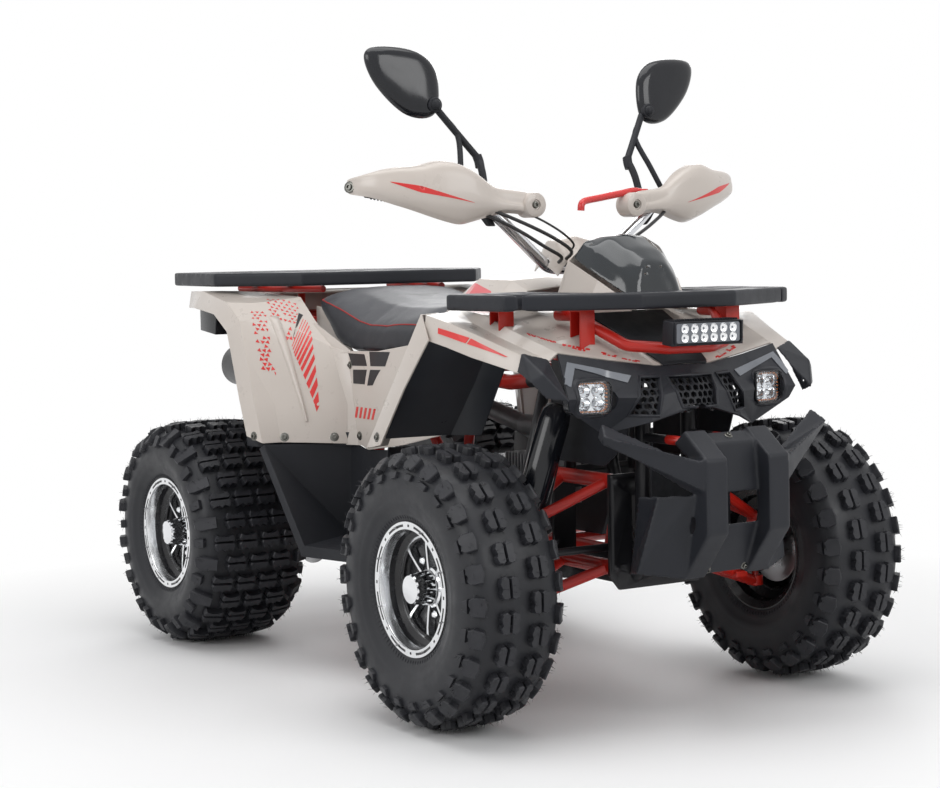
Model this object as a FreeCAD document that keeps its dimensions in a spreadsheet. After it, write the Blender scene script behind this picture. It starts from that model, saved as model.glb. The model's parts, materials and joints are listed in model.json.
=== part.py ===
import FreeCAD, Part
import math
import os
import re

import Sketcher
from FreeCAD import Placement, Rotation, Vector

# A small utility quad bike, in millimetres.
# +X points forward and +Y to the rider's left. The tables are laid out from the ground midway
# between the axles, and the finished pieces are moved back so that the origin is under the middle
# of the machine's length.

SIZES = {
    # Layout of the whole machine
    "wheelbase": 1004.0,
    "origin_forward": 35.5,
    "front_track": 752.0,
    "rear_track": 665.0,
    "body_half_width": 360.0,
    "body_height": 800.0,
    "seat_gap": 0.3,
    "overrun": 5.0,
    # Tyres and rims
    "front_tyre_diameter": 483.0,
    "front_tyre_width": 178.0,
    "rear_tyre_diameter": 457.0,
    "rear_tyre_width": 241.0,
    "lug_depth": 15.0,
    "lug_length": 34.0,
    "front_lug_pitches": 18,
    "rear_lug_pitches": 16,
    "bead_radius": 101.6,
    "flange_radius": 114.0,
    "flange_thickness": 5.0,
    "front_rim_half_width": 66.0,
    "rear_rim_half_width": 92.0,
    "rim_wall": 4.0,
    "rim_well_depth": 14.0,
    "rim_face_thickness": 12.0,
    "rim_face_inset": 14.0,
    "rim_window_count": 8,
    "rim_window_inner": 46.0,
    "rim_window_outer": 84.0,
    "rim_window_width": 34.0,
    "rim_boss_radius": 34.0,
    "hub_cap_radius": 21.0,
    "hub_cap_length": 26.0,
    # Hubs, brakes and steering knuckles
    "spindle_radius": 12.0,
    "spindle_gap": 0.3,
    "hub_radius": 30.0,
    "front_disc_radius": 66.0,
    "disc_thickness": 4.0,
    "front_disc_inset": 30.0,
    "kingpin_inset": 76.0,
    "knuckle_radius": 16.0,
    "knuckle_half_height": 40.0,
    "ball_radius": 15.0,
    "ball_height": 18.0,
    "ball_pin_radius": 7.0,
    "ball_pin_length": 14.0,
    "ball_pin_gap": 0.4,
    "ball_gap": 9.0,
    "steering_arm_forward": 45.0,
    "steering_arm_out": 16.0,
    "steering_arm_thickness": 9.0,
    "tie_rod_height": 285.0,
    "tie_rod_radius": 7.0,
    "tie_rod_eye_radius": 13.0,
    "tie_rod_eye_height": 14.0,
    "tie_rod_pin_radius": 4.0,
    "tie_rod_bore_radius": 8.0,
    "tie_rod_drop": 5.2,
    # Steering column
    "column_foot_x": 530.0,
    "column_foot_z": 235.0,
    "column_rake": 19.0,
    "column_radius": 11.0,
    "column_gap": 0.4,
    "column_length": 566.0,
    "pitman_thickness": 8.0,
    "bearing_radius": 19.0,
    "lower_bearing_height": 14.0,
    "upper_bearing_place": 405.0,
    "upper_bearing_length": 40.0,
    # Frame
    "rail_radius": 14.0,
    "rail_half_gap": 112.0,
    "nose_half_gap": 50.0,
    "strut_radius": 11.0,
    "post_radius": 8.0,
    "suspension_plate_thickness": 5.0,
    "suspension_half_length": 80.0,
    "bush_radius": 13.0,
    "bush_bolt_radius": 6.0,
    "lower_bush_height": 255.0,
    "upper_bush_height": 404.0,
    "bush_half_gap": 95.0,
    "arm_radius": 9.5,
    "step_tube_radius": 10.0,
    "step_tube_height": 230.6,
    # Front and rear shock absorbers
    "shock_eye_radius": 13.0,
    "shock_eye_length": 24.0,
    "shock_pin_radius": 6.0,
    "shock_body_radius": 17.0,
    "shock_spring_radius": 21.5,
    "shock_forward": 8.5,
    "shock_rod_radius": 7.0,
    "front_shock_top_height": 545.0,
    "front_shock_top_half_gap": 140.0,
    "front_shock_foot_height": 246.0,
    "front_shock_foot_half_gap": 226.0,
    "shock_guard_wall": 3.0,
    # Rear axle and swing arm
    "axle_radius": 14.0,
    "carrier_radius": 32.0,
    "carrier_half_length": 62.0,
    "swing_pivot_x": -225.0,
    "swing_pivot_height": 290.0,
    "swing_tube_radius": 12.0,
    "swing_half_gap": 46.0,
    "rear_disc_radius": 95.0,
    "rear_disc_place": 96.0,
    "sprocket_radius": 68.0,
    "sprocket_place": 84.0,
    "chain_width": 8.0,
    "chain_height": 9.0,
    "engine_sprocket_radius": 24.0,
    "engine_sprocket_x": 5.0,
    "engine_sprocket_height": 318.0,
    # Engine, airbox, exhaust
    "crankcase_length": 250.0,
    "crankcase_half_width": 74.0,
    "crankcase_height": 150.0,
    "crankcase_rear_x": -60.0,
    "crankcase_bottom": 262.0,
    "fin_count": 8,
    "fin_pitch": 10.0,
    "fin_thickness": 3.0,
    "fin_half_size": 52.0,
    "barrel_radius": 36.0,
    "cylinder_height": 372.0,
    "head_length": 42.0,
    "exhaust_radius": 13.0,
    "silencer_radius": 44.0,
    "silencer_length": 270.0,
    "silencer_half_place": 172.0,
    "airbox_length": 180.0,
    "airbox_half_width": 78.0,
    "airbox_height": 110.0,
    "airbox_rear_x": -235.0,
    "airbox_bottom": 468.0,
    # Body panels
    "panel_wall": 3.0,
    "liner_wall": 2.5,
    "fascia_wall": 5.0,
    # Racks
    "rack_height": 28.0,
    "front_rack_bottom": 701.0,
    "rear_rack_bottom": 736.0,
    "rack_tube_radius": 10.0,
    "rack_bracket_width": 30.0,
    "rack_bracket_wall": 3.0,
    # Lamps
    "lamp_half_width": 27.0,
    "lamp_half_height": 21.0,
    "lamp_depth": 46.0,
    "light_bar_half_length": 76.0,
    "light_bar_height": 40.0,
    "light_bar_depth": 34.0,
    "light_bar_lean": 6.0,
    "light_bar_fin_count": 9,
    "light_bar_fin_thickness": 3.0,
    # Handlebar
    "bar_radius": 11.0,
    "grip_radius": 16.0,
    "grip_length": 120.0,
    "guard_wall": 4.0,
    "mirror_stem_radius": 5.0,
    "mirror_depth": 16.0,
    "bumper_wall": 5.0,
    "footwell_wall": 3.0,
}

doc = FreeCAD.newDocument("QuadBike")
sheet = doc.addObject("Spreadsheet::Sheet", "Sizes")
for row, (alias, value) in enumerate(SIZES.items(), start=1):
    sheet.set("A%d" % row, alias)
    sheet.set("B%d" % row, str(value))
    sheet.setAlias("B%d" % row, alias)
doc.recompute()


class SheetSizes:
    """Reads a named size from the spreadsheet."""

    def __getattr__(self, alias):
        return float(sheet.get(alias))


S = SheetSizes()


def number(text):
    """The value of an expression in the sheet's names."""
    return float(sheet.evalExpression(text))


def bound(text):
    """The same expression as another object of the document has to write it."""
    return re.sub(r"[a-z_]+", lambda word: "<<Sizes>>." + word[0] if word[0] in SIZES else word[0], text)


# Places on the body, as shares of half the wheelbase, the body's half width and its height

def at(x_share, y_share, z_share):
    return Vector(x_share * S.wheelbase / 2, y_share * S.body_half_width, z_share * S.body_height)


def row(*shares):
    """A line of places on the right-hand side, whose widths are given as positive shares."""
    return [at(x, -y, z) for x, y, z in shares]


# Shapes

UP = Vector(0, 0, 1)


def fuse(shapes):
    whole = shapes[0].fuse(shapes[1:]) if len(shapes) > 1 else shapes[0]
    return whole.removeSplitter()


def mirrored(shape):
    return shape.mirror(Vector(0, 0, 0), Vector(0, 1, 0))


def both_sides(shape):
    """The right-hand shape and its mirror image, as solids that don't touch."""
    return Part.Compound([shape, mirrored(shape)])


def rounded_path(points, bend):
    """Straight runs through the points, joined by tangent arcs."""
    edges = []
    start = points[0]
    for before, corner, after in zip(points, points[1:], points[2:]):
        back = (before - corner).normalize()
        ahead = (after - corner).normalize()
        turn = math.pi - back.getAngle(ahead)
        reach = min(bend * math.tan(turn / 2), (before - corner).Length * 0.45,
                    (after - corner).Length * 0.45)
        radius = reach / math.tan(turn / 2)
        first = corner + back * reach
        last = corner + ahead * reach
        middle_way = (back + ahead).normalize()
        middle = corner + middle_way * (radius / math.cos(turn / 2) - radius)
        if (first - start).Length > 0:
            edges.append(Part.makeLine(start, first))
        edges.append(Part.Arc(first, middle, last).toShape())
        start = last
    edges.append(Part.makeLine(start, points[-1]))
    return Part.Wire(edges)


def rod(start, end, radius):
    return Part.makeCylinder(radius, (end - start).Length, start, end - start)


def tube(points, radius, bend=None):
    """A round bar along the points, solid, with bends of three times its radius unless told."""
    if len(points) == 2:
        return rod(points[0], points[1], radius)
    path = rounded_path(points, bend or radius * 3)
    section = Part.Wire(Part.makeCircle(radius, points[0], points[1] - points[0]))
    return path.makePipeShell([section], True, False)


def prism(outline, run):
    """A flat outline of places, drawn out along a vector."""
    return Part.Face(Part.makePolygon(outline + [outline[0]])).extrude(run)


def slab(corner, far_corner):
    """A block between two opposite corners."""
    low = Vector(*(min(a, b) for a, b in zip(corner, far_corner)))
    span = far_corner - corner
    return Part.makeBox(abs(span.x), abs(span.y), abs(span.z), low)


def facet(a, b, c):
    return Part.Face(Part.makePolygon([a, b, c, a]))


def sheet_panel(rows, wall, flip=False):
    """A moulded panel: a grid of places on its outer skin, given a wall towards its inner side."""
    lines, places = len(rows), len(rows[0])
    normals = [[Vector() for _ in range(places)] for _ in range(lines)]
    corners = []
    for i in range(lines - 1):
        for j in range(places - 1):
            corners.append(((i, j), (i + 1, j), (i + 1, j + 1)))
            corners.append(((i, j), (i + 1, j + 1), (i, j + 1)))
    for trio in corners:
        a, b, c = (rows[i][j] for i, j in trio)
        normal = (b - a).cross(c - a)
        if normal.Length:
            normal.normalize()
            for i, j in trio:
                normals[i][j] = normals[i][j] + normal
    for i, j in ((i, j) for i in range(lines) for j in range(places)):
        if rows[i][j].y == 0:
            normals[i][j].y = 0
    side = -1 if flip else 1
    inner = [[rows[i][j] - normals[i][j].normalize() * wall * side for j in range(places)]
             for i in range(lines)]
    faces = [facet(*(skin[i][j] for i, j in trio)) for skin in (rows, inner) for trio in corners]
    rim = [(0, j) for j in range(places)] + [(i, places - 1) for i in range(1, lines)]
    rim += [(lines - 1, j) for j in range(places - 2, -1, -1)] + [(i, 0) for i in range(lines - 2, 0, -1)]
    for (i, j), (k, n) in zip(rim, rim[1:] + rim[:1]):
        faces.append(facet(rows[i][j], rows[k][n], inner[k][n]))
        faces.append(facet(rows[i][j], inner[k][n], inner[i][j]))
    return closed_solid(faces)


def middle_of(outline):
    centre = Vector()
    for place in outline:
        centre = centre + place * (1 / len(outline))
    return centre


def loft(sections):
    """A closed faceted solid through outlines with the same number of places."""
    faces = []
    for outline in (sections[0], sections[-1]):
        centre = middle_of(outline)
        faces += [facet(a, b, centre) for a, b in zip(outline, outline[1:] + outline[:1])]
    for near, far in zip(sections, sections[1:]):
        for a, b, c, d in zip(near, near[1:] + near[:1], far[1:] + far[:1], far):
            faces += [facet(a, b, c), facet(a, c, d)]
    return closed_solid(faces)


SETTLE_STEPS = 12


def settle(shape, ground, way):
    """The shape moved along a direction until it stands a seat gap off what carries it."""
    for _ in range(SETTLE_STEPS):
        gap = shape.distToShape(ground)[0] - S.seat_gap
        shape = shape.translated(way * gap)
    return shape


def closed_solid(faces):
    shell = Part.makeShell(faces)
    shell.sewShape()
    solid = Part.Solid(shell)
    if solid.Volume < 0:
        solid.reverse()
    return solid.removeSplitter()


def feature(name, shape):
    """A sub-part whose shape is worked out from the sheet."""
    part = doc.addObject("Part::Feature", name)
    part.Label = name
    part.Shape = shape
    return part


class BodyMaker:
    """A sub-part built of sketches and features, each size bound to the sheet."""

    def __init__(self, name, place=None):
        self.body = doc.addObject("PartDesign::Body", name)
        self.body.Label = name
        self.body.Placement = place or Placement()
        self.origin = {item.Role: item for item in self.body.Origin.OriginFeatures}
        self.count = 0

    def sketch(self, plane, outlines=(), circles=(), offset=None):
        """Closed outlines and circles, each vertex or centre held by two expressions."""
        self.count += 1
        drawing = self.body.newObject("Sketcher::SketchObject",
                                      "%s_sketch_%d" % (self.body.Label, self.count))
        drawing.AttachmentSupport = (self.origin[plane], [""])
        drawing.MapMode = "FlatFace"
        if offset:
            drawing.AttachmentOffset = offset
        for outline in outlines:
            places = [Vector(number(x), number(y), 0) for x, y in outline]
            lines = [drawing.addGeometry(Part.LineSegment(a, b), False)
                     for a, b in zip(places, places[1:] + places[:1])]
            for line, after in zip(lines, lines[1:] + lines[:1]):
                drawing.addConstraint(Sketcher.Constraint("Coincident", line, 2, after, 1))
            for line, (x, y) in zip(lines, outline):
                self.hold(drawing, "DistanceX", (-1, 1, line, 1), x)
                self.hold(drawing, "DistanceY", (-1, 1, line, 1), y)
        for x, y, radius in circles:
            centre = Vector(number(x), number(y), 0)
            ring = drawing.addGeometry(Part.Circle(centre, Vector(0, 0, 1), number(radius)), False)
            self.hold(drawing, "DistanceX", (-1, 1, ring, 3), x)
            self.hold(drawing, "DistanceY", (-1, 1, ring, 3), y)
            self.hold(drawing, "Radius", (ring,), radius)
        return drawing

    def hold(self, drawing, kind, geometry, text):
        index = drawing.addConstraint(Sketcher.Constraint(kind, *geometry, number(text)))
        drawing.setExpression("Constraints[%d]" % index, bound(text))

    def add(self, kind, drawing, **bindings):
        """One feature on a sketch; text bindings are expressions, the rest plain properties."""
        self.count += 1
        step = self.body.newObject("PartDesign::" + kind, "%s_%s_%d" % (self.body.Label, kind, self.count))
        step.Profile = drawing
        for prop, value in bindings.items():
            if isinstance(value, str):
                step.setExpression(prop, bound(value))
            else:
                setattr(step, prop, value)
        self.tip = step
        return step

    def revolve(self, drawing, kind="Revolution"):
        return self.add(kind, drawing, ReferenceAxis=(drawing, ["H_Axis"]), Angle=360.0)

    def polar(self, steps, axis, count):
        """Copies of features about an origin axis."""
        self.count += 1
        pattern = self.body.newObject("PartDesign::PolarPattern",
                                      "%s_ring_%d" % (self.body.Label, self.count))
        pattern.Originals = steps
        pattern.Axis = (self.origin[axis], [""])
        pattern.Angle = 360.0
        pattern.setExpression("Occurrences", bound(count))
        self.body.Tip = pattern
        return pattern

    def row_of(self, steps, axis, length, count, backwards=False):
        """Copies of features along an origin axis."""
        self.count += 1
        pattern = self.body.newObject("PartDesign::LinearPattern",
                                      "%s_row_%d" % (self.body.Label, self.count))
        pattern.Originals = steps
        pattern.Direction = (self.origin[axis], [""])
        pattern.Reversed = backwards
        pattern.setExpression("Length", bound(length))
        pattern.setExpression("Occurrences", bound(count))
        self.body.Tip = pattern
        return pattern


# Wheels. Each is drawn about the Y axis with its outer side towards +Y, and turned round for the right.

AXLES = {
    "front": {"x": "wheelbase", "way": 1, "track": "front_track", "diameter": "front_tyre_diameter"},
    "rear": {"x": "wheelbase", "way": -1, "track": "rear_track", "diameter": "rear_tyre_diameter"},
}
SIDES = {"right": -1, "left": 1}


def axle_x(axle):
    return AXLES[axle]["way"] * S.wheelbase / 2


def axle_height(axle):
    return number(AXLES[axle]["diameter"]) / 2


def wheel_place(axle, side):
    way = SIDES[side]
    centre = Vector(axle_x(axle), way * number(AXLES[axle]["track"]) / 2, axle_height(axle))
    return Placement(centre, Rotation(Vector(0, 0, 1), 0 if way > 0 else 180))


# Shares of the half width and of the height of the tyre above its bead
CARCASS_SHARES = ((0.78, 0.11), (0.95, 0.30), (0.99, 0.50), (0.93, 0.72), (0.74, 0.86), (0.40, 0.885))
SHOULDER_LUG_SHARES = ((0.60, 0.84), (0.60, 1.0), (0.80, 0.985), (0.97, 0.83), (0.995, 0.66), (0.90, 0.70))
CENTRE_LUG_SHARES = ((0.08, 0.86), (0.08, 1.0), (0.46, 1.0), (0.46, 0.86))


def make_tyre(axle, side):
    maker = BodyMaker("tyre_%s_%s" % (axle, side), wheel_place(axle, side))
    half = axle + "_tyre_width / 2"
    height = "(%s_tyre_diameter / 2 - bead_radius)" % axle

    def place(share, way=1):
        return "%g * %s" % (way * share[0], half), "bead_radius + %g * %s" % (share[1], height)

    seat = axle + "_rim_half_width"
    right = [(seat, "bead_radius"), (seat, "flange_radius")] + [place(p) for p in CARCASS_SHARES]
    left = [place(p, -1) for p in reversed(CARCASS_SHARES)]
    left += [("0 - " + seat, "flange_radius"), ("0 - " + seat, "bead_radius")]
    maker.revolve(maker.sketch("YZ_Plane", [right + left]))
    pitches = axle + "_lug_pitches"
    half_pitch = Placement(Vector(), Rotation(Vector(1, 0, 0), 180 / number(pitches)))
    rows = []
    for way, turn in ((1, None), (-1, half_pitch)):
        shoulder = [place(p, way) for p in SHOULDER_LUG_SHARES]
        centre = [place(p, -way) for p in CENTRE_LUG_SHARES]
        drawing = maker.sketch("YZ_Plane", [shoulder, centre], offset=turn)
        rows.append(maker.add("Pad", drawing, Length="lug_length", Midplane=True))
    for pad in rows:
        maker.polar([pad], "Y_Axis", pitches)
    return maker.body


def make_rim(axle, side):
    """A barrel with two flanges and a windowed face near its outer side."""
    maker = BodyMaker("rim_%s_%s" % (axle, side), wheel_place(axle, side))
    seat = axle + "_rim_half_width"
    wall = "rim_wall"
    edge = seat + " + flange_thickness"
    outer = [
        ("0 - (%s)" % edge, "flange_radius"),
        ("0 - %s - seat_gap" % seat, "flange_radius"),
        ("0 - %s - seat_gap" % seat, "bead_radius - seat_gap"),
        ("0 - %s * 0.66" % seat, "bead_radius - seat_gap"),
        ("0 - %s * 0.5" % seat, "bead_radius - rim_well_depth"),
        ("%s * 0.3" % seat, "bead_radius - rim_well_depth"),
        ("%s * 0.46" % seat, "bead_radius - seat_gap"),
        ("%s + seat_gap" % seat, "bead_radius - seat_gap"),
        ("%s + seat_gap" % seat, "flange_radius"),
        (edge, "flange_radius"),
    ]
    inner = [
        (edge, "bead_radius - seat_gap - " + wall),
        ("%s * 0.46 + rim_wall" % seat, "bead_radius - seat_gap - " + wall),
        ("%s * 0.3 + rim_wall" % seat, "bead_radius - rim_well_depth - " + wall),
        ("0 - %s * 0.5 - rim_wall" % seat, "bead_radius - rim_well_depth - " + wall),
        ("0 - %s * 0.66 - rim_wall" % seat, "bead_radius - seat_gap - " + wall),
        ("0 - (%s)" % edge, "bead_radius - seat_gap - " + wall),
    ]
    maker.revolve(maker.sketch("YZ_Plane", [outer + inner]))
    face_out = "%s - rim_face_inset" % seat
    face_in = "%s - rim_face_inset - rim_face_thickness" % seat
    disc = [
        (face_in, "rim_window_outer - rim_wall"),
        (face_in, "bead_radius - seat_gap - %s + 1 * seat_gap" % wall),
        ("%s + rim_wall" % face_out, "bead_radius - seat_gap - %s + 1 * seat_gap" % wall),
        (face_out, "rim_window_outer"),
        (face_out + " - rim_wall", "rim_boss_radius"),
        (face_out + " + rim_wall", "rim_boss_radius - rim_wall"),
        (face_out + " + rim_wall", "hub_cap_radius"),
        (face_out + " + hub_cap_length - rim_wall", "hub_cap_radius"),
        (face_out + " + hub_cap_length", "hub_cap_radius - rim_wall"),
        (face_out + " + hub_cap_length", "0"),
        (face_out, "0"),
        (face_out, "hub_cap_radius - rim_wall"),
        (face_in, "hub_cap_radius - rim_wall"),
    ]
    maker.revolve(maker.sketch("YZ_Plane", [disc]))
    window = [
        ("rim_window_width / 2", "rim_window_outer"),
        ("0 - rim_window_width / 2", "rim_window_outer"),
        ("0 - rim_window_width / 4", "rim_window_inner"),
        ("rim_window_width / 4", "rim_window_inner"),
    ]
    cut = maker.add("Pocket", maker.sketch("XZ_Plane", [window]), Length=axle + "_rim_half_width",
                    Reversed=False)
    doc.recompute()
    if cut.Shape.Volume >= cut.BaseFeature.Shape.Volume - 1:
        cut.Reversed = True
    maker.polar([cut], "Y_Axis", "rim_window_count")
    return maker.body


def make_front_hub(side):
    """The hub that turns on the spindle, with the brake disc on it."""
    maker = BodyMaker("brake_disc_front_%s" % side, wheel_place("front", side))
    inner = "0 - front_disc_inset"
    face_in = "front_rim_half_width - rim_face_inset - rim_face_thickness - seat_gap"
    ring = [
        (inner, "spindle_radius + spindle_gap"),
        (inner, "front_disc_radius"),
        (inner + " + disc_thickness", "front_disc_radius"),
        (inner + " + disc_thickness", "hub_radius"),
        (face_in, "hub_radius"),
        (face_in, "spindle_radius + spindle_gap"),
    ]
    maker.revolve(maker.sketch("YZ_Plane", [ring]))
    return maker.body


def make_rear_axle():
    """One shaft for both rear wheels, with hubs, brake disc and sprocket."""
    place = Placement(Vector(axle_x("rear"), 0, axle_height("rear")), Rotation())
    maker = BodyMaker("rear_axle", place)
    face = "rear_track / 2 + rear_rim_half_width - rim_face_inset - rim_face_thickness - seat_gap"
    hub_start = "rear_track / 2 - rear_rim_half_width / 2"
    profile = [
        ("0 - (%s)" % face, "0"),
        ("0 - (%s)" % face, "hub_radius"),
        ("0 - (%s)" % hub_start, "hub_radius"),
        ("0 - (%s)" % hub_start, "axle_radius"),
        ("0 - rear_disc_place - disc_thickness / 2", "axle_radius"),
        ("0 - rear_disc_place - disc_thickness / 2", "rear_disc_radius"),
        ("0 - rear_disc_place + disc_thickness / 2", "rear_disc_radius"),
        ("0 - rear_disc_place + disc_thickness / 2", "axle_radius"),
        ("sprocket_place - disc_thickness / 2", "axle_radius"),
        ("sprocket_place - disc_thickness / 2", "sprocket_radius"),
        ("sprocket_place + disc_thickness / 2", "sprocket_radius"),
        ("sprocket_place + disc_thickness / 2", "axle_radius"),
        (hub_start, "axle_radius"),
        (hub_start, "hub_radius"),
        (face, "hub_radius"),
        (face, "0"),
    ]
    maker.revolve(maker.sketch("YZ_Plane", [profile]))
    return maker.body


# Steering. The column leans back; its foot is between the frame's nose rails.

def column_axis():
    rake = math.radians(S.column_rake)
    return Vector(-math.sin(rake), 0, math.cos(rake))


def column_forward():
    rake = math.radians(S.column_rake)
    return Vector(math.cos(rake), 0, math.sin(rake))


def column_foot():
    return Vector(S.column_foot_x, 0, S.column_foot_z)


def on_column(length):
    return column_foot() + column_axis() * length


def pitman_centre():
    """The place on the column whose forward arm ends at the tie rods' height."""
    rise = S.tie_rod_height - S.column_foot_z - S.steering_arm_forward * column_forward().z
    return on_column(rise / column_axis().z)


def pitman_ball(way):
    return (pitman_centre() + column_forward() * S.steering_arm_forward
            + Vector(0, way * S.steering_arm_out, 0))


def kingpin(way):
    return Vector(axle_x("front"), way * (S.front_track / 2 - S.kingpin_inset), axle_height("front"))


def knuckle_ball(way):
    place = kingpin(way)
    return Vector(place.x + S.steering_arm_forward, place.y + way * S.steering_arm_out, S.tie_rod_height)


def make_knuckle(side):
    """Post with bores for the ball pins, spindle, steering arm with its pin and the brake caliper."""
    way = SIDES[side]
    centre = kingpin(way)
    up = Vector(0, 0, 1)
    foot = centre - up * S.knuckle_half_height
    post = Part.makeCylinder(S.knuckle_radius, S.knuckle_half_height * 2, foot, up)
    spindle_end = number("kingpin_inset + front_rim_half_width - rim_face_inset")
    spindle = rod(centre, centre + Vector(0, way * spindle_end, 0), S.spindle_radius)
    shoulder_run = number("kingpin_inset - front_disc_inset") - S.seat_gap
    shoulder = rod(centre, centre + Vector(0, way * shoulder_run, 0), S.spindle_radius * 1.4)
    ball = knuckle_ball(way)
    flat = up * S.steering_arm_thickness
    arm_low = Vector(0, 0, ball.z - S.tie_rod_eye_height / 2 - S.tie_rod_drop - S.steering_arm_thickness)
    width = S.knuckle_radius * 0.8
    arm = prism([
        Vector(centre.x, centre.y - way * width, 0) + arm_low,
        Vector(ball.x - width, ball.y - way * width, 0) + arm_low,
        Vector(ball.x + width, ball.y - way * width / 2, 0) + arm_low,
        Vector(ball.x + width, ball.y + way * width, 0) + arm_low,
        Vector(centre.x, centre.y + way * width * 1.4, 0) + arm_low,
    ], flat)
    pin_length = S.tie_rod_eye_height + S.tie_rod_drop + S.steering_arm_thickness * 1.5
    pin = Part.makeCylinder(S.tie_rod_pin_radius, pin_length,
                            Vector(ball.x, ball.y, arm_low.z), up)
    disc_plane = centre.y + way * (S.kingpin_inset - S.front_disc_inset)
    grip = S.disc_thickness * 1.5
    reach = S.front_disc_radius
    caliper = slab(Vector(centre.x - reach * 1.12, disc_plane - way * grip * 2, centre.z - reach * 0.36),
                   Vector(centre.x - reach * 0.62, disc_plane + way * grip * 3, centre.z + reach * 0.36))
    slot = slab(Vector(centre.x - reach * 1.05, disc_plane - way * S.disc_thickness * 0.5, centre.z - reach),
                Vector(centre.x, disc_plane + way * S.disc_thickness * 1.5, centre.z + reach))
    stay = slab(Vector(centre.x - reach * 0.8, centre.y, centre.z - S.spindle_radius),
                Vector(centre.x, centre.y + way * S.spindle_radius, centre.z + S.spindle_radius))
    carrier = slab(Vector(centre.x - reach * 0.8, centre.y, centre.z - S.spindle_radius),
                   Vector(centre.x - reach * 0.62, disc_plane - way * grip * 1.5,
                          centre.z + S.spindle_radius))
    bore = Part.makeCylinder(S.ball_pin_radius + S.ball_pin_gap, S.ball_pin_length + S.overrun,
                             foot - up * S.overrun, up)
    top_bore = bore.translated(up * (S.knuckle_half_height * 2 - S.ball_pin_length + S.overrun))
    whole = fuse([post, spindle, shoulder, arm, pin, caliper.cut(slot), stay, carrier])
    return feature("knuckle_%s" % side, whole.cut([bore, top_bore]).removeSplitter())


def make_tie_rod(side):
    """A rod with an eye at the pitman and one round the knuckle's pin, with room to drift."""
    way = SIDES[side]
    start, end = pitman_ball(way), knuckle_ball(way)
    half = Vector(0, 0, S.tie_rod_eye_height / 2)
    inner_way = column_axis() * (S.tie_rod_eye_height / 2)
    inner_eye = rod(start - inner_way, start + inner_way, S.tie_rod_eye_radius)
    outer_eye = rod(end - half, end + half, S.tie_rod_eye_radius)
    way_along = (end - start).normalize() * (S.tie_rod_eye_radius * 0.8)
    bar = rod(start + way_along, end - way_along, S.tie_rod_radius)
    pitman_bore = rod(start - inner_way * 2, start + inner_way * 2, S.tie_rod_pin_radius + S.seat_gap)
    knuckle_bore = rod(end - half * 2, end + half * 2, S.tie_rod_bore_radius)
    return feature("tie_rod_%s" % side, fuse([inner_eye, outer_eye, bar]).cut([pitman_bore, knuckle_bore]))


def make_steering_column():
    axis, ahead = column_axis(), column_forward()
    shaft = rod(column_foot(), on_column(S.column_length), S.column_radius)
    centre = pitman_centre()
    drop = axis * (S.tie_rod_eye_height / 2 + S.seat_gap + S.pitman_thickness)
    reach = S.steering_arm_forward + S.tie_rod_eye_radius * 0.6
    half = S.steering_arm_out + S.tie_rod_eye_radius * 0.6
    base = centre - drop
    plate = prism([
        base - ahead * S.column_radius * 1.5 - Vector(0, S.column_radius, 0),
        base + ahead * reach - Vector(0, half, 0),
        base + ahead * reach + Vector(0, half, 0),
        base - ahead * S.column_radius * 1.5 + Vector(0, S.column_radius, 0),
    ], axis * S.pitman_thickness)
    pins = [rod(pitman_ball(way) - drop, pitman_ball(way) + axis * S.tie_rod_eye_height * 0.6,
                S.tie_rod_pin_radius) for way in (-1, 1)]
    head = on_column(S.column_length)
    clamp = prism([
        head + ahead * x * S.bar_radius * 1.6 + Vector(0, y * S.bar_radius * 3, 0)
        for x, y in ((-1, -1), (1, -1), (1, 1), (-1, 1))
    ], axis * S.bar_radius * 2.6)
    bore = bar_solid(S.bar_radius + S.seat_gap)
    return feature("steering_column", fuse([shaft, plate, clamp] + pins).cut(bore))


# Frame

def pivot_lines(height, way):
    """The two ends of a suspension arm's pivot."""
    x = axle_x("front") + S.spindle_radius
    y = way * S.bush_half_gap
    return (Vector(x - S.suspension_half_length, y, height), Vector(x + S.suspension_half_length, y, height))


RAIL_SHARES = ((-0.455, 0.31, 0.40), (-0.44, 0.31, 0.345), (-0.36, 0.31, 0.29), (0.62, 0.31, 0.29),
               (0.80, 0.139, 0.29),
               (1.19, 0.139, 0.29), (1.235, 0.139, 0.36), (1.235, 0.139, 0.70), (1.02, 0.18, 0.735),
               (0.55, 0.25, 0.70), (0.10, 0.29, 0.72), (-0.28, 0.29, 0.735), (-0.62, 0.305, 0.81),
               (-1.26, 0.305, 0.835))
SEAT_POST_SHARES = ((-0.26, 0.29, 0.735), (-0.44, 0.31, 0.30))
TAIL_STRUT_SHARES = ((-1.12, 0.305, 0.83), (-0.50, 0.31, 0.42))
ENGINE_POST_SHARES = ((0.80, 0.27, 0.715), (0.70, 0.30, 0.49), (0.60, 0.31, 0.29))


# What the frame's posts and pegs carry, and where each starts inside a tube
POST_SHARES = (("front_fender", 0.905, 0.20, 0.724), ("rear_fender", -0.98, 0.305, 0.825),
               ("rear_fender", -1.18, 0.305, 0.832), ("seat", -0.50, 0.299, 0.785),
               ("seat", -0.05, 0.29, 0.726), ("tank_cover", 0.34, 0.27, 0.711))
PEG_SHARES = (("side_covers", 0.08, 0.27, 0.72), ("side_covers", -0.24, 0.28, 0.737))


def strut_to(name, start, way):
    """A small post from inside a frame tube until it meets a panel, less a seat gap."""
    long_post = rod(start, start + way * S.body_height, S.post_radius)
    meeting = long_post.common(doc.getObject(name).Shape)
    reach = min((point - start).dot(way) for edge in meeting.Edges for point in edge.discretize(SETTLE_STEPS))
    return rod(start, start + way * (reach - S.seat_gap), S.post_radius)


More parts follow.
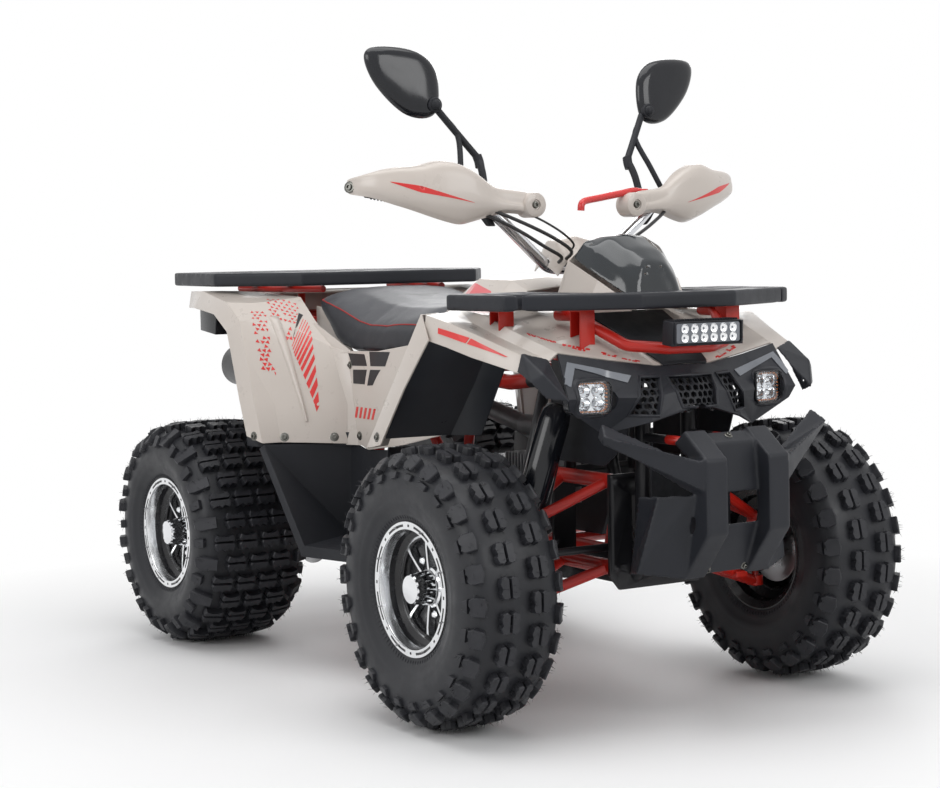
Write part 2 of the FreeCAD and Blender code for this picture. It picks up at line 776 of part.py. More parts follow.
def make_frame():
    """Two bent rails from tail to nose, tied by cross tubes, posts and the suspension plates."""
    pieces = []
    for shares, radius in ((RAIL_SHARES, S.rail_radius), (SEAT_POST_SHARES, S.strut_radius),
                           (TAIL_STRUT_SHARES, S.strut_radius), (ENGINE_POST_SHARES, S.strut_radius)):
        side = tube(row(*shares), radius)
        pieces += [side, mirrored(side)]
    ties = ((0.10, 0.31, 0.29), (0.60, 0.31, 0.29), (1.14, 0.139, 0.29),
            (1.235, 0.139, 0.68), (-0.64, 0.305, 0.812), (-1.23, 0.305, 0.834), (0.10, 0.29, 0.72),
            (0.26, 0.31, 0.29))
    for x, y, z in ties:
        pieces.append(rod(at(x, -y, z), at(x, y, z), S.strut_radius))
    for x_share in (-0.02, 0.22):
        end = at(x_share, -0.80, 0)
        tread = Vector(end.x, end.y, S.step_tube_height)
        pieces.append(rod(tread, Vector(end.x, -end.y, S.step_tube_height), S.step_tube_radius))
    # Suspension plates across the nose, with the bolts that the arms turn on
    for x_way in (-1, 1):
        x = axle_x("front") + S.spindle_radius + x_way * (S.suspension_half_length + S.seat_gap)
        half = S.bush_half_gap + S.bush_radius
        low, high = S.lower_bush_height - S.bush_radius * 3, S.upper_bush_height + S.bush_radius
        plate = prism([Vector(x, -half * 0.8, low), Vector(x, half * 0.8, low),
                       Vector(x, half, low + S.bush_radius * 2), Vector(x, half, high),
                       Vector(x, -half, high), Vector(x, -half, low + S.bush_radius * 2)],
                      Vector(x_way * S.suspension_plate_thickness, 0, 0))
        window = slab(Vector(x - S.overrun * 2, -half * 0.55, low + S.bush_radius * 4),
                      Vector(x + S.overrun * 2, half * 0.55, high - S.bush_radius * 3))
        pieces.append(plate.cut(window))
    for height in (S.lower_bush_height, S.upper_bush_height):
        for way in (-1, 1):
            rear, front = pivot_lines(height, way)
            end = Vector(S.suspension_plate_thickness + S.overrun, 0, 0)
            pieces.append(rod(rear - end, front + end, S.bush_bolt_radius))
    # Shock absorber cross tube with a fork at each end, and its struts to the nose
    top = front_shock_top()
    inner = Vector(0, S.shock_eye_radius * 1.4, 0)
    pieces.append(rod(top + inner, Vector(top.x, -top.y - inner.y, top.z), S.strut_radius))
    fork_half = S.shock_eye_length / 2 + S.seat_gap
    for x_way in (-1, 1):
        wall = Vector(x_way * S.suspension_plate_thickness, 0, 0)
        edge = top + Vector(x_way * fork_half, 0, 0)
        ear = prism([edge + Vector(0, y * S.shock_eye_radius, z * S.shock_eye_radius)
                     for y, z in ((-1, -0.6), (-1, 0.6), (-0.4, 1), (2.2, 1), (2.2, -1), (-0.4, -1))], wall)
        pieces += [ear, mirrored(ear)]
    across = Vector(fork_half + S.suspension_plate_thickness, 0, 0)
    pin = rod(top - across, top + across, S.shock_pin_radius)
    saddle = slab(top + Vector(-across.x, inner.y, -S.shock_eye_radius),
                  top + Vector(across.x, inner.y * 1.5, S.shock_eye_radius))
    pieces += [pin, mirrored(pin), saddle, mirrored(saddle)]
    for way in (-1, 1):
        end = Vector(top.x, way * (S.front_shock_top_half_gap - S.shock_eye_radius * 3), top.z)
        pieces.append(rod(end, at(0.90, way * 0.20, 0.723), S.strut_radius))
    for way in (-1, 1):
        plate_top = Vector(axle_x("front") + S.spindle_radius - S.suspension_half_length
                           - S.suspension_plate_thickness / 2, way * S.nose_half_gap * 1.4,
                           S.upper_bush_height)
        rail = at(0.90, way * 0.20, 0.723)
        pieces.append(rod(plate_top, rail, S.strut_radius))
    # Column bearings
    foot = column_foot()
    plate_reach = Vector(S.bearing_radius, S.nose_half_gap, S.lower_bearing_height / 2)
    low_plate = slab(foot - plate_reach, foot + plate_reach)
    mid = on_column(S.upper_bearing_place)
    run = column_axis() * (S.upper_bearing_length / 2)
    bearing = rod(mid - run, mid + run, S.bearing_radius)
    for way in (-1, 1):
        rail = at(0.72, way * 0.225, 0.712)
        pieces.append(rod(Vector(mid.x, 0, mid.z), rail, S.strut_radius))
    bore = rod(foot - column_axis() * S.bearing_radius * 2, on_column(S.column_length),
               S.column_radius + S.column_gap)
    # Bumper arms
    for z_share in (0.345, 0.60):
        for way in (-1, 1):
            pieces.append(strut_to("bumper", at(1.235, way * 0.139, z_share), Vector(1, 0, 0)))
    # Swing arm pivot ears and the rear shock absorber's mount
    pivot = Vector(S.swing_pivot_x, 0, S.swing_pivot_height)
    half = Vector(0, S.rail_half_gap, 0)
    pieces.append(rod(pivot - half, pivot + half, S.bush_bolt_radius))
    shock = rear_shock_top()
    for way in (-1, 1):
        ear = Vector(0, way * (S.shock_eye_length / 2 + S.seat_gap), 0)
        wall = Vector(0, way * S.suspension_plate_thickness, 0)
        pieces.append(prism([
            shock + ear + Vector(-S.shock_eye_radius, 0, -S.shock_eye_radius),
            shock + ear + Vector(S.shock_eye_radius, 0, -S.shock_eye_radius),
            shock + ear + Vector(S.shock_eye_radius, 0, S.shock_eye_radius * 3),
            shock + ear + Vector(-S.shock_eye_radius, 0, S.shock_eye_radius * 3)], wall))
    half = Vector(0, S.shock_eye_length / 2 + S.suspension_plate_thickness, 0)
    pieces.append(rod(shock - half, shock + half, S.shock_pin_radius))
    # Posts and pegs that carry the panels and the seat
    for name, x_share, y_share, z_share in POST_SHARES:
        for way in (-1, 1):
            pieces.append(strut_to(name, at(x_share, way * y_share, z_share), Vector(0, 0, 1)))
    for name, x_share, y_share, z_share in PEG_SHARES:
        for way in (-1, 1):
            pieces.append(strut_to(name, at(x_share, way * y_share, z_share), Vector(0, way, 0)))
    return feature("frame", fuse(pieces + [low_plate, bearing]).cut(bore))


# Front suspension

def arm_end(height, drop):
    """The centre of an arm's ball housing on the right-hand kingpin."""
    place = kingpin(-1)
    return Vector(place.x, place.y, height + drop)


def make_arms(name, bush_height, way_up):
    """A pair of A-arms: a bush along the frame, two legs and the ball housing with its pin."""
    rear, front = pivot_lines(bush_height, -1)
    inset = Vector(S.seat_gap, 0, 0)
    bush = rod(rear + inset, front - inset, S.bush_radius)
    pin_hole = rod(rear, front, S.bush_bolt_radius + S.seat_gap)
    post_end = axle_height("front") + way_up * (S.knuckle_half_height + S.ball_gap)
    ball = arm_end(post_end, 0)
    up = Vector(0, 0, way_up)
    housing = rod(ball, ball + up * S.ball_height, S.ball_radius)
    pin = rod(ball, ball - up * (S.ball_pin_length + S.ball_gap - S.ball_pin_gap * 2), S.ball_pin_radius)
    middle = ball + up * (S.ball_height * 0.7)
    legs = []
    for place in (rear, front):
        start = place + (front + rear - place * 2) * 0.08
        legs.append(rod(start, middle, S.arm_radius))
    pieces = [bush, housing, pin] + legs
    holes = [pin_hole]
    if way_up < 0:
        foot = front_shock_foot()
        along = (abs(foot.y) - S.bush_half_gap) / (abs(middle.y) - S.bush_half_gap)
        leg_height = bush_height + (middle.z - bush_height) * along
        lug_half = S.shock_eye_length / 2 + S.seat_gap
        across = Vector(lug_half + S.suspension_plate_thickness, 0, 0)
        reach = S.shock_eye_radius
        for side in (-1, 1):
            inner = foot + Vector(side * lug_half, 0, 0)
            wall = Vector(side * S.suspension_plate_thickness, 0, 0)
            pieces.append(prism([inner + Vector(0, -reach, reach * 0.7),
                                 inner + Vector(0, reach, reach * 0.7),
                                 Vector(inner.x, inner.y + reach * 1.3, leg_height),
                                 Vector(inner.x, inner.y - reach * 1.3, leg_height)], wall))
        spread = S.suspension_half_length * (1 - along) + S.arm_radius
        half = S.suspension_plate_thickness
        tie = slab(Vector(middle.x - spread * 0.8, foot.y - reach, leg_height - half),
                   Vector(middle.x + spread * 1.3, foot.y + reach, leg_height + half))
        pieces += [rod(foot - across, foot + across, S.shock_pin_radius), tie]
    arm = fuse(pieces).cut(holes).removeSplitter()
    return feature(name, both_sides(arm))


def front_shock_top():
    return Vector(axle_x("front") + S.shock_forward, -S.front_shock_top_half_gap, S.front_shock_top_height)


def front_shock_foot():
    return Vector(axle_x("front") + S.shock_forward, -S.front_shock_foot_half_gap, S.front_shock_foot_height)


def rear_shock_top():
    return at(-0.63, 0, 0.765)


def rear_shock_foot():
    return at(-0.80, 0, 0.40)


def damper(foot, top, eye_way):
    """Eyes, rod, body and the spring's outer shape as a ridged sleeve between its seats."""
    run = (top - foot)
    length = run.Length
    way = run.normalize()
    half = eye_way * (S.shock_eye_length / 2)
    eyes = [rod(end - half, end + half, S.shock_eye_radius) for end in (foot, top)]
    shaft = rod(foot, foot + way * length, S.shock_rod_radius)
    body = rod(foot + way * length * 0.45, top - way * S.shock_eye_radius * 2.4, S.shock_body_radius)
    seat_run = way * S.shock_rod_radius
    seats = [rod(foot + way * length * 0.10, foot + way * length * 0.10 + seat_run, S.shock_spring_radius),
             rod(foot + way * length * 0.82, foot + way * length * 0.82 + seat_run, S.shock_spring_radius)]
    spring_start = foot + way * length * 0.10
    spring = rod(spring_start, spring_start + way * length * 0.72, S.shock_spring_radius * 0.86)
    holes = [rod(end - half * 2, end + half * 2, S.shock_pin_radius + S.seat_gap) for end in (foot, top)]
    return fuse(eyes + [shaft, body, spring] + seats).cut(holes).removeSplitter()


def make_front_shocks():
    unit = damper(front_shock_foot(), front_shock_top(), Vector(1, 0, 0))
    return feature("front_shocks", both_sides(unit))


def make_rear_shock():
    return feature("rear_shock", damper(rear_shock_foot(), rear_shock_top(), Vector(0, 1, 0)))


def make_shock_guards():
    """Half-round plastic shields in front of the front springs."""
    foot, top = front_shock_foot(), front_shock_top()
    way = (top - foot).normalize()
    start = foot + way * S.shock_spring_radius * 6
    end = top - way * S.shock_spring_radius * 1.8
    outer = rod(start, end, S.shock_spring_radius + S.seat_gap + S.shock_guard_wall)
    inner = rod(start - way * S.overrun, end + way * S.overrun, S.shock_spring_radius + S.seat_gap)
    half = slab(Vector(foot.x - S.shock_spring_radius * 0.2, -S.body_half_width, 0),
                Vector(foot.x + S.shock_spring_radius * 2, 0, S.body_height))
    return feature("shock_guards", both_sides(outer.cut(inner).common(half)))


def make_swing_arm():
    """The carrier that holds the rear axle, on two tubes from the pivot."""
    axle = Vector(axle_x("rear"), 0, axle_height("rear"))
    pivot = Vector(S.swing_pivot_x, 0, S.swing_pivot_height)
    half = Vector(0, S.carrier_half_length, 0)
    pivot_half = Vector(0, S.swing_half_gap + S.swing_tube_radius, 0)
    pieces = [rod(axle - half, axle + half, S.carrier_radius),
              rod(pivot - pivot_half, pivot + pivot_half, S.swing_tube_radius * 1.4)]
    for way in (-1, 1):
        offset = Vector(0, way * S.swing_half_gap, 0)
        pieces.append(rod(pivot + offset, axle + offset, S.swing_tube_radius))
    foot = rear_shock_foot()
    lug_half = S.shock_eye_length / 2 + S.seat_gap
    reach = S.shock_eye_radius
    for way in (-1, 1):
        side = Vector(0, way * lug_half, 0)
        wall = Vector(0, way * S.suspension_plate_thickness, 0)
        pieces.append(prism([foot + side + Vector(-reach, 0, reach * 0.8),
                             foot + side + Vector(reach, 0, reach * 0.8),
                             foot + side + Vector(reach * 1.4, 0, -reach * 4.6),
                             foot + side + Vector(-reach * 1.4, 0, -reach * 5.2)], wall))
    tie_half = Vector(0, S.swing_half_gap, 0)
    line = axle - pivot
    tie = pivot + line * ((foot.x - pivot.x) / line.x)
    pieces.append(rod(tie - tie_half, tie + tie_half, S.swing_tube_radius * 0.8))
    pin_half = Vector(0, lug_half + S.suspension_plate_thickness, 0)
    pieces.append(rod(foot - pin_half, foot + pin_half, S.shock_pin_radius))
    bores = [rod(axle - half * 2, axle + half * 2, S.axle_radius + S.spindle_gap),
             rod(pivot - pivot_half * 2, pivot + pivot_half * 2, S.bush_bolt_radius + S.seat_gap)]
    return feature("swing_arm", fuse(pieces).cut(bores).removeSplitter())


def belt(radius_share=0.0):
    """The outline round both sprockets, at a distance outside them."""
    rear = Vector(axle_x("rear"), 0, axle_height("rear"))
    front = Vector(S.engine_sprocket_x, 0, S.engine_sprocket_height)
    big, small = S.sprocket_radius + radius_share, S.engine_sprocket_radius + radius_share
    span = front - rear
    length = math.hypot(span.x, span.z)
    lean = math.atan2(span.z, span.x)
    tilt = math.acos((big - small) / length)

    def rim(centre, radius, angle):
        return centre + Vector(radius * math.cos(angle), 0, radius * math.sin(angle))

    top_rear, top_front = rim(rear, big, lean + tilt), rim(front, small, lean + tilt)
    low_rear, low_front = rim(rear, big, lean - tilt), rim(front, small, lean - tilt)
    return Part.Wire([
        Part.makeLine(top_rear, top_front),
        Part.Arc(top_front, rim(front, small, lean), low_front).toShape(),
        Part.makeLine(low_front, low_rear),
        Part.Arc(low_rear, rim(rear, big, lean + math.pi), top_rear).toShape(),
    ])


def make_chain():
    """The drive chain as one flat loop round the sprockets."""
    gap = S.seat_gap
    ring = Part.Face(belt(gap + S.chain_height)).cut(Part.Face(belt(gap)))
    loop = ring.extrude(Vector(0, S.chain_width, 0))
    loop.translate(Vector(0, S.sprocket_place - S.chain_width / 2, 0))
    return feature("chain", loop)


# Engine and what goes with it

def make_engine():
    """Crankcase with side covers, finned barrel pointing forward, head and carburettor."""
    maker_place = Vector(S.crankcase_rear_x, -S.crankcase_half_width, S.crankcase_bottom)
    length, width, height = S.crankcase_length, S.crankcase_half_width * 2, S.crankcase_height
    case = prism([maker_place + Vector(x * length, 0, z * height) for x, z in
                  ((0, 0.25), (0.12, 0), (0.85, 0), (1, 0.3), (1, 0.95), (0.75, 1), (0.2, 0.9), (0, 0.7))],
                 Vector(0, width, 0))
    cover_axis = Vector(S.crankcase_rear_x + length * 0.42, 0, S.crankcase_bottom + height * 0.48)
    cover = rod(cover_axis - Vector(0, S.crankcase_half_width * 1.2, 0), cover_axis, height * 0.42)
    sprocket_axis = Vector(S.engine_sprocket_x, 0, S.engine_sprocket_height)
    output = rod(sprocket_axis, sprocket_axis + Vector(0, S.sprocket_place, 0), S.axle_radius * 0.7)
    sprocket = rod(sprocket_axis + Vector(0, S.sprocket_place - S.disc_thickness / 2, 0),
                   sprocket_axis + Vector(0, S.sprocket_place + S.disc_thickness / 2, 0),
                   S.engine_sprocket_radius)
    base = Vector(S.crankcase_rear_x + length, 0, S.cylinder_height)
    reach = S.fin_count * S.fin_pitch
    barrel = rod(base - Vector(S.overrun, 0, 0), base + Vector(reach, 0, 0), S.barrel_radius)
    fins = []
    half = S.fin_half_size
    for index in range(int(S.fin_count)):
        x = base.x + S.fin_pitch * (index + 1) - S.fin_thickness
        fins.append(slab(Vector(x, -half, base.z - half), Vector(x + S.fin_thickness, half, base.z + half)))
    head = slab(Vector(base.x + reach, -half * 0.8, base.z - half * 0.8),
                Vector(base.x + reach + S.head_length, half * 0.8, base.z + half * 0.8))
    mounts = []
    for x_share in (0.10, 0.26):
        tie = at(x_share, 0, 0.29)
        low = tie.z + S.strut_radius + S.seat_gap
        mounts.append(slab(Vector(tie.x - S.strut_radius, -half, low),
                           Vector(tie.x + S.strut_radius, half, S.crankcase_bottom + S.overrun)))
    return feature("engine", fuse([case, cover, output, sprocket, barrel, head] + mounts + fins))


def make_intake():
    """Carburettor above the barrel with its hose back to the airbox."""
    base = Vector(S.crankcase_rear_x + S.crankcase_length + S.fin_pitch * S.fin_count * 0.5, 0,
                  S.cylinder_height + S.fin_half_size + S.seat_gap)
    neck = rod(base, base + Vector(0, 0, S.fin_half_size * 0.9), S.exhaust_radius)
    body_start = base + Vector(S.exhaust_radius, 0, S.fin_half_size * 0.9)
    airbox_front = S.airbox_rear_x + S.airbox_length + S.seat_gap
    body = rod(body_start + Vector(S.exhaust_radius, 0, 0), body_start - Vector(S.exhaust_radius * 4, 0, 0),
               S.exhaust_radius * 1.6)
    hose_start = body_start - Vector(S.exhaust_radius * 4, 0, 0)
    inlet = Vector(airbox_front + S.exhaust_radius * 0.265, 0, S.airbox_bottom + S.airbox_height * 0.45)
    hose = rod(hose_start, inlet, S.exhaust_radius * 1.4)
    bowl_top = body_start - Vector(S.exhaust_radius, 0, 0)
    float_bowl = rod(bowl_top, bowl_top - Vector(0, 0, S.exhaust_radius * 2.6), S.exhaust_radius * 1.2)
    return feature("carburettor", fuse([neck, body, hose, float_bowl]))


def make_airbox():
    maker = BodyMaker("airbox", Placement(Vector(S.airbox_rear_x, 0, S.airbox_bottom), Rotation()))
    outline = [("0", "0 - airbox_half_width * 0.8"), ("airbox_length * 0.85", "0 - airbox_half_width"),
               ("airbox_length", "0 - airbox_half_width * 0.7"),
               ("airbox_length", "airbox_half_width * 0.7"),
               ("airbox_length * 0.85", "airbox_half_width"), ("0", "airbox_half_width * 0.8")]
    maker.add("Pad", maker.sketch("XY_Plane", [outline]), Length="airbox_height")
    return maker.body


EXHAUST_SHARES = ((0.58, 0.04, 0.4126), (0.58, 0.04, 0.355), (0.575, 0.36, 0.355), (0.40, 0.445, 0.375),
                  (-0.26, 0.43, 0.40), (-0.60, 0.44, 0.62), (-0.72, 0.478, 0.70), (-0.80, 0.478, 0.70))


def make_exhaust():
    """Header pipe from under the head, back along the right side to the silencer."""
    path = row(*EXHAUST_SHARES)
    pipe = tube(path, S.exhaust_radius)
    end = path[-1]
    y = -S.silencer_half_place
    z = end.z
    start = Vector(end.x, y, z)
    can = rod(start, start - Vector(S.silencer_length, 0, 0), S.silencer_radius)
    cone = Part.makeCone(S.exhaust_radius, S.silencer_radius, S.silencer_radius,
                         start + Vector(S.silencer_radius, 0, 0), Vector(-1, 0, 0))
    tail = rod(start - Vector(S.silencer_length, 0, 0),
               start - Vector(S.silencer_length + S.exhaust_radius * 2, 0, 0), S.exhaust_radius)
    return feature("exhaust", fuse([pipe, can, cone, tail]))


# Moulded body panels

HOOD_SHARES = (
    ((0.87, 0.0, 0.879), (1.0, 0.0, 0.8625), (1.14, 0.0, 0.83), (1.336, 0.0, 0.76)),
    ((0.864, 0.264, 0.8775), (1.0, 0.25, 0.861), (1.14, 0.217, 0.825), (1.336, 0.144, 0.7575)),
    ((0.69, 0.458, 0.875), (0.90, 0.478, 0.8675), (1.18, 0.444, 0.819), (1.326, 0.167, 0.7575)),
    ((0.69, 0.583, 0.870), (0.90, 0.589, 0.860), (1.15, 0.569, 0.810), (1.29, 0.403, 0.7725)),
    ((0.69, 0.694, 0.879), (0.88, 0.711, 0.865), (1.032, 0.70, 0.835), (1.25, 0.644, 0.790)),
    ((0.696, 0.764, 0.869), (0.88, 0.778, 0.850), (1.01, 0.756, 0.8225), (1.244, 0.689, 0.774)),
    ((0.79, 0.958, 0.8675), (0.92, 0.925, 0.849), (1.06, 0.867, 0.819), (1.212, 0.811, 0.7875)),
    ((0.788, 0.972, 0.816), (0.91, 0.95, 0.80), (1.03, 0.922, 0.781), (1.214, 0.833, 0.751)),
)
FENDER_STRIP_SHARES = (
    ((0.73, 0.83, 0.868), (0.56, 0.85, 0.714), (0.41, 0.87, 0.566)),
    ((0.77, 0.961, 0.8675), (0.60, 0.981, 0.716), (0.426, 1.0, 0.5635)),
    ((0.83, 0.975, 0.814), (0.68, 0.989, 0.705), (0.528, 1.003, 0.576)),
)
FENDER_TIP_SHARES = (
    ((1.244, 0.689, 0.778), (1.30, 0.70, 0.745), (1.36, 0.712, 0.684)),
    ((1.212, 0.811, 0.793), (1.33, 0.80, 0.750), (1.40, 0.725, 0.695)),
    ((1.214, 0.838, 0.753), (1.30, 0.85, 0.735), (1.345, 0.803, 0.700)),
)
STRIP_SHARES = (
    ((1.0, 0.0, 0.868), (1.14, 0.0, 0.836), (1.336, 0.0, 0.7675), (1.349, 0.0, 0.7600)),
    ((1.0, 0.245, 0.8665), (1.14, 0.212, 0.8305), (1.336, 0.140, 0.7645), (1.347, 0.130, 0.7575)),
)
LINER_SHARES = (
    ((0.80, 0.958, 0.810), (0.67, 0.972, 0.70), (0.535, 0.985, 0.578)),
    ((0.85, 0.60, 0.832), (0.69, 0.595, 0.70), (0.516, 0.590, 0.575)),
    ((0.92, 0.535, 0.830), (0.78, 0.53, 0.70), (0.65, 0.525, 0.578)),
)
REAR_FENDER_SHARES = (
    ((-0.244, 0.569, 0.5325), (-0.26, 0.569, 0.631), (-0.33, 0.575, 0.7625), (-0.48, 0.597, 0.835),
     (-0.60, 0.597, 0.8925), (-0.90, 0.589, 0.9025), (-1.31, 0.589, 0.9025)),
    ((-0.33, 0.778, 0.5375), (-0.36, 0.783, 0.631), (-0.444, 0.783, 0.7625), (-0.524, 0.778, 0.835),
     (-0.64, 0.772, 0.8825), (-0.94, 0.756, 0.9075), (-1.31, 0.75, 0.905)),
    ((-0.39, 0.894, 0.539), (-0.432, 0.90, 0.631), (-0.49, 0.90, 0.7625), (-0.545, 0.894, 0.835),
     (-0.66, 0.875, 0.880), (-0.95, 0.847, 0.909), (-1.30, 0.811, 0.905)),
    ((-0.402, 1.0, 0.539), (-0.452, 1.006, 0.631), (-0.524, 1.008, 0.7625), (-0.568, 1.006, 0.839),
     (-0.72, 0.978, 0.8825), (-1.0, 0.939, 0.909), (-1.27, 0.833, 0.906)),
    ((-0.49, 1.033, 0.554), (-0.54, 1.039, 0.645), (-0.60, 1.039, 0.75), (-0.645, 1.033, 0.81),
     (-0.80, 1.006, 0.852), (-1.03, 0.972, 0.866), (-1.28, 0.844, 0.8625)),
)
DECK_SHARES = (
    ((-0.90, 0.0, 0.9015), (-1.30, 0.0, 0.9015)),
    ((-0.90, 0.60, 0.9015), (-1.30, 0.60, 0.9015)),
)
TAIL_SHARES = (
    ((-1.308, 0.0, 0.903), (-1.30, 0.0, 0.83)),
    ((-1.308, 0.60, 0.903), (-1.30, 0.60, 0.83)),
    ((-1.30, 0.80, 0.903), (-1.29, 0.80, 0.86)),
)
SIDE_COVER_SHARES = (
    ((-0.316, 0.553, 0.760), (-0.04, 0.561, 0.765), (0.22, 0.533, 0.7875), (0.47, 0.458, 0.835)),
    ((-0.244, 0.553, 0.631), (-0.04, 0.564, 0.631), (0.22, 0.55, 0.65), (0.47, 0.50, 0.70)),
    ((-0.228, 0.553, 0.538), (-0.124, 0.556, 0.522), (0.14, 0.556, 0.545), (0.45, 0.517, 0.5875)),
)
TANK_SHARES = (
    ((0.12, 0.0, 0.890), (0.32, 0.0, 0.946), (0.524, 0.0, 0.940), (0.61, 0.0, 0.919)),
    ((0.12, 0.208, 0.8825), (0.32, 0.222, 0.9375), (0.524, 0.208, 0.934), (0.61, 0.194, 0.91)),
    ((0.12, 0.278, 0.8475), (0.32, 0.319, 0.89), (0.524, 0.311, 0.894), (0.61, 0.292, 0.875)),
    ((0.12, 0.40, 0.80), (0.32, 0.4505, 0.815), (0.524, 0.4505, 0.835), (0.62, 0.42, 0.84)),
)
COWL_SHARES = (
    ((0.904, 0.328, 0.8728), (1.06, 0.30, 0.866), (1.208, 0.172, 0.870)),
    ((0.948, 0.278, 0.979), (1.09, 0.244, 0.935), (1.212, 0.161, 0.8825)),
)
DASH_SHARES = (
    ((0.916, 0.0, 0.8785), (0.94, 0.0, 0.95), (0.956, 0.0, 1.02)),
    ((0.916, 0.20, 0.8785), (0.94, 0.19, 0.95), (0.956, 0.167, 1.018)),
    ((0.912, 0.324, 0.8745), (0.94, 0.299, 0.93), (0.952, 0.276, 0.979)),
)
VISOR_SHARES = (
    ((0.970, 0.0, 1.037), (1.02, 0.0, 1.037), (1.112, 0.0, 1.008), (1.176, 0.0, 0.975), (1.21, 0.0, 0.884)),
    ((0.970, 0.111, 1.034), (1.024, 0.111, 1.032), (1.12, 0.106, 1.0), (1.184, 0.083, 0.966),
     (1.211, 0.083, 0.884)),
    ((0.966, 0.217, 1.022), (1.03, 0.206, 1.008), (1.15, 0.156, 0.956), (1.20, 0.117, 0.93),
     (1.213, 0.122, 0.884)),
    ((0.956, 0.270, 0.983), (1.06, 0.247, 0.948), (1.17, 0.178, 0.902), (1.203, 0.145, 0.894),
     (1.215, 0.139, 0.884)),
)
FOOTWELL_SHARES = (
    ((-0.42, 1.008, 0.525), (-0.12, 0.983, 0.278), (0.31, 0.822, 0.278), (0.528, 0.97, 0.566)),
    ((-0.40, 0.992, 0.535), (-0.11, 0.972, 0.304), (0.30, 0.811, 0.304), (0.518, 0.958, 0.570)),
    ((-0.27, 0.55, 0.532), (-0.30, 0.542, 0.304), (0.33, 0.542, 0.304), (0.512, 0.585, 0.568)),
    ((-0.24, 0.54, 0.534), (-0.16, 0.533, 0.520), (0.30, 0.531, 0.54), (0.53, 0.528, 0.57)),
)


def right_rows(table):
    return [row(*line) for line in table]


def whole_panel(table, wall, flip=False):
    """A panel across the machine, from the table of its right half, whose first line is the middle."""
    half = sheet_panel(right_rows(table), wall, flip)
    return fuse([half, mirrored(half)])


def make_front_fender():
    """Hood and both fenders in one moulding, with the strips that run down behind the arches."""
    hood = whole_panel(HOOD_SHARES, S.panel_wall, not FLIPS["front_fender"])
    strip = sheet_panel(right_rows(FENDER_STRIP_SHARES), S.panel_wall, flip=FLIPS["fender_strip"])
    return feature("front_fender", fuse([hood, strip, mirrored(strip)]))


# Which side of each grid is the inner one
FLIPS = {
    "front_fender": True, "fender_strip": False, "tips": False, "strip": True, "liner": True,
    "rear_fender": True, "deck": False, "tail": False, "side_cover": False, "tank": True,
    "cowl": True, "dash": False, "visor": True, "footwell": True, "fascia": False,
}


def make_panel_pair(name, table, wall, flip, ground=None, way=None):
    right = sheet_panel(right_rows(table), wall, flip)
    if ground:
        right = settle(right, doc.getObject(ground).Shape, way)
    return feature(name, both_sides(right))


def make_rear_fender():
    """Both rear fenders, the deck between them behind the seat and the tail's edge."""
    wing = sheet_panel(right_rows(REAR_FENDER_SHARES), S.panel_wall, FLIPS["rear_fender"])
    deck = whole_panel(DECK_SHARES, S.panel_wall, not FLIPS["deck"])
    tail = whole_panel(TAIL_SHARES, S.panel_wall, not FLIPS["tail"])
    return feature("rear_fender", fuse([wing, mirrored(wing), deck, tail]))


def make_whole_panel(name, table, wall, flip):
    return feature(name, whole_panel(table, wall, not flip))


def make_dash_cowl():
    """Side cheeks and the face towards the rider, round the instruments."""
    cheek = sheet_panel(right_rows(COWL_SHARES), S.panel_wall, FLIPS["cowl"])
    face = whole_panel(DASH_SHARES, S.panel_wall, not FLIPS["dash"])
    return feature("dash_cowl", fuse([cheek, mirrored(cheek), face]))


# Seat sections: place along the body, half width, bottom, side top and crown
SEAT_SHARES = (
    (-0.60, 0.49, 0.866, 0.902, 0.909), (-0.47, 0.525, 0.825, 0.868, 0.880),
    (-0.30, 0.54, 0.770, 0.825, 0.842), (-0.06, 0.53, 0.770, 0.822, 0.840),
    (0.06, 0.43, 0.772, 0.838, 0.858), (0.11, 0.26, 0.80, 0.862, 0.880),
)


def make_seat():
    """The cushion as one plain block on its base, from the nose to the rack."""
    sections = []
    for x, half, low, side, crown in SEAT_SHARES:
        right = [at(x, -half * 0.86, low), at(x, -half, low + 0.012), at(x, -half, side - 0.012),
                 at(x, -half * 0.9, side), at(x, -half * 0.45, crown)]
        left = [Vector(p.x, -p.y, p.z) for p in reversed(right)]
        sections.append(right + left)
    return feature("seat", loft(sections))


# Fascia, lamps and bumper

FASCIA_SHARES = (
    ((1.348, 0.0, 0.753), (1.41, 0.0, 0.71), (1.43, 0.0, 0.672)),
    ((1.328, 0.161, 0.7525), (1.385, 0.235, 0.69), (1.40, 0.264, 0.64)),
    ((1.29, 0.405, 0.7675), (1.335, 0.486, 0.695), (1.30, 0.447, 0.618)),
    ((1.25, 0.647, 0.785), (1.34, 0.683, 0.695), (1.325, 0.66, 0.672)),
)


def lamp_centre(way):
    return at(1.288, way * 0.486, 0.689)


def rounded_slot(centre, half_width, half_height, run):
    """A rounded rectangle across the machine, drawn out along X."""
    radius = half_height * 0.85
    y, z = half_width - radius, half_height - radius
    rim = []
    places = [(y, -z), (y, z), (-y, z), (-y, -z)]
    for index, (py, pz) in enumerate(places):
        start = math.radians(-90 + 90 * index)
        arc = [Vector(centre.x, centre.y + py + radius * math.cos(start + math.radians(step)),
                      centre.z + pz + radius * math.sin(start + math.radians(step)))
               for step in (0, 30, 60, 90)]
        rim += arc
    return prism(rim, Vector(run, 0, 0))


def make_fascia():
    """The black face between hood and bumper, with its lamp holes."""
    skin = whole_panel(FASCIA_SHARES, S.fascia_wall, not FLIPS["fascia"])
    holes = []
    for way in (-1, 1):
        centre = lamp_centre(way) - Vector(S.lamp_depth * 1.5, 0, 0)
        holes.append(rounded_slot(centre, S.lamp_half_width + S.seat_gap, S.lamp_half_height + S.seat_gap,
                                  S.lamp_depth * 3))
    return feature("fascia", skin.cut(holes))


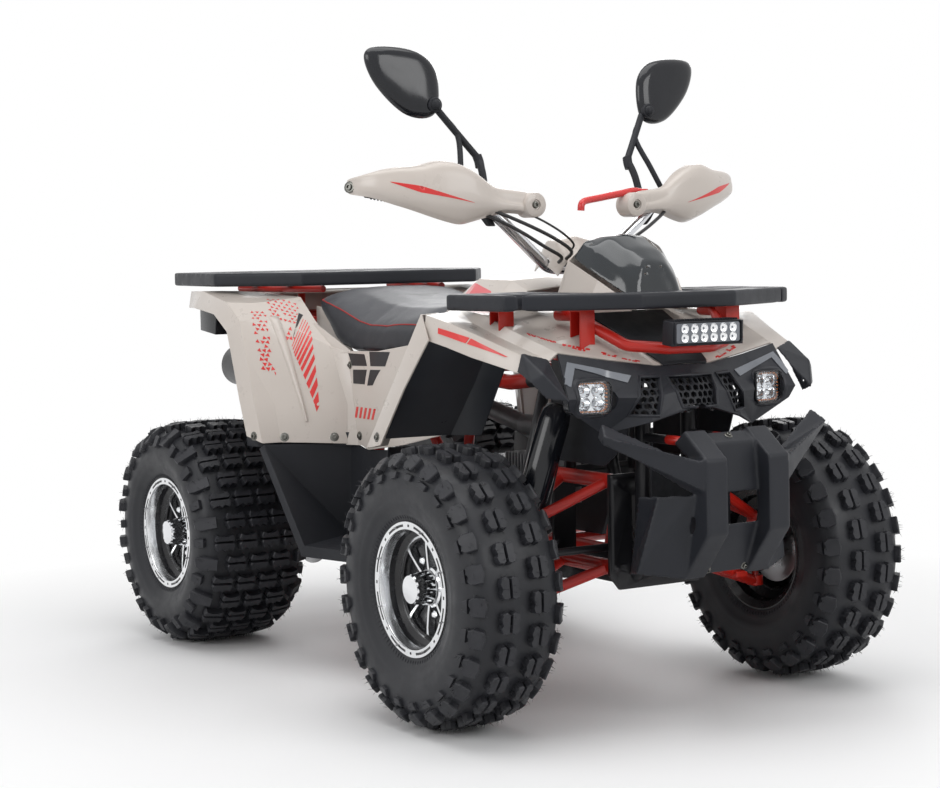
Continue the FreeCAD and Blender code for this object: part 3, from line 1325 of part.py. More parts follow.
def make_headlamps():
    lamps = []
    for way in (-1, 1):
        centre = lamp_centre(way)
        lamps.append(rounded_slot(Vector(centre.x - S.lamp_depth / 2, centre.y, centre.z),
                                  S.lamp_half_width, S.lamp_half_height, S.lamp_depth))
    return feature("headlamps", Part.Compound(lamps))


def make_light_bar():
    """A lamp box with a row of cooling fins on its back, its face leaning forward."""
    lean = Rotation(Vector(0, 1, 0), S.light_bar_lean)
    maker = BodyMaker("light_bar", Placement(at(1.437, 0, 0.826), lean))
    box = [("0 - light_bar_depth * 0.3", "0 - light_bar_height / 2"),
           ("light_bar_depth / 2", "0 - light_bar_height / 2"),
           ("light_bar_depth * 0.42", "light_bar_height / 2"),
           ("0 - light_bar_depth * 0.3", "light_bar_height / 2")]
    maker.add("Pad", maker.sketch("XZ_Plane", [box]), Length="light_bar_half_length * 2", Midplane=True)
    fin = [("0 - light_bar_depth / 2", "0 - light_bar_height * 0.4"),
           ("0 - light_bar_depth * 0.25", "0 - light_bar_height * 0.4"),
           ("0 - light_bar_depth * 0.25", "light_bar_height * 0.4"),
           ("0 - light_bar_depth / 2", "light_bar_height * 0.4")]
    for side in ("0", "1"):
        rib = maker.add("Pad", maker.sketch("XZ_Plane", [fin]), Length="light_bar_fin_thickness",
                        Reversed=side == "1")
        maker.row_of([rib], "Y_Axis", "light_bar_half_length * 0.94", "light_bar_fin_count", side == "1")
    return maker.body


BUMPER_BAR_SHARES = ((1.55, 0.319), (1.677, 0.421), (1.671, 0.5725), (1.554, 0.629), (1.498, 0.60),
                     (1.604, 0.558), (1.605, 0.431), (1.508, 0.335))
BUMPER_UPPER_SHARES = ((1.545, 0.622), (1.60, 0.602), (1.618, 0.50), (1.606, 0.498), (1.588, 0.595),
                       (1.538, 0.613))
BUMPER_LOWER_SHARES = ((1.61, 0.431), (1.545, 0.325), (1.533, 0.329), (1.597, 0.433))
BUMPER_WING_SHARES = (
    ((1.605, 0.24, 0.50), (1.515, 0.345, 0.495), (1.424, 0.36, 0.49)),
    ((1.552, 0.24, 0.322), (1.476, 0.435, 0.334), (1.376, 0.36, 0.3225)),
)
HORN_ROOT_SHARES = ((1.668, 0.235, 0.569), (1.66, 0.235, 0.506), (1.58, 0.235, 0.50), (1.588, 0.235, 0.565))
HORN_TIP_SHARES = ((1.522, 0.665, 0.628), (1.508, 0.66, 0.61), (1.438, 0.615, 0.62), (1.472, 0.628, 0.652))


def cross_section(shares, half_from, half_to):
    """An outline seen from the side, drawn out across the machine between two width shares."""
    outline = [at(x, half_from, z) for x, z in shares]
    return prism(outline, Vector(0, (half_to - half_from) * S.body_half_width, 0))


def make_bumper():
    """Two upright bars, cross panels between them, side wings and the horns above."""
    bar = cross_section(BUMPER_BAR_SHARES, -0.245, -0.123)
    upper = cross_section(BUMPER_UPPER_SHARES, -0.13, 0.13)
    lower = cross_section(BUMPER_LOWER_SHARES, -0.13, 0.13)
    wing = sheet_panel(right_rows(BUMPER_WING_SHARES), S.bumper_wall, flip=False)
    horn = loft([row(*HORN_ROOT_SHARES), row(*HORN_TIP_SHARES)])
    right = [bar, wing, horn]
    return feature("bumper", fuse(right + [mirrored(piece) for piece in right] + [upper, lower]))


def make_tail_lamps():
    """A housing under each corner of the tail."""
    outline = [at(x, -0.55, z) for x, z in ((-1.12, 0.875), (-1.285, 0.875), (-1.285, 0.80), (-1.14, 0.79))]
    return feature("tail_lamps", both_sides(prism(outline, Vector(0, -S.body_half_width * 0.22, 0))))


# Racks

def make_front_rack():
    """A flat rack round the dash, chamfered at its corners, with windows between its bars."""
    maker = BodyMaker("front_rack", Placement(Vector(0, 0, S.front_rack_bottom), Rotation()))
    half = "wheelbase / 2"

    def place(x, y):
        return "%g * %s" % (x, half), "%g * body_half_width" % y

    right = [(0.793, 0.375), (0.793, 0.822), (0.837, 0.883), (1.167, 0.861), (1.374, 0.278)]
    notch = [(1.22, 0.375)]
    outline = [place(x, -y) for x, y in right] + [place(x, y) for x, y in reversed(right)]
    outline += [place(x, y) for x, y in notch] + [place(x, -y) for x, y in notch]
    maker.add("Pad", maker.sketch("XY_Plane", [outline]), Length="rack_height")
    windows = []
    for way in (-1, 1):
        for rear, front in ((0.83, 0.93), (0.96, 1.06), (1.09, 1.19)):
            windows.append([place(rear, way * 0.43), place(front, way * 0.43), place(front, way * 0.60),
                            place(rear, way * 0.60)])
            windows.append([place(rear, way * 0.65), place(front, way * 0.65), place(front, way * 0.80),
                            place(rear, way * 0.80)])
        windows.append([place(1.255, way * 0.04), place(1.335, way * 0.04), place(1.335, way * 0.27),
                        place(1.255, way * 0.27)])
    maker.add("Pocket", maker.sketch("XY_Plane", windows), Length="rack_height", Reversed=True)
    return maker.body


REAR_RACK_SLOT_SHARES = ((-0.66, -0.82, 0.52), (-0.87, -1.05, 0.74), (-1.10, -1.26, 0.74),
                         (-1.31, -1.47, 0.52))


def make_rear_rack():
    maker = BodyMaker("rear_rack", Placement(Vector(0, 0, S.rear_rack_bottom), Rotation()))
    half = "wheelbase / 2"

    def place(x, y):
        return "%g * %s" % (x, half), "%g * body_half_width" % y

    right = [(-0.595, 0.586), (-0.92, 0.917), (-1.44, 0.833), (-1.535, 0.556)]
    outline = [place(x, -y) for x, y in right] + [place(x, y) for x, y in reversed(right)]
    maker.add("Pad", maker.sketch("XY_Plane", [outline]), Length="rack_height")
    windows = []
    for front, rear, outer in REAR_RACK_SLOT_SHARES:
        for inner, side in ((-outer, -0.29), (-0.25, -0.02), (0.02, 0.25), (0.29, outer)):
            windows.append([place(rear, inner), place(front, inner), place(front, side), place(rear, side)])
    maker.add("Pocket", maker.sketch("XY_Plane", windows), Length="rack_height", Reversed=True)
    return maker.body


def seated_post(x_share, y_share, top, ground):
    """An open channel from under a rack down to the panel that it stands on."""
    half = S.rack_bracket_width / 2
    head = at(x_share, -y_share, 0)
    low = S.body_height * 0.72
    outer = slab(Vector(head.x - half, head.y - half, low), Vector(head.x + half, head.y + half, top))
    inner = slab(Vector(head.x - half + S.rack_bracket_wall, head.y - half - S.overrun, low - S.overrun),
                 Vector(head.x + half - S.rack_bracket_wall, head.y + half - S.rack_bracket_wall,
                        top - S.rack_bracket_wall))
    channel = outer.cut(inner)
    raised = ground.translated(Vector(0, 0, S.seat_gap))
    pieces = channel.cut(raised).Solids
    return max(pieces, key=lambda piece: piece.BoundBox.ZMax)


HOOP_SHARES = ((1.13, 0.43, 0.857), (1.30, 0.30, 0.80), (1.372, 0.13, 0.7925))


def make_front_rack_frame():
    """Painted channels on the hood, and the hoop that dips under the rack's front edge."""
    ground = doc.getObject("front_fender").Shape
    top = S.front_rack_bottom - S.seat_gap
    posts = [seated_post(x, y, top, ground) for x, y in ((0.97, 0.69), (1.19, 0.44))]
    right = row(*HOOP_SHARES)
    right[0].z = top - S.rack_tube_radius
    path = right + [Vector(p.x, -p.y, p.z) for p in reversed(right)]
    start = right[0] - Vector(S.rack_bracket_width * 1.4, S.rack_bracket_width * 0.1, 0)
    path = [start] + path + [Vector(start.x, -start.y, start.z)]
    hoop = tube(path, S.rack_tube_radius)
    bracket = slab(Vector(right[-1].x - S.rack_tube_radius * 0.5, -S.rack_bracket_width / 2,
                          right[-1].z + S.rack_tube_radius * 0.3),
                   Vector(right[-1].x + S.rack_bracket_width * 1.2, S.rack_bracket_width / 2,
                          right[-1].z + S.rack_tube_radius * 0.3 + S.rack_bracket_wall))
    return feature("front_rack_frame", fuse([hoop, bracket] + posts + [mirrored(post) for post in posts]))


def make_rear_rack_frame():
    """Painted posts between the tail and the rack, joined by a tube on each side."""
    top = S.rear_rack_bottom - S.seat_gap
    right = [at(-0.66, -0.40, 0), at(-1.0, -0.52, 0), at(-1.25, -0.52, 0)]
    for place in right:
        place.z = top - S.rack_tube_radius * 0.7
    rail = tube(right, S.rack_tube_radius * 0.7)
    return feature("rear_rack_frame", both_sides(rail))


# Handlebar and what it carries

BAR_SHARES = ((0.684, 0.0, 0.960), (0.684, 0.139, 0.962), (0.70, 0.417, 1.065), (0.69, 0.53, 1.108),
              (0.55, 1.10, 1.144))


def bar_line():
    return row(*BAR_SHARES)


def bar_solid(radius):
    """A round bar of that radius along the handlebar's whole line."""
    right = bar_line()
    path = list(reversed(right)) + [Vector(p.x, -p.y, p.z) for p in right[1:]]
    return tube(path, radius, S.bar_radius * 4)


def make_handlebar():
    return feature("handlebar", bar_solid(S.bar_radius))


def grip_run():
    """The outer straight stretch of the right-hand side of the bar."""
    start, end = bar_line()[-2:]
    return start, end, (end - start).normalize()


def make_grips():
    start, end, way = grip_run()
    first = end - way * (S.grip_length + S.overrun)
    sleeve = rod(first, end - way * S.overrun, S.grip_radius)
    collar = rod(first, first + way * S.overrun, S.grip_radius * 1.3)
    bore = rod(start, end, S.bar_radius + S.seat_gap)
    return feature("grips", both_sides(fuse([sleeve, collar]).cut(bore)))


def make_controls():
    """Switch housings inboard of the grips, with the lever perches and the levers."""
    start, end, way = grip_run()
    inner = end - way * (S.grip_length + S.overrun + S.seat_gap)
    box = rod(inner - way * S.grip_radius * 2.4, inner, S.grip_radius * 1.25)
    perch = rod(inner - way * S.grip_radius * 4, inner - way * S.grip_radius * 2.4, S.grip_radius * 1.05)
    pivot = inner - way * S.grip_radius * 3.2 + Vector(S.grip_radius * 1.7, 0, -S.grip_radius * 0.2)
    arm = rod(inner - way * S.grip_radius * 3.2, pivot, S.grip_radius * 0.6)
    tip = pivot + way * (S.grip_length * 0.95) + Vector(S.grip_radius * 0.3, 0, 0)
    lever = tube([pivot, pivot + way * S.grip_radius * 1.6 + Vector(S.grip_radius * 0.5, 0, 0), tip],
                 S.mirror_stem_radius, S.grip_radius)
    bore = rod(start, end, S.bar_radius + S.seat_gap)
    whole = fuse([box, perch, arm, lever]).cut(bore)
    return feature("controls", both_sides(whole))


GUARD_SHARES = (
    ((0.76, 0.29, 1.128), (0.69, 0.556, 1.186), (0.63, 0.833, 1.205), (0.57, 1.10, 1.185),
     (0.53, 1.175, 1.155)),
    ((0.80, 0.29, 1.11), (0.775, 0.556, 1.135), (0.725, 0.833, 1.145), (0.655, 1.10, 1.145),
     (0.61, 1.20, 1.135)),
    ((0.80, 0.29, 1.095), (0.765, 0.556, 1.095), (0.72, 0.833, 1.09), (0.645, 1.10, 1.10),
     (0.60, 1.195, 1.11)),
    ((0.76, 0.29, 1.075), (0.715, 0.556, 1.060), (0.665, 0.833, 1.052), (0.60, 1.10, 1.066),
     (0.55, 1.17, 1.09)),
)


def make_handguards():
    """A moulded shield before each grip, held at the bar's end and by a stay near its bend."""
    shield = sheet_panel(right_rows(GUARD_SHARES), S.guard_wall, flip=True)
    start, end, way = grip_run()
    plug = rod(end + way * S.seat_gap, end + way * S.bar_radius * 1.6, S.bar_radius)
    tip = at(0.62, -1.18, 1.122)
    outer_stay = rod(end + way * S.bar_radius, tip, S.bar_radius * 0.7)
    clamp_centre = start - way * S.bar_radius * 0.2
    boss = at(0.79, -0.303, 1.10)
    stay = tube([boss - Vector(S.bar_radius * 0.4, 0, 0), clamp_centre + Vector(S.bar_radius * 2, 0, 0)],
                S.bar_radius * 0.6)
    ring = rod(clamp_centre - way * S.bar_radius * 0.8, clamp_centre + way * S.bar_radius * 0.8,
               S.bar_radius * 1.7)
    lug_start = clamp_centre + Vector(S.bar_radius * 1.3, 0, 0)
    lug = rod(lug_start, lug_start + Vector(S.bar_radius, 0, 0), S.bar_radius * 0.8)
    clamp = fuse([ring, lug, stay]).cut(bar_solid(S.bar_radius + S.seat_gap))
    return feature("handguards", both_sides(fuse([shield, plug, outer_stay, clamp])))


MIRROR_OUTLINE_SHARES = ((0.51, 0.64, 1.31), (0.50, 0.80, 1.305), (0.485, 0.97, 1.37), (0.475, 1.03, 1.44),
                         (0.48, 0.94, 1.462), (0.49, 0.72, 1.45), (0.50, 0.62, 1.40))


def make_mirrors():
    """A shaped head on a bent stem from each perch."""
    end, way = grip_run()[1:]
    foot = end - way * (S.grip_length + S.overrun + S.seat_gap + S.grip_radius * 3.2)
    elbow = at(0.594, -0.461, 1.211)
    neck = at(0.512, -0.66, 1.33)
    base = foot + Vector(0, 0, S.grip_radius * 1.3)
    stem = tube([base, elbow, neck], S.mirror_stem_radius, S.mirror_stem_radius * 2)
    rim = row(*MIRROR_OUTLINE_SHARES)
    centre = middle_of(rim)
    back = [centre + (place - centre) * 0.7 + Vector(S.mirror_depth, 0, 0) for place in rim]
    head = loft([rim, back])
    perch = doc.getObject("controls").Shape.Solids[0]
    return feature("mirrors", both_sides(settle(fuse([stem, head]), perch, Vector(0, 0, -1))))


BAR_COVER_SHARES = (
    ((0.60, 0.0, 1.00), (0.655, 0.0, 1.035), (0.72, 0.0, 1.03), (0.775, 0.0, 0.985)),
    ((0.60, 0.10, 0.99), (0.655, 0.11, 1.022), (0.72, 0.11, 1.018), (0.77, 0.10, 0.975)),
    ((0.61, 0.15, 0.95), (0.66, 0.165, 0.965), (0.72, 0.165, 0.96), (0.76, 0.15, 0.94)),
)


def make_bar_cover():
    """The moulded pad over the middle of the handlebar."""
    right = bar_line()[:3]
    path = [Vector(p.x, -p.y, p.z) for p in reversed(right)] + right[1:]
    room = tube(path, S.bar_radius + S.seat_gap)
    skin = whole_panel(BAR_COVER_SHARES, S.panel_wall, True)
    return feature("bar_cover", skin.cut(room))


# The whole machine

make_engine()
make_intake()
make_airbox()
make_exhaust()
make_arms("lower_arms", S.lower_bush_height, -1)
make_arms("upper_arms", S.upper_bush_height, 1)
make_front_shocks()
make_shock_guards()
make_swing_arm()
make_rear_shock()
make_chain()
make_front_fender()
make_panel_pair("fender_tips", FENDER_TIP_SHARES, S.panel_wall, FLIPS["tips"])
make_whole_panel("hood_strip", STRIP_SHARES, S.panel_wall, FLIPS["strip"])
make_panel_pair("front_liners", LINER_SHARES, S.liner_wall, FLIPS["liner"], "front_fender", UP)
make_rear_fender()
make_panel_pair("side_covers", SIDE_COVER_SHARES, S.panel_wall, FLIPS["side_cover"])
make_whole_panel("tank_cover", TANK_SHARES, S.panel_wall, FLIPS["tank"])
make_dash_cowl()
make_whole_panel("dash_visor", VISOR_SHARES, S.panel_wall, FLIPS["visor"])
make_panel_pair("footwells", FOOTWELL_SHARES, S.footwell_wall, FLIPS["footwell"])
make_seat()
make_fascia()
make_headlamps()
make_light_bar()
make_bumper()
make_tail_lamps()
make_front_rack()
make_rear_rack()
make_front_rack_frame()
make_rear_rack_frame()
make_steering_column()
make_handlebar()
make_grips()
make_controls()
make_handguards()
make_mirrors()
make_bar_cover()
make_frame()
for side in SIDES:
    make_knuckle(side)
    make_tie_rod(side)
    make_front_hub(side)
    for axle in AXLES:
        make_tyre(axle, side)
        make_rim(axle, side)
make_rear_axle()
doc.recompute()

parts = [item for item in doc.Objects if item.TypeId in ("Part::Feature", "PartDesign::Body")]
for part in parts:
    part.Placement = Placement(Vector(-S.origin_forward, 0, 0), Rotation()) * part.Placement
doc.recompute()
for item in doc.Objects:
    if "Invalid" in item.State or "Error" in item.State:
        raise RuntimeError("%s failed: %s" % (item.Label, item.State))
unsound = [part.Label for part in parts if part.Shape.isNull() or not part.Shape.isValid()]
if unsound:
    raise RuntimeError("These sub-parts have no valid shape: %s" % ", ".join(unsound))
os.makedirs("parts", exist_ok=True)
for part in parts:
    part.Shape.exportStep("parts/%s.step" % part.Label)
print("%d sub-parts" % len(parts))
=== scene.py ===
"""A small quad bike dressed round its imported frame: knobbly tyres, machined rims, moulded panels and a padded seat."""

from __future__ import annotations

import json
import logging
import math
import random
from dataclasses import dataclass
from enum import Enum
from typing import Callable, Iterable, Sequence

import bmesh
import bpy
from mathutils import Matrix, Vector
from mathutils.bvhtree import BVHTree

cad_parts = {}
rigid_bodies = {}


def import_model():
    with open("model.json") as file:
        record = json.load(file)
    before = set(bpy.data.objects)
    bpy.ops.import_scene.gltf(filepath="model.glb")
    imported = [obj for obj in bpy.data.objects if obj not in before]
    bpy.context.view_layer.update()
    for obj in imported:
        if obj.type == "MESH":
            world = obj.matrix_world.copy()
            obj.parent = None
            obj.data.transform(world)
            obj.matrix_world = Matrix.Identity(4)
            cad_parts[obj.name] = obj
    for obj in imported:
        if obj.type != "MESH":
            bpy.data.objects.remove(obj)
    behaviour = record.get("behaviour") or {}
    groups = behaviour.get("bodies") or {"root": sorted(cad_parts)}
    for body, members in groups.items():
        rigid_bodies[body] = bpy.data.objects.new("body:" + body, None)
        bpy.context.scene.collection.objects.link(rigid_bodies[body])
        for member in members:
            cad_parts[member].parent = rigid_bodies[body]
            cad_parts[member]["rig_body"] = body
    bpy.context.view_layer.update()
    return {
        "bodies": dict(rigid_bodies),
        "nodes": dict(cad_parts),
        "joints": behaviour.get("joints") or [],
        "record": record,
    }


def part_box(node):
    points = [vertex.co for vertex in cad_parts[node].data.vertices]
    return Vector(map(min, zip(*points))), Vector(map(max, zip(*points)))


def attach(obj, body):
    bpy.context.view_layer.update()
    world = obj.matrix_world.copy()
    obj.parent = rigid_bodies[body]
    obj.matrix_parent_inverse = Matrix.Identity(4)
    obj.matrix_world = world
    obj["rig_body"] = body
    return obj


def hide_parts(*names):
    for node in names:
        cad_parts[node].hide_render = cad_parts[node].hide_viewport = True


logging.basicConfig(level=logging.INFO, format="%(message)s")
LOG = logging.getLogger("quad")

Colour = tuple[float, float, float]
Point = tuple[float, float, float]
Flat = tuple[float, float]

SIDES: dict[str, int] = {"right": -1, "left": 1}
MILLIMETRE = 0.001
WELD = 2e-5
TINY = 1e-6
QUARTER = math.pi / 2
WHITE = (1.0, 1.0, 1.0, 1.0)
FULL: Flat = (0.0, 1.0)
ALONG_X = Matrix.Rotation(-QUARTER, 4, "Z")


# Shader trees


class Graph:
    """Short ways to add nodes to one shader tree."""

    def __init__(self, tree: bpy.types.NodeTree) -> None:
        """Keeps the tree that the nodes go into."""
        self.tree = tree

    def put(self, socket: bpy.types.NodeSocket, value: object) -> None:
        """Links a socket to the input, or sets the input's own value."""
        if isinstance(value, bpy.types.NodeSocket):
            self.tree.links.new(value, socket)
        else:
            socket.default_value = value

    def fill(self, node: bpy.types.Node, values: dict[str, object]) -> None:
        """Puts a value or a socket into each named input of a node."""
        for name, value in values.items():
            self.put(node.inputs[name], value)

    def add(self, kind: str, values: dict[str, object] | None = None, **settings: object) -> bpy.types.Node:
        """Adds a node.

        Args:
            kind: Blender's name for the node type.
            values: Input names with a value or a socket each.
            settings: Attributes of the node itself.

        Returns:
            The new node.
        """
        node = self.tree.nodes.new(kind)
        for name, value in settings.items():
            setattr(node, name, value)
        self.fill(node, values or {})
        return node

    def sum(self, operation: str, *values: object) -> bpy.types.NodeSocket:
        """Adds a Math node over the values and returns its output."""
        node = self.tree.nodes.new("ShaderNodeMath")
        node.operation = operation
        for socket, value in zip(node.inputs, values):
            self.put(socket, value)
        return node.outputs[0]

    def blend(self, factor: object, first: object, second: object) -> bpy.types.NodeSocket:
        """Mixes two colours by a factor and returns the mixed colour."""
        node = self.tree.nodes.new("ShaderNodeMix")
        node.data_type = "RGBA"
        self.put(node.inputs[0], factor)
        self.put(node.inputs[6], first if isinstance(first, bpy.types.NodeSocket) else (*first, 1.0))
        self.put(node.inputs[7], second if isinstance(second, bpy.types.NodeSocket) else (*second, 1.0))
        return node.outputs[2]

    def spread(self, value: bpy.types.NodeSocket, span: Flat, result: Flat) -> bpy.types.NodeSocket:
        """Maps a value from one range onto another, clamped."""
        node = self.add("ShaderNodeMapRange", {"Value": value, "From Min": span[0], "From Max": span[1],
                                               "To Min": result[0], "To Max": result[1]})
        return node.outputs[0]

    def noise(self, place: object, scale: object, detail: float = 3.0, rough: float = 0.55) -> bpy.types.NodeSocket:
        """A Noise texture's value at that many features to the metre."""
        node = self.add("ShaderNodeTexNoise", {"Vector": place, "Scale": scale, "Detail": detail,
                                               "Roughness": rough})
        return node.outputs[0]


def shader_group(name: str, inputs: dict[str, float], outputs: Sequence[str]) -> tuple[Graph, dict, bpy.types.Node]:
    """An empty shader group with float inputs and outputs.

    Args:
        name: The group's name.
        inputs: Input names and their defaults.
        outputs: Output names.

    Returns:
        The group's graph, its input sockets by name and its output node.
    """
    tree = bpy.data.node_groups.new(name, "ShaderNodeTree")
    tree.interface.new_socket("Place", in_out="INPUT", socket_type="NodeSocketVector")
    for label, value in inputs.items():
        socket = tree.interface.new_socket(label, in_out="INPUT", socket_type="NodeSocketFloat")
        socket.default_value = value
    for label in outputs:
        tree.interface.new_socket(label, in_out="OUTPUT", socket_type="NodeSocketFloat")
    graph = Graph(tree)
    source = graph.add("NodeGroupInput")
    return graph, {socket.name: socket for socket in source.outputs}, graph.add("NodeGroupOutput")


def grain_group() -> bpy.types.NodeTree:
    """Fine moulded grain with slow clouds and smudges over it."""
    graph, given, out = shader_group("moulded_grain", {"Grains": 900.0, "Clouds": 7.0}, ("Height", "Cloud", "Smudge"))
    place = given["Place"]
    fine = graph.noise(place, given["Grains"], 2.0, 0.6)
    pits = graph.add("ShaderNodeTexVoronoi", {"Vector": place, "Scale": given["Grains"]})
    height = graph.sum("ADD", graph.sum("MULTIPLY", fine, 0.6), graph.sum("MULTIPLY", pits.outputs[0], 0.5))
    smudge = graph.noise(place, graph.sum("MULTIPLY", given["Clouds"], 4.5), 4.0, 0.65)
    graph.fill(out, {"Height": height, "Cloud": graph.noise(place, given["Clouds"], 3.0), "Smudge": smudge})
    return graph.tree


def rubbed_and_highlit_edges_group() -> bpy.types.NodeTree:
    """Where edges stand proud: they are lighter there, partly from rubbing and partly as a painted highlight."""
    graph, given, out = shader_group("rubbed_edges_and_painted_highlight", {"Amount": 0.3}, ("Mask",))
    shape = graph.add("ShaderNodeNewGeometry")
    proud = graph.spread(shape.outputs["Pointiness"], (0.52, 0.62), FULL)
    patch = graph.spread(graph.noise(given["Place"], 38.0, 4.0, 0.7), (0.35, 0.65), (0.2, 1.0))
    graph.fill(out, {"Mask": graph.sum("MULTIPLY", graph.sum("MULTIPLY", proud, patch), given["Amount"])})
    return graph.tree


def dust_group() -> bpy.types.NodeTree:
    """Specks and a film of dust gathered in patches."""
    graph, given, out = shader_group("dust_film", {"Amount": 0.2, "Specks": 260.0}, ("Mask",))
    film = graph.spread(graph.noise(given["Place"], 9.0, 5.0, 0.7), (0.42, 0.75), FULL)
    specks = graph.spread(graph.noise(given["Place"], given["Specks"], 2.0, 0.5), (0.66, 0.74), FULL)
    both = graph.sum("ADD", graph.sum("MULTIPLY", film, 0.7), specks)
    graph.fill(out, {"Mask": graph.sum("MULTIPLY", both, given["Amount"])})
    return graph.tree


def start_material(name: str) -> tuple[bpy.types.Material, Graph, bpy.types.Node, bpy.types.NodeSocket]:
    """A new material with its graph, its shader and the place on the piece."""
    material = bpy.data.materials.new(name)
    material.use_nodes = True
    graph = Graph(material.node_tree)
    place = graph.add("ShaderNodeTexCoord").outputs["Object"]
    return material, graph, material.node_tree.nodes["Principled BSDF"], place


class Lay(Enum):
    """How a finish's fine texture runs."""

    EVEN = (1.0, 1.0, 1.0)
    BRUSHED_ROUND = (1.0, 0.04, 1.0)
    BRUSHED_ALONG = (0.06, 1.0, 1.0)


@dataclass(frozen=True)
class Finish:
    """One finish: its colours, gloss, fine grain, dust, and proud edges lightened partly by rubbing and partly by a
    painted highlight.
    """

    name: str
    colour: Colour
    cloud: Colour
    roughness: float
    gloss_spread: float = 0.08
    metallic: float = 0.0
    coat: float = 0.0
    coat_roughness: float = 0.06
    grains: float = 900.0
    depth: float = 0.00005
    # How much proud edges are lightened, and the colour they take: partly rubbing, partly a painted highlight.
    edge_rub_and_highlight: float = 0.25
    edge_rub_and_highlight_colour: Colour = (0.3, 0.3, 0.3)
    dust: float = 0.04
    dusty: Colour = (0.30, 0.27, 0.24)
    sheen: float = 0.0
    specular: float = 0.5
    lay: Lay = Lay.EVEN

    def build(self, shop: "Paintshop") -> bpy.types.Material:
        """Builds the material with the shop's shared groups.

        Args:
            shop: The holder of the shader groups.

        Returns:
            The finished material.
        """
        material, graph, shader, place = start_material(self.name)
        if self.lay is not Lay.EVEN:
            place = graph.add("ShaderNodeMapping", {"Vector": place, "Scale": self.lay.value}).outputs[0]
        grain = graph.add("ShaderNodeGroup", {"Place": place, "Grains": self.grains}, node_tree=shop.grain)
        edge_rub_and_highlight = graph.add("ShaderNodeGroup", {"Place": place, "Amount": self.edge_rub_and_highlight}, node_tree=shop.edge_rub_and_highlight)
        dust = graph.add("ShaderNodeGroup", {"Place": place, "Amount": self.dust}, node_tree=shop.dust)
        colour = graph.blend(graph.spread(grain.outputs["Cloud"], (0.3, 0.7), FULL), self.colour, self.cloud)
        # Proud edges are lightened here: partly rubbing, partly a painted highlight.
        colour = graph.blend(edge_rub_and_highlight.outputs["Mask"], colour, self.edge_rub_and_highlight_colour)
        colour = graph.blend(dust.outputs["Mask"], colour, self.dusty)
        low, high = self.roughness - self.gloss_spread, self.roughness + self.gloss_spread
        gloss = graph.spread(grain.outputs["Smudge"], (0.25, 0.75), (low, high))
        gloss = graph.sum("ADD", gloss, graph.sum("MULTIPLY", dust.outputs["Mask"], 0.4))
        bump = graph.add("ShaderNodeBump", {"Strength": 0.6, "Distance": self.depth,
                                            "Height": grain.outputs["Height"]})
        graph.fill(shader, {"Base Color": colour, "Roughness": gloss, "Normal": bump.outputs[0],
                            "Metallic": self.metallic, "Coat Weight": self.coat,
                            "Coat Roughness": self.coat_roughness, "Sheen Weight": self.sheen,
                            "Specular IOR Level": self.specular})
        return material


@dataclass(frozen=True)
class Glass:
    """A clear or tinted moulded lens."""

    name: str
    tint: Colour
    roughness: float = 0.03
    refraction: float = 1.45
    ripples: float = 300.0

    def build(self, shop: "Paintshop") -> bpy.types.Material:
        """Builds the lens material, with faint moulding ripples."""
        material, graph, shader, place = start_material(self.name)
        grain = graph.add("ShaderNodeGroup", {"Place": place, "Grains": self.ripples}, node_tree=shop.grain)
        shade = graph.blend(grain.outputs["Cloud"], self.tint, tuple(0.93 * part for part in self.tint))
        bump = graph.add("ShaderNodeBump", {"Strength": 0.3, "Distance": 0.00003, "Height": grain.outputs["Height"]})
        graph.fill(shader, {"Base Color": shade, "Normal": bump.outputs[0], "Roughness": self.roughness,
                            "Transmission Weight": 1.0, "IOR": self.refraction})
        return material


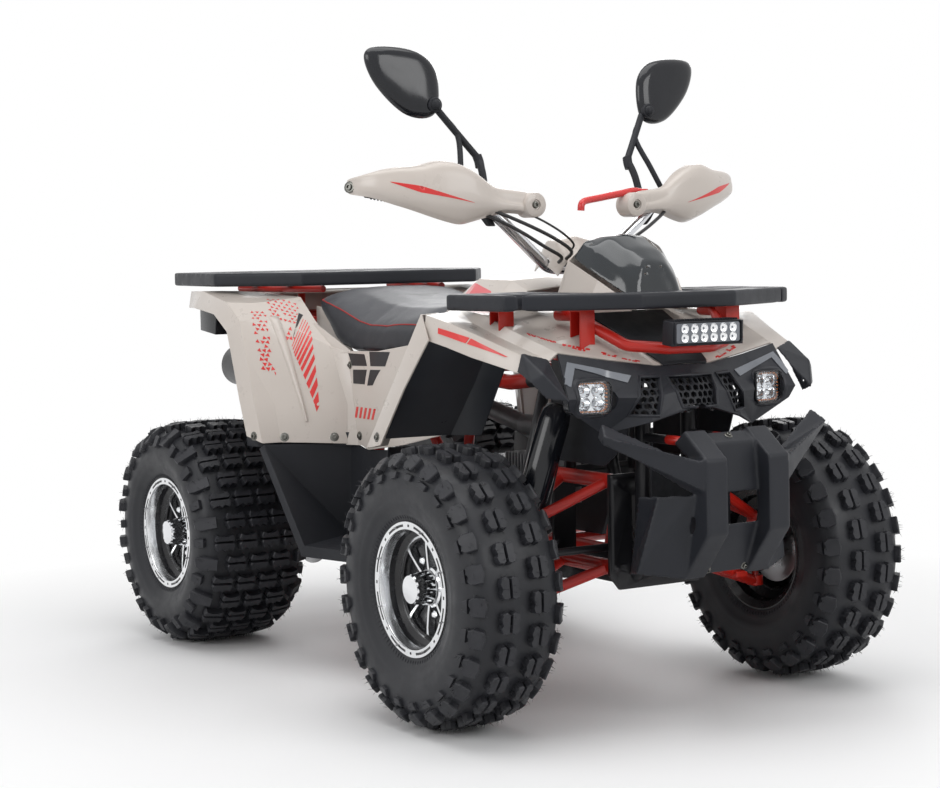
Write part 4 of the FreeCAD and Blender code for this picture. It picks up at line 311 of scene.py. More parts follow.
BLACK = (0.0115, 0.0125, 0.0155)
# The lighter edge colours below are partly rubbing and partly a painted highlight on proud edges.
FINISHES: tuple[Finish | Glass, ...] = (
    Finish("beige_panel", (0.575, 0.520, 0.475), (0.560, 0.505, 0.460), 0.32, coat=0.25, grains=500.0,
           depth=0.000012, edge_rub_and_highlight=0.06, edge_rub_and_highlight_colour=(0.66, 0.62, 0.58), dust=0.0, specular=0.4),
    Finish("red_powder", (0.50, 0.018, 0.010), (0.42, 0.013, 0.008), 0.34, coat=0.15, grains=650.0,
           depth=0.00004, edge_rub_and_highlight=0.2, edge_rub_and_highlight_colour=(0.62, 0.12, 0.08), dust=0.02, specular=0.35),
    Finish("red_film", (0.66, 0.022, 0.020), (0.60, 0.018, 0.017), 0.32, coat=0.3, grains=700.0, depth=0.00001,
           edge_rub_and_highlight=0.0, dust=0.0),
    Finish("pink_film", (0.70, 0.11, 0.13), (0.66, 0.09, 0.10), 0.34, coat=0.3, grains=700.0, depth=0.00001,
           edge_rub_and_highlight=0.0, dust=0.0),
    Finish("black_film", (0.015, 0.015, 0.018), (0.022, 0.022, 0.025), 0.36, grains=700.0, depth=0.00001,
           edge_rub_and_highlight=0.0, dust=0.0, specular=0.3),
    Finish("grained_black", BLACK, (0.015, 0.016, 0.020), 0.50, grains=1100.0, depth=0.00012, edge_rub_and_highlight=0.30,
           edge_rub_and_highlight_colour=(0.06, 0.06, 0.07), dust=0.03, dusty=(0.09, 0.09, 0.09), specular=0.22),
    Finish("satin_black", (0.020, 0.023, 0.029), (0.027, 0.030, 0.037), 0.34, grains=700.0, depth=0.00003,
           edge_rub_and_highlight=0.15, edge_rub_and_highlight_colour=(0.08, 0.08, 0.09), dust=0.02, dusty=(0.10, 0.10, 0.10), specular=0.35),
    Finish("bumper_black", (0.0150, 0.0165, 0.0210), (0.0190, 0.0205, 0.0260), 0.44, grains=1200.0, depth=0.00010,
           edge_rub_and_highlight=0.4, edge_rub_and_highlight_colour=(0.075, 0.075, 0.085), dust=0.03, dusty=(0.09, 0.09, 0.09), specular=0.25),
    Finish("gloss_black", (0.006, 0.007, 0.010), (0.009, 0.010, 0.014), 0.14, gloss_spread=0.04, coat=0.1,
           grains=400.0, depth=0.000008, edge_rub_and_highlight=0.1, dust=0.01, specular=0.35),
    Finish("smoked_visor", (0.010, 0.014, 0.018), (0.014, 0.019, 0.024), 0.10, gloss_spread=0.03, coat=0.3,
           grains=300.0, depth=0.000006, edge_rub_and_highlight=0.05, dust=0.0, specular=0.45),
    Finish("tyre_rubber", (0.0120, 0.0128, 0.0160), (0.0175, 0.0185, 0.0225), 0.44, gloss_spread=0.12,
           grains=1300.0, depth=0.00010, edge_rub_and_highlight=0.35, edge_rub_and_highlight_colour=(0.05, 0.05, 0.058), dust=0.06,
           dusty=(0.09, 0.088, 0.085), specular=0.32),
    Finish("grip_rubber", (0.010, 0.010, 0.011), (0.014, 0.014, 0.016), 0.62, grains=1500.0, depth=0.00012,
           specular=0.25),
    Finish("cable_black", (0.008, 0.008, 0.009), (0.012, 0.012, 0.013), 0.42, grains=900.0, depth=0.00004,
           specular=0.3),
    Finish("machined_rim", (0.80, 0.81, 0.82), (0.72, 0.73, 0.745), 0.17, gloss_spread=0.07, metallic=1.0,
           grains=700.0, depth=0.000015, edge_rub_and_highlight=0.0, dust=0.0, lay=Lay.BRUSHED_ROUND),
    Finish("rim_black", (0.007, 0.007, 0.009), (0.010, 0.010, 0.012), 0.24, coat=0.1, grains=700.0,
           depth=0.00002, specular=0.35),
    Finish("chrome", (0.82, 0.83, 0.84), (0.76, 0.77, 0.79), 0.07, gloss_spread=0.04, metallic=1.0, grains=500.0,
           depth=0.000006, edge_rub_and_highlight=0.0, dust=0.0),
    Finish("bar_alloy", (0.70, 0.71, 0.73), (0.62, 0.63, 0.66), 0.20, gloss_spread=0.06, metallic=1.0,
           grains=900.0, depth=0.00001, edge_rub_and_highlight=0.0, dust=0.02, lay=Lay.BRUSHED_ALONG),
    Finish("zinc_bolt", (0.17, 0.165, 0.15), (0.12, 0.12, 0.11), 0.30, metallic=1.0, grains=1400.0, depth=0.00003),
    Finish("cast_alloy", (0.26, 0.26, 0.27), (0.18, 0.18, 0.19), 0.46, gloss_spread=0.12, metallic=0.8,
           grains=800.0, depth=0.00016, edge_rub_and_highlight=0.4, edge_rub_and_highlight_colour=(0.50, 0.50, 0.51), dust=0.05),
    Finish("dark_enamel", (0.010, 0.010, 0.012), (0.015, 0.015, 0.018), 0.34, grains=900.0,
           depth=0.00005, edge_rub_and_highlight=0.4, edge_rub_and_highlight_colour=(0.12, 0.12, 0.13), dust=0.02, specular=0.3),
    Finish("steel_plain", (0.46, 0.46, 0.47), (0.36, 0.36, 0.37), 0.30, metallic=1.0, grains=900.0,
           depth=0.00003, edge_rub_and_highlight=0.2, dust=0.05),
    Finish("chain_steel", (0.20, 0.19, 0.17), (0.13, 0.12, 0.11), 0.38, metallic=1.0, grains=1200.0, depth=0.00005),
    Finish("seat_cover", (0.040, 0.042, 0.050), (0.052, 0.054, 0.063), 0.46, gloss_spread=0.06, grains=1500.0,
           depth=0.00016, edge_rub_and_highlight=0.0, dust=0.0, sheen=0.15),
    Finish("seat_side", (0.018, 0.019, 0.024), (0.025, 0.026, 0.032), 0.44, gloss_spread=0.06, grains=1100.0,
           depth=0.00020, edge_rub_and_highlight=0.0, dust=0.0, sheen=0.06, specular=0.35),
    Finish("red_thread", (0.35, 0.02, 0.018), (0.28, 0.015, 0.014), 0.70, grains=2500.0, depth=0.0001, edge_rub_and_highlight=0.0),
    Finish("lamp_silver", (0.86, 0.87, 0.88), (0.80, 0.81, 0.83), 0.10, gloss_spread=0.04, metallic=1.0,
           grains=400.0, depth=0.000006, edge_rub_and_highlight=0.0, dust=0.0),
    Finish("lamp_amber", (0.78, 0.22, 0.03), (0.70, 0.18, 0.02), 0.25, coat=0.6, grains=600.0, depth=0.00001,
           edge_rub_and_highlight=0.0, dust=0.0),
    Finish("lamp_pearl", (0.58, 0.60, 0.64), (0.48, 0.51, 0.56), 0.22, coat=0.6, grains=500.0, depth=0.00002,
           edge_rub_and_highlight=0.0, dust=0.0),
    Finish("brow_lens", (0.16, 0.175, 0.20), (0.11, 0.12, 0.145), 0.18, coat=0.8, grains=500.0, depth=0.00003,
           edge_rub_and_highlight=0.0, dust=0.0),
    Finish("tail_red", (0.32, 0.006, 0.006), (0.24, 0.004, 0.004), 0.12, coat=1.0, grains=500.0, depth=0.00001,
           edge_rub_and_highlight=0.0, dust=0.02),
    Finish("mirror_glass", (0.86, 0.88, 0.90), (0.83, 0.85, 0.88), 0.03, gloss_spread=0.015, metallic=1.0,
           grains=200.0, depth=0.000002, edge_rub_and_highlight=0.0, dust=0.0),
    Glass("clear_lens", (0.97, 0.98, 0.99)),
)


class Paintshop:
    """Every finish, built once."""

    def __init__(self) -> None:
        """Builds the shared groups, then each finish."""
        self.grain = grain_group()
        self.edge_rub_and_highlight = rubbed_and_highlit_edges_group()
        self.dust = dust_group()
        self.made = {finish.name: finish.build(self) for finish in FINISHES}

    def __getitem__(self, name: str) -> bpy.types.Material:
        """The material of that name."""
        return self.made[name]


# Meshes


def painted(mesh: bpy.types.Mesh, material: bpy.types.Material) -> bpy.types.Mesh:
    """A mesh all in one material."""
    mesh.materials.clear()
    mesh.materials.append(material)
    return mesh


def new_piece(name: str, mesh: bpy.types.Mesh, material: bpy.types.Material | None = None) -> bpy.types.Object:
    """Links a mesh as an object at the origin, in one material."""
    piece = bpy.data.objects.new(name, painted(mesh, material) if material else mesh)
    bpy.context.scene.collection.objects.link(piece)
    return piece


def shade(mesh: bpy.types.Mesh, degrees: float) -> None:
    """Shades a mesh smooth with its sharper edges kept."""
    mesh.polygons.foreach_set("use_smooth", [True] * len(mesh.polygons))
    mesh.set_sharp_from_angle(angle=math.radians(degrees))


def plain_mesh(bm: bmesh.types.BMesh, name: str) -> bpy.types.Mesh:
    """Turns a bmesh into a mesh as it is."""
    mesh = bpy.data.meshes.new(name)
    bm.to_mesh(mesh)
    bm.free()
    return mesh


def mesh_from(bm: bmesh.types.BMesh, name: str, smooth: float = 35.0) -> bpy.types.Mesh:
    """Turns a bmesh into a mesh that faces outwards, shaded smooth below an angle, in degrees."""
    bmesh.ops.recalc_face_normals(bm, faces=bm.faces)
    mesh = plain_mesh(bm, name)
    shade(mesh, smooth)
    return mesh


def solid_from(piece: bpy.types.Object) -> bpy.types.Mesh:
    """The evaluated mesh of an object, with its modifiers taken in."""
    graph = bpy.context.evaluated_depsgraph_get()
    graph.update()
    return bpy.data.meshes.new_from_object(piece.evaluated_get(graph))


def shaped(mesh: bpy.types.Mesh, *steps: tuple[str, dict[str, object]]) -> bpy.types.Mesh:
    """Takes modifiers into a mesh.

    Args:
        mesh: The mesh that they start from.
        steps: Each modifier's type and settings, in order.

    Returns:
        The plain result.
    """
    piece = new_piece("carrier", mesh)
    for kind, settings in steps:
        modifier = piece.modifiers.new(kind, kind)
        for name, value in settings.items():
            setattr(modifier, name, value)
    result = solid_from(piece)
    bpy.data.objects.remove(piece)
    return result


def join_meshes(name: str, meshes: Iterable[bpy.types.Mesh], moves: Iterable[Matrix] | None = None) -> bpy.types.Mesh:
    """Puts several meshes into one, each moved by its matrix, with their materials kept."""
    bm = bmesh.new()
    slots: list[bpy.types.Material] = []
    placed = list(moves) if moves is not None else []
    for number, mesh in enumerate(meshes):
        start = len(bm.faces)
        first_vertex = len(bm.verts)
        bm.from_mesh(mesh)
        bm.verts.ensure_lookup_table()
        bm.faces.ensure_lookup_table()
        if placed:
            bmesh.ops.transform(bm, matrix=placed[number], verts=bm.verts[first_vertex:])
        table = []
        for material in mesh.materials:
            if material not in slots:
                slots.append(material)
            table.append(slots.index(material))
        for face in bm.faces[start:]:
            if table:
                face.material_index = table[min(face.material_index, len(table) - 1)]
    joined = plain_mesh(bm, name)
    for material in slots:
        joined.materials.append(material)
    return joined


def bridge(bm: bmesh.types.BMesh, rings: Sequence[Sequence[bmesh.types.BMVert]], loop: bool = True,
           around: bool = False, caps: bool = False) -> None:
    """Joins equal rings of vertices with four-sided faces.

    Args:
        bm: The bmesh that holds them.
        rings: The rings in order.
        loop: Whether each ring closes on itself.
        around: Whether the last ring joins the first.
        caps: Whether the end rings are filled.
    """
    pairs = list(zip(rings, rings[1:])) + ([(rings[-1], rings[0])] if around else [])
    for ring, following in pairs:
        count = len(ring)
        for place in range(count if loop else count - 1):
            other = (place + 1) % count
            bm.faces.new((ring[place], ring[other], following[other], following[place]))
    if caps:
        bm.faces.new(rings[0])
        bm.faces.new(list(reversed(rings[-1])))


def loft(name: str, rings: Iterable[Iterable[Point | Vector]], smooth: float = 35.0, loop: bool = True,
         around: bool = False, caps: bool = False, weld: bool = False) -> bpy.types.Mesh:
    """Makes a mesh of equal rings of points, each joined to the next.

    Args:
        name: The mesh's name.
        rings: The rings' points.
        smooth: Edges that turn less than this, in degrees, are shaded smooth.
        loop: Whether each ring closes on itself.
        around: Whether the last ring joins the first.
        caps: Whether the end rings are filled.
        weld: Whether points that meet become one.

    Returns:
        The mesh.
    """
    bm = bmesh.new()
    bridge(bm, [[bm.verts.new(point) for point in ring] for ring in rings], loop, around, caps)
    if weld:
        bmesh.ops.remove_doubles(bm, verts=bm.verts, dist=TINY)
    return mesh_from(bm, name, smooth)


def round_edges(bm: bmesh.types.BMesh, width: float, segments: int) -> None:
    """Rounds every edge of a bmesh."""
    bmesh.ops.bevel(bm, geom=list(bm.edges), offset=width, segments=segments, profile=0.5, affect="EDGES")


def circle(count: int, radius: float = 1.0) -> list[Flat]:
    """Sine and cosine places round a circle."""
    turns = [math.tau * step / count for step in range(count)]
    return [(radius * math.sin(turn), radius * math.cos(turn)) for turn in turns]


def mirrored(points: Iterable[Point], way: int) -> list[Point]:
    """Points with their Y turned to the side of that way."""
    return [(x, y * way, z) for x, y, z in points]


def lathe(outline: Sequence[Flat], steps: int, name: str, closed: bool = True) -> bpy.types.Mesh:
    """Turns an outline of (place along Y, radius) about the Y axis.

    Args:
        outline: The outline's points in order.
        steps: How many faces go round.
        name: The mesh's name.
        closed: Whether the last point joins the first.

    Returns:
        The turned mesh.
    """
    rings = [[(radius * x, along, radius * z) for along, radius in outline] for x, z in circle(steps)]
    return loft(name, rings, loop=closed, around=True, weld=True)


def smooth_line(points: Sequence[Sequence[float]], steps: int) -> list[Vector]:
    """A smooth line through the points, with that many steps between each two."""
    knots = [Vector(point) for point in points]
    line = []
    for number in range(len(knots) - 1):
        before = knots[max(number - 1, 0)]
        start, end = knots[number], knots[number + 1]
        after = knots[min(number + 2, len(knots) - 1)]
        for step in range(steps):
            t = step / steps
            line.append(0.5 * ((2 * start) + (end - before) * t + (2 * before - 5 * start + 4 * end - after) * t * t
                               + (3 * start - before - 3 * end + after) * t * t * t))
    return line + [knots[-1]]


def tube(points: Sequence[Vector | Point], radius: float, sides: int = 12) -> bpy.types.Mesh:
    """A closed round tube along the points, its frame carried from one to the next."""
    line = [Vector(point) for point in points]
    rings = []
    across = Vector((0.0, 0.0, 1.0))
    for number, point in enumerate(line):
        ahead = (line[min(number + 1, len(line) - 1)] - line[max(number - 1, 0)]).normalized()
        if abs(across.dot(ahead)) > 0.95:
            across = Vector((0.0, 1.0, 0.0))
        across = (across - ahead * across.dot(ahead)).normalized()
        beside = ahead.cross(across)
        rings.append([point + (across * b + beside * a) * radius for a, b in circle(sides)])
    return loft("tube", rings, caps=True)


def middle_of(outline: Sequence[Flat]) -> Flat:
    """The mean of an outline's points."""
    first, second = (sum(point[axis] for point in outline) / len(outline) for axis in (0, 1))
    return first, second


def grown(outline: Sequence[Flat], share: float) -> list[Flat]:
    """An outline drawn out from its middle by a share, or drawn in by one under 1."""
    middle = middle_of(outline)
    return [(middle[0] + (a - middle[0]) * share, middle[1] + (b - middle[1]) * share) for a, b in outline]


def turned_over(outline: Sequence[Flat]) -> list[Flat]:
    """An outline on the other side, its first measure turned round."""
    return [(-a, b) for a, b in reversed(list(outline))]


def block(outline: Sequence[Flat], lift: Callable[[float, float, float], Vector], height: float,
          taper: float = 0.9, foot: float = 0.003) -> bpy.types.Mesh:
    """A raised block on a curved surface.

    Args:
        outline: The foot's outline in the surface's two measures.
        lift: Gives the place of the two measures at a height over the surface.
        height: How far the top stands over the surface.
        taper: The top's share of the foot.
        foot: How far the block is let into the surface.

    Returns:
        The block.
    """
    bm = bmesh.new()
    rings = [[bm.verts.new(lift(a, b, rise)) for a, b in grown(outline, share)]
             for share, rise in ((1.0, -foot), (0.5 + taper / 2, height * 0.85), (taper * 0.97, height))]
    bridge(bm, rings)
    bm.faces.new(list(reversed(rings[0])))
    bm.faces.new(rings[-1])
    return mesh_from(bm, "block", 30.0)


def rounded_copy(node: bpy.types.Object, width: float, steps: int = 2, sharp: float = 24.0,
                 facets: float = 1.0) -> bmesh.types.BMesh:
    """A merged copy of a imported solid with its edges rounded.

    Args:
        node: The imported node's object.
        width: The bevel's width in metres.
        steps: The bevel's segments.
        sharp: Edges that turn more than this, in degrees, are rounded.
        facets: Faces that turn less than this, in degrees, become one.

    Returns:
        The copy as a bmesh.
    """
    bm = bmesh.new()
    bm.from_mesh(node.data)
    bmesh.ops.remove_doubles(bm, verts=bm.verts, dist=WELD)
    bmesh.ops.dissolve_limit(bm, angle_limit=math.radians(facets), verts=bm.verts, edges=bm.edges)
    bmesh.ops.recalc_face_normals(bm, faces=bm.faces)
    edges = [edge for edge in bm.edges
             if len(edge.link_faces) == 2 and edge.calc_face_angle(0.0) > math.radians(sharp)]
    if width > 0 and edges:
        bmesh.ops.bevel(bm, geom=edges, offset=width, segments=steps, profile=0.5, affect="EDGES",
                        clamp_overlap=True, miter_outer="ARC", harden_normals=False)
    return bm


# Repeats made by geometry nodes


class Repeats:
    """The node trees that repeat, scatter and run pieces along a line."""

    def __init__(self) -> None:
        """Builds each tree once."""
        self.ring = self._ring_tree()
        self.line = self._line_tree()
        self.scatter = self._scatter_tree()

    @staticmethod
    def _start(name: str, inputs: Sequence[tuple[str, str, object]]) -> tuple[Graph, dict]:
        """An empty tree with a geometry, the named inputs, a material and one output."""
        tree = bpy.data.node_groups.new(name, "GeometryNodeTree")
        tree.interface.new_socket("Geometry", in_out="INPUT", socket_type="NodeSocketGeometry")
        for label, kind, value in inputs:
            socket = tree.interface.new_socket(label, in_out="INPUT", socket_type=kind)
            socket.default_value = value
        tree.interface.new_socket("Material", in_out="INPUT", socket_type="NodeSocketMaterial")
        tree.interface.new_socket("Geometry", in_out="OUTPUT", socket_type="NodeSocketGeometry")
        graph = Graph(tree)
        return graph, {socket.name: socket for socket in graph.add("NodeGroupInput").outputs}

    @staticmethod
    def _end(graph: Graph, given: dict, copies: bpy.types.Node) -> bpy.types.NodeTree:
        """Realizes the copies, gives them the material and returns the finished tree."""
        solid = graph.add("GeometryNodeRealizeInstances", {"Geometry": copies.outputs[0]})
        dressed = graph.add("GeometryNodeSetMaterial", {"Geometry": solid.outputs[0], "Material": given["Material"]})
        graph.add("NodeGroupOutput", {"Geometry": dressed.outputs[0]})
        return graph.tree

    def _ring_tree(self) -> bpy.types.NodeTree:
        """Turns copies of the piece about the Y axis."""
        graph, given = self._start("ring_of_pieces", (("Count", "NodeSocketInt", 8),))
        points = graph.add("GeometryNodeMeshLine", {"Count": given["Count"], "Offset": (0.0, 0.0, 0.0)})
        index = graph.add("GeometryNodeInputIndex")
        turn = graph.sum("MULTIPLY", graph.sum("DIVIDE", index.outputs[0], given["Count"]), math.tau)
        spin = graph.add("ShaderNodeCombineXYZ", {"Y": turn})
        return self._end(graph, given, graph.add("GeometryNodeInstanceOnPoints", {
            "Points": points.outputs[0], "Instance": given["Geometry"], "Rotation": spin.outputs[0]}))

    def _line_tree(self) -> bpy.types.NodeTree:
        """Sets copies of the piece in a straight row."""
        graph, given = self._start("row_of_pieces", (("Count", "NodeSocketInt", 6),
                                                    ("Step", "NodeSocketVector", (0.0, 0.01, 0.0))))
        points = graph.add("GeometryNodeMeshLine", {"Count": given["Count"], "Offset": given["Step"]})
        return self._end(graph, given, graph.add("GeometryNodeInstanceOnPoints", {
            "Points": points.outputs[0], "Instance": given["Geometry"]}))

    def _scatter_tree(self) -> bpy.types.NodeTree:
        """Stands thin hairs on the piece's faces, each leaning its own way."""
        graph, given = self._start("scattered_hairs", (
            ("Density", "NodeSocketFloat", 4000.0), ("Length", "NodeSocketFloat", 0.008),
            ("Thickness", "NodeSocketFloat", 0.0004), ("Seed", "NodeSocketInt", 4)))
        spots = graph.add("GeometryNodeDistributePointsOnFaces", {
            "Mesh": given["Geometry"], "Density": given["Density"], "Seed": given["Seed"]})
        hair = graph.add("GeometryNodeMeshCone", {"Vertices": 4, "Radius Bottom": given["Thickness"],
                                                  "Radius Top": 0.0001, "Depth": given["Length"]})
        lean = graph.add("FunctionNodeRandomValue", {"Seed": given["Seed"]}, data_type="FLOAT_VECTOR")
        lean.inputs[0].default_value = (-0.5, -0.5, 0.0)
        lean.inputs[1].default_value = (0.5, 0.5, 3.1)
        turned = graph.add("FunctionNodeRotateEuler", {"Rotation": spots.outputs["Rotation"],
                                                       "Rotate By": lean.outputs[0]}, space="LOCAL")
        return self._end(graph, given, graph.add("GeometryNodeInstanceOnPoints", {
            "Points": spots.outputs["Points"], "Instance": hair.outputs["Mesh"], "Rotation": turned.outputs[0]}))

    @staticmethod
    def grow(mesh: bpy.types.Mesh, tree: bpy.types.NodeTree, values: dict[str, object],
             material: bpy.types.Material) -> bpy.types.Mesh:
        """Runs a tree over a mesh and returns the plain result."""
        carrier = new_piece("carrier", mesh)
        modifier = carrier.modifiers.new("repeat", "NODES")
        modifier.node_group = tree
        for item in tree.interface.items_tree:
            if item.in_out == "INPUT" and item.name in values:
                modifier[item.identifier] = values[item.name]
            if item.in_out == "INPUT" and item.name == "Material":
                modifier[item.identifier] = material
        result = solid_from(carrier)
        bpy.data.objects.remove(carrier)
        return result


# The studio


@dataclass
class Studio:
    """The camera at the photograph's place, the soft lamps and the pale floor."""

    place: Point = (3.4059, -2.2160, 0.8078)
    yaw: float = 2.5699
    pitch: float = -0.0702
    roll: float = -0.0163
    focal_pixels: float = 2075.08
    picture_width: float = 940.0
    sensor: float = 36.0
    reach: float = 60.0
    world_strength: float = 0.42
    floor_radius: float = 14.0
    floor_fade: Flat = (0.95, 1.7)
    lights: tuple[tuple[str, Point, Point, float, float], ...] = (
        ("top_softbox", (0.4, -0.3, 3.4), (0.0, 0.0, 0.4), 3.2, 52.0),
        ("front_softbox", (3.6, 0.9, 2.1), (0.2, 0.0, 0.5), 2.0, 36.0),
        ("side_softbox", (0.6, -3.6, 1.9), (0.0, 0.0, 0.5), 2.2, 38.0),
        ("back_softbox", (-3.2, 2.4, 2.3), (0.0, 0.0, 0.5), 2.2, 34.0),
    )

    def camera(self) -> None:
        """Sets the solved camera."""
        ahead = Vector((math.cos(self.yaw) * math.cos(self.pitch), math.sin(self.yaw) * math.cos(self.pitch),
                        math.sin(self.pitch)))
        level = ahead.cross(Vector((0.0, 0.0, 1.0))).normalized()
        up = level.cross(ahead)
        right = level * math.cos(self.roll) + up * math.sin(self.roll)
        top = up * math.cos(self.roll) - level * math.sin(self.roll)
        data = bpy.data.cameras.new("photo_camera")
        data.sensor_width = self.sensor
        data.lens = self.focal_pixels / self.picture_width * self.sensor
        data.clip_end = self.reach
        camera = bpy.data.objects.new("photo_camera", data)
        turn = Matrix((right, top, -ahead)).transposed()
        camera.matrix_world = Matrix.Translation(self.place) @ turn.to_4x4()
        bpy.context.scene.collection.objects.link(camera)
        bpy.context.scene.camera = camera

    @staticmethod
    def lamp(name: str, place: Point, aim: Point, size: float, power: float) -> None:
        """One square soft lamp that faces a point."""
        data = bpy.data.lights.new(name, "AREA")
        data.shape = "RECTANGLE"
        data.size = size
        data.size_y = size * 0.7
        data.energy = power
        lamp = bpy.data.objects.new(name, data)
        lamp.location = place
        lamp.rotation_euler = (Vector(aim) - Vector(place)).to_track_quat("-Z", "Y").to_euler()
        bpy.context.scene.collection.objects.link(lamp)

    def lamps(self) -> None:
        """Large soft lamps from above and both sides, and a pale world."""
        for light in self.lights:
            self.lamp(*light)
        world = bpy.data.worlds.new("pale_room")
        world.use_nodes = True
        bpy.context.scene.world = world
        graph = Graph(world.node_tree)
        path = graph.add("ShaderNodeLightPath").outputs
        seen = graph.sum("MAXIMUM", path["Is Camera Ray"],
                         graph.sum("MAXIMUM", path["Is Glossy Ray"], path["Is Transmission Ray"]))
        graph.fill(world.node_tree.nodes["Background"], {
            "Strength": graph.spread(seen, FULL, (self.world_strength, 1.0)), "Color": WHITE})

    def floor(self) -> None:
        """A wide pale floor that fades into the white backdrop away from the machine."""
        bm = bmesh.new()
        bmesh.ops.create_circle(bm, cap_ends=True, segments=96, radius=self.floor_radius)
        material, graph, shader, place = start_material("pale_floor")
        graph.fill(shader, {"Base Color": (0.93, 0.93, 0.935, 1.0),
                            "Roughness": graph.spread(graph.noise(place, 3.0), (0.3, 0.7), (0.55, 0.65))})
        path = graph.add("ShaderNodeLightPath").outputs
        far = graph.add("ShaderNodeVectorMath", {0: place}, operation="LENGTH").outputs["Value"]
        far = graph.spread(far, self.floor_fade, FULL)
        seen = graph.sum("MAXIMUM", path["Is Camera Ray"], path["Is Glossy Ray"])
        white = graph.add("ShaderNodeEmission", {"Color": WHITE, "Strength": 1.0})
        mix = graph.add("ShaderNodeMixShader", {0: graph.sum("MULTIPLY", far, seen), 1: shader.outputs[0],
                                                2: white.outputs[0]})
        graph.put(material.node_tree.nodes["Material Output"].inputs[0], mix.outputs[0])
        new_piece("pale_floor", mesh_from(bm, "pale_floor"), material)

    def build(self) -> None:
        """Makes the whole studio."""
        bpy.context.scene.view_settings.view_transform = "Standard"
        self.camera()
        self.lamps()
        self.floor()


class Workshop:
    """What every class needs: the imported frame, the finishes and the repeats."""

    def __init__(self, frame: dict) -> None:
        """Keeps the frame and builds the finishes and trees."""
        self.nodes: dict[str, bpy.types.Object] = frame["nodes"]
        self.body_of: dict[str, str] = {name: node["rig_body"] for name, node in self.nodes.items()}
        self.paint = Paintshop()
        self.repeats = Repeats()

    def fit(self, name: str, mesh: bpy.types.Mesh, body: str, slot: str, material: str | None = None,
            replaces: Sequence[str] = ()) -> bpy.types.Object:
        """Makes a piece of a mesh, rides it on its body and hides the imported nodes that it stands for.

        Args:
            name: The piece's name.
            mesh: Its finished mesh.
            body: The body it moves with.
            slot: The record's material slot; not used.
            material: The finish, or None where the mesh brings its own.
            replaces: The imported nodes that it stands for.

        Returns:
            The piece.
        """
        piece = new_piece(name, mesh, self.paint[material] if material else None)
        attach(piece, body)
        if replaces:
            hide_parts(*replaces)
        LOG.info("%s: %d faces on %s", name, len(mesh.polygons), body)
        return piece

    def fit_wheels(self, whole: bpy.types.Mesh, sizes: "WheelSizes", name: str, part: str, slot: str) -> None:
        """Sets a copy of a wheel's part on each side of its axle.

        Args:
            whole: The part about the Y axis, for the left side.
            sizes: The wheel's measures.
            name: The pieces' name without its axle and side.
            part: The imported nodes' name without its axle and side.
            slot: The record's material slot.
        """
        for side, way in SIDES.items():
            mesh = whole.copy()
            mesh.transform(Matrix.Translation((sizes.x, way * sizes.y, sizes.radius))
                           @ Matrix.Rotation(0.0 if way > 0 else math.pi, 4, "Z"))
            for vertex in mesh.vertices:
                vertex.co.z = max(vertex.co.z, 0.0)
            node = f"{part}_{sizes.axle}_{side}"
            self.fit(f"{name}_{sizes.axle}_{side}", mesh, self.body_of[node], slot, replaces=(node,))


# Wheels


@dataclass
class WheelSizes:
    """The measures of one axle's wheels."""

    axle: str
    x: float
    y: float
    radius: float
    half_width: float
    bead: float
    pitches: int
    rim_edge: float
    cap_end: float
    lug: float
    hairs: float


FRONT = WheelSizes("front", 0.4665, 0.376, 0.2415, 0.0885, 0.103, 26, 0.0735, 0.0775, 0.0135, 5200.0)
REAR = WheelSizes("rear", -0.5375, 0.3325, 0.2285, 0.1195, 0.103, 16, 0.1000, 0.1040, 0.0150, 4200.0)
CARCASS = ((0.70, 0.00), (0.80, 0.06), (0.90, 0.20), (0.975, 0.38), (0.985, 0.52), (0.935, 0.70), (0.80, 0.825),
           (0.55, 0.872), (0.28, 0.885), (0.0, 0.888))


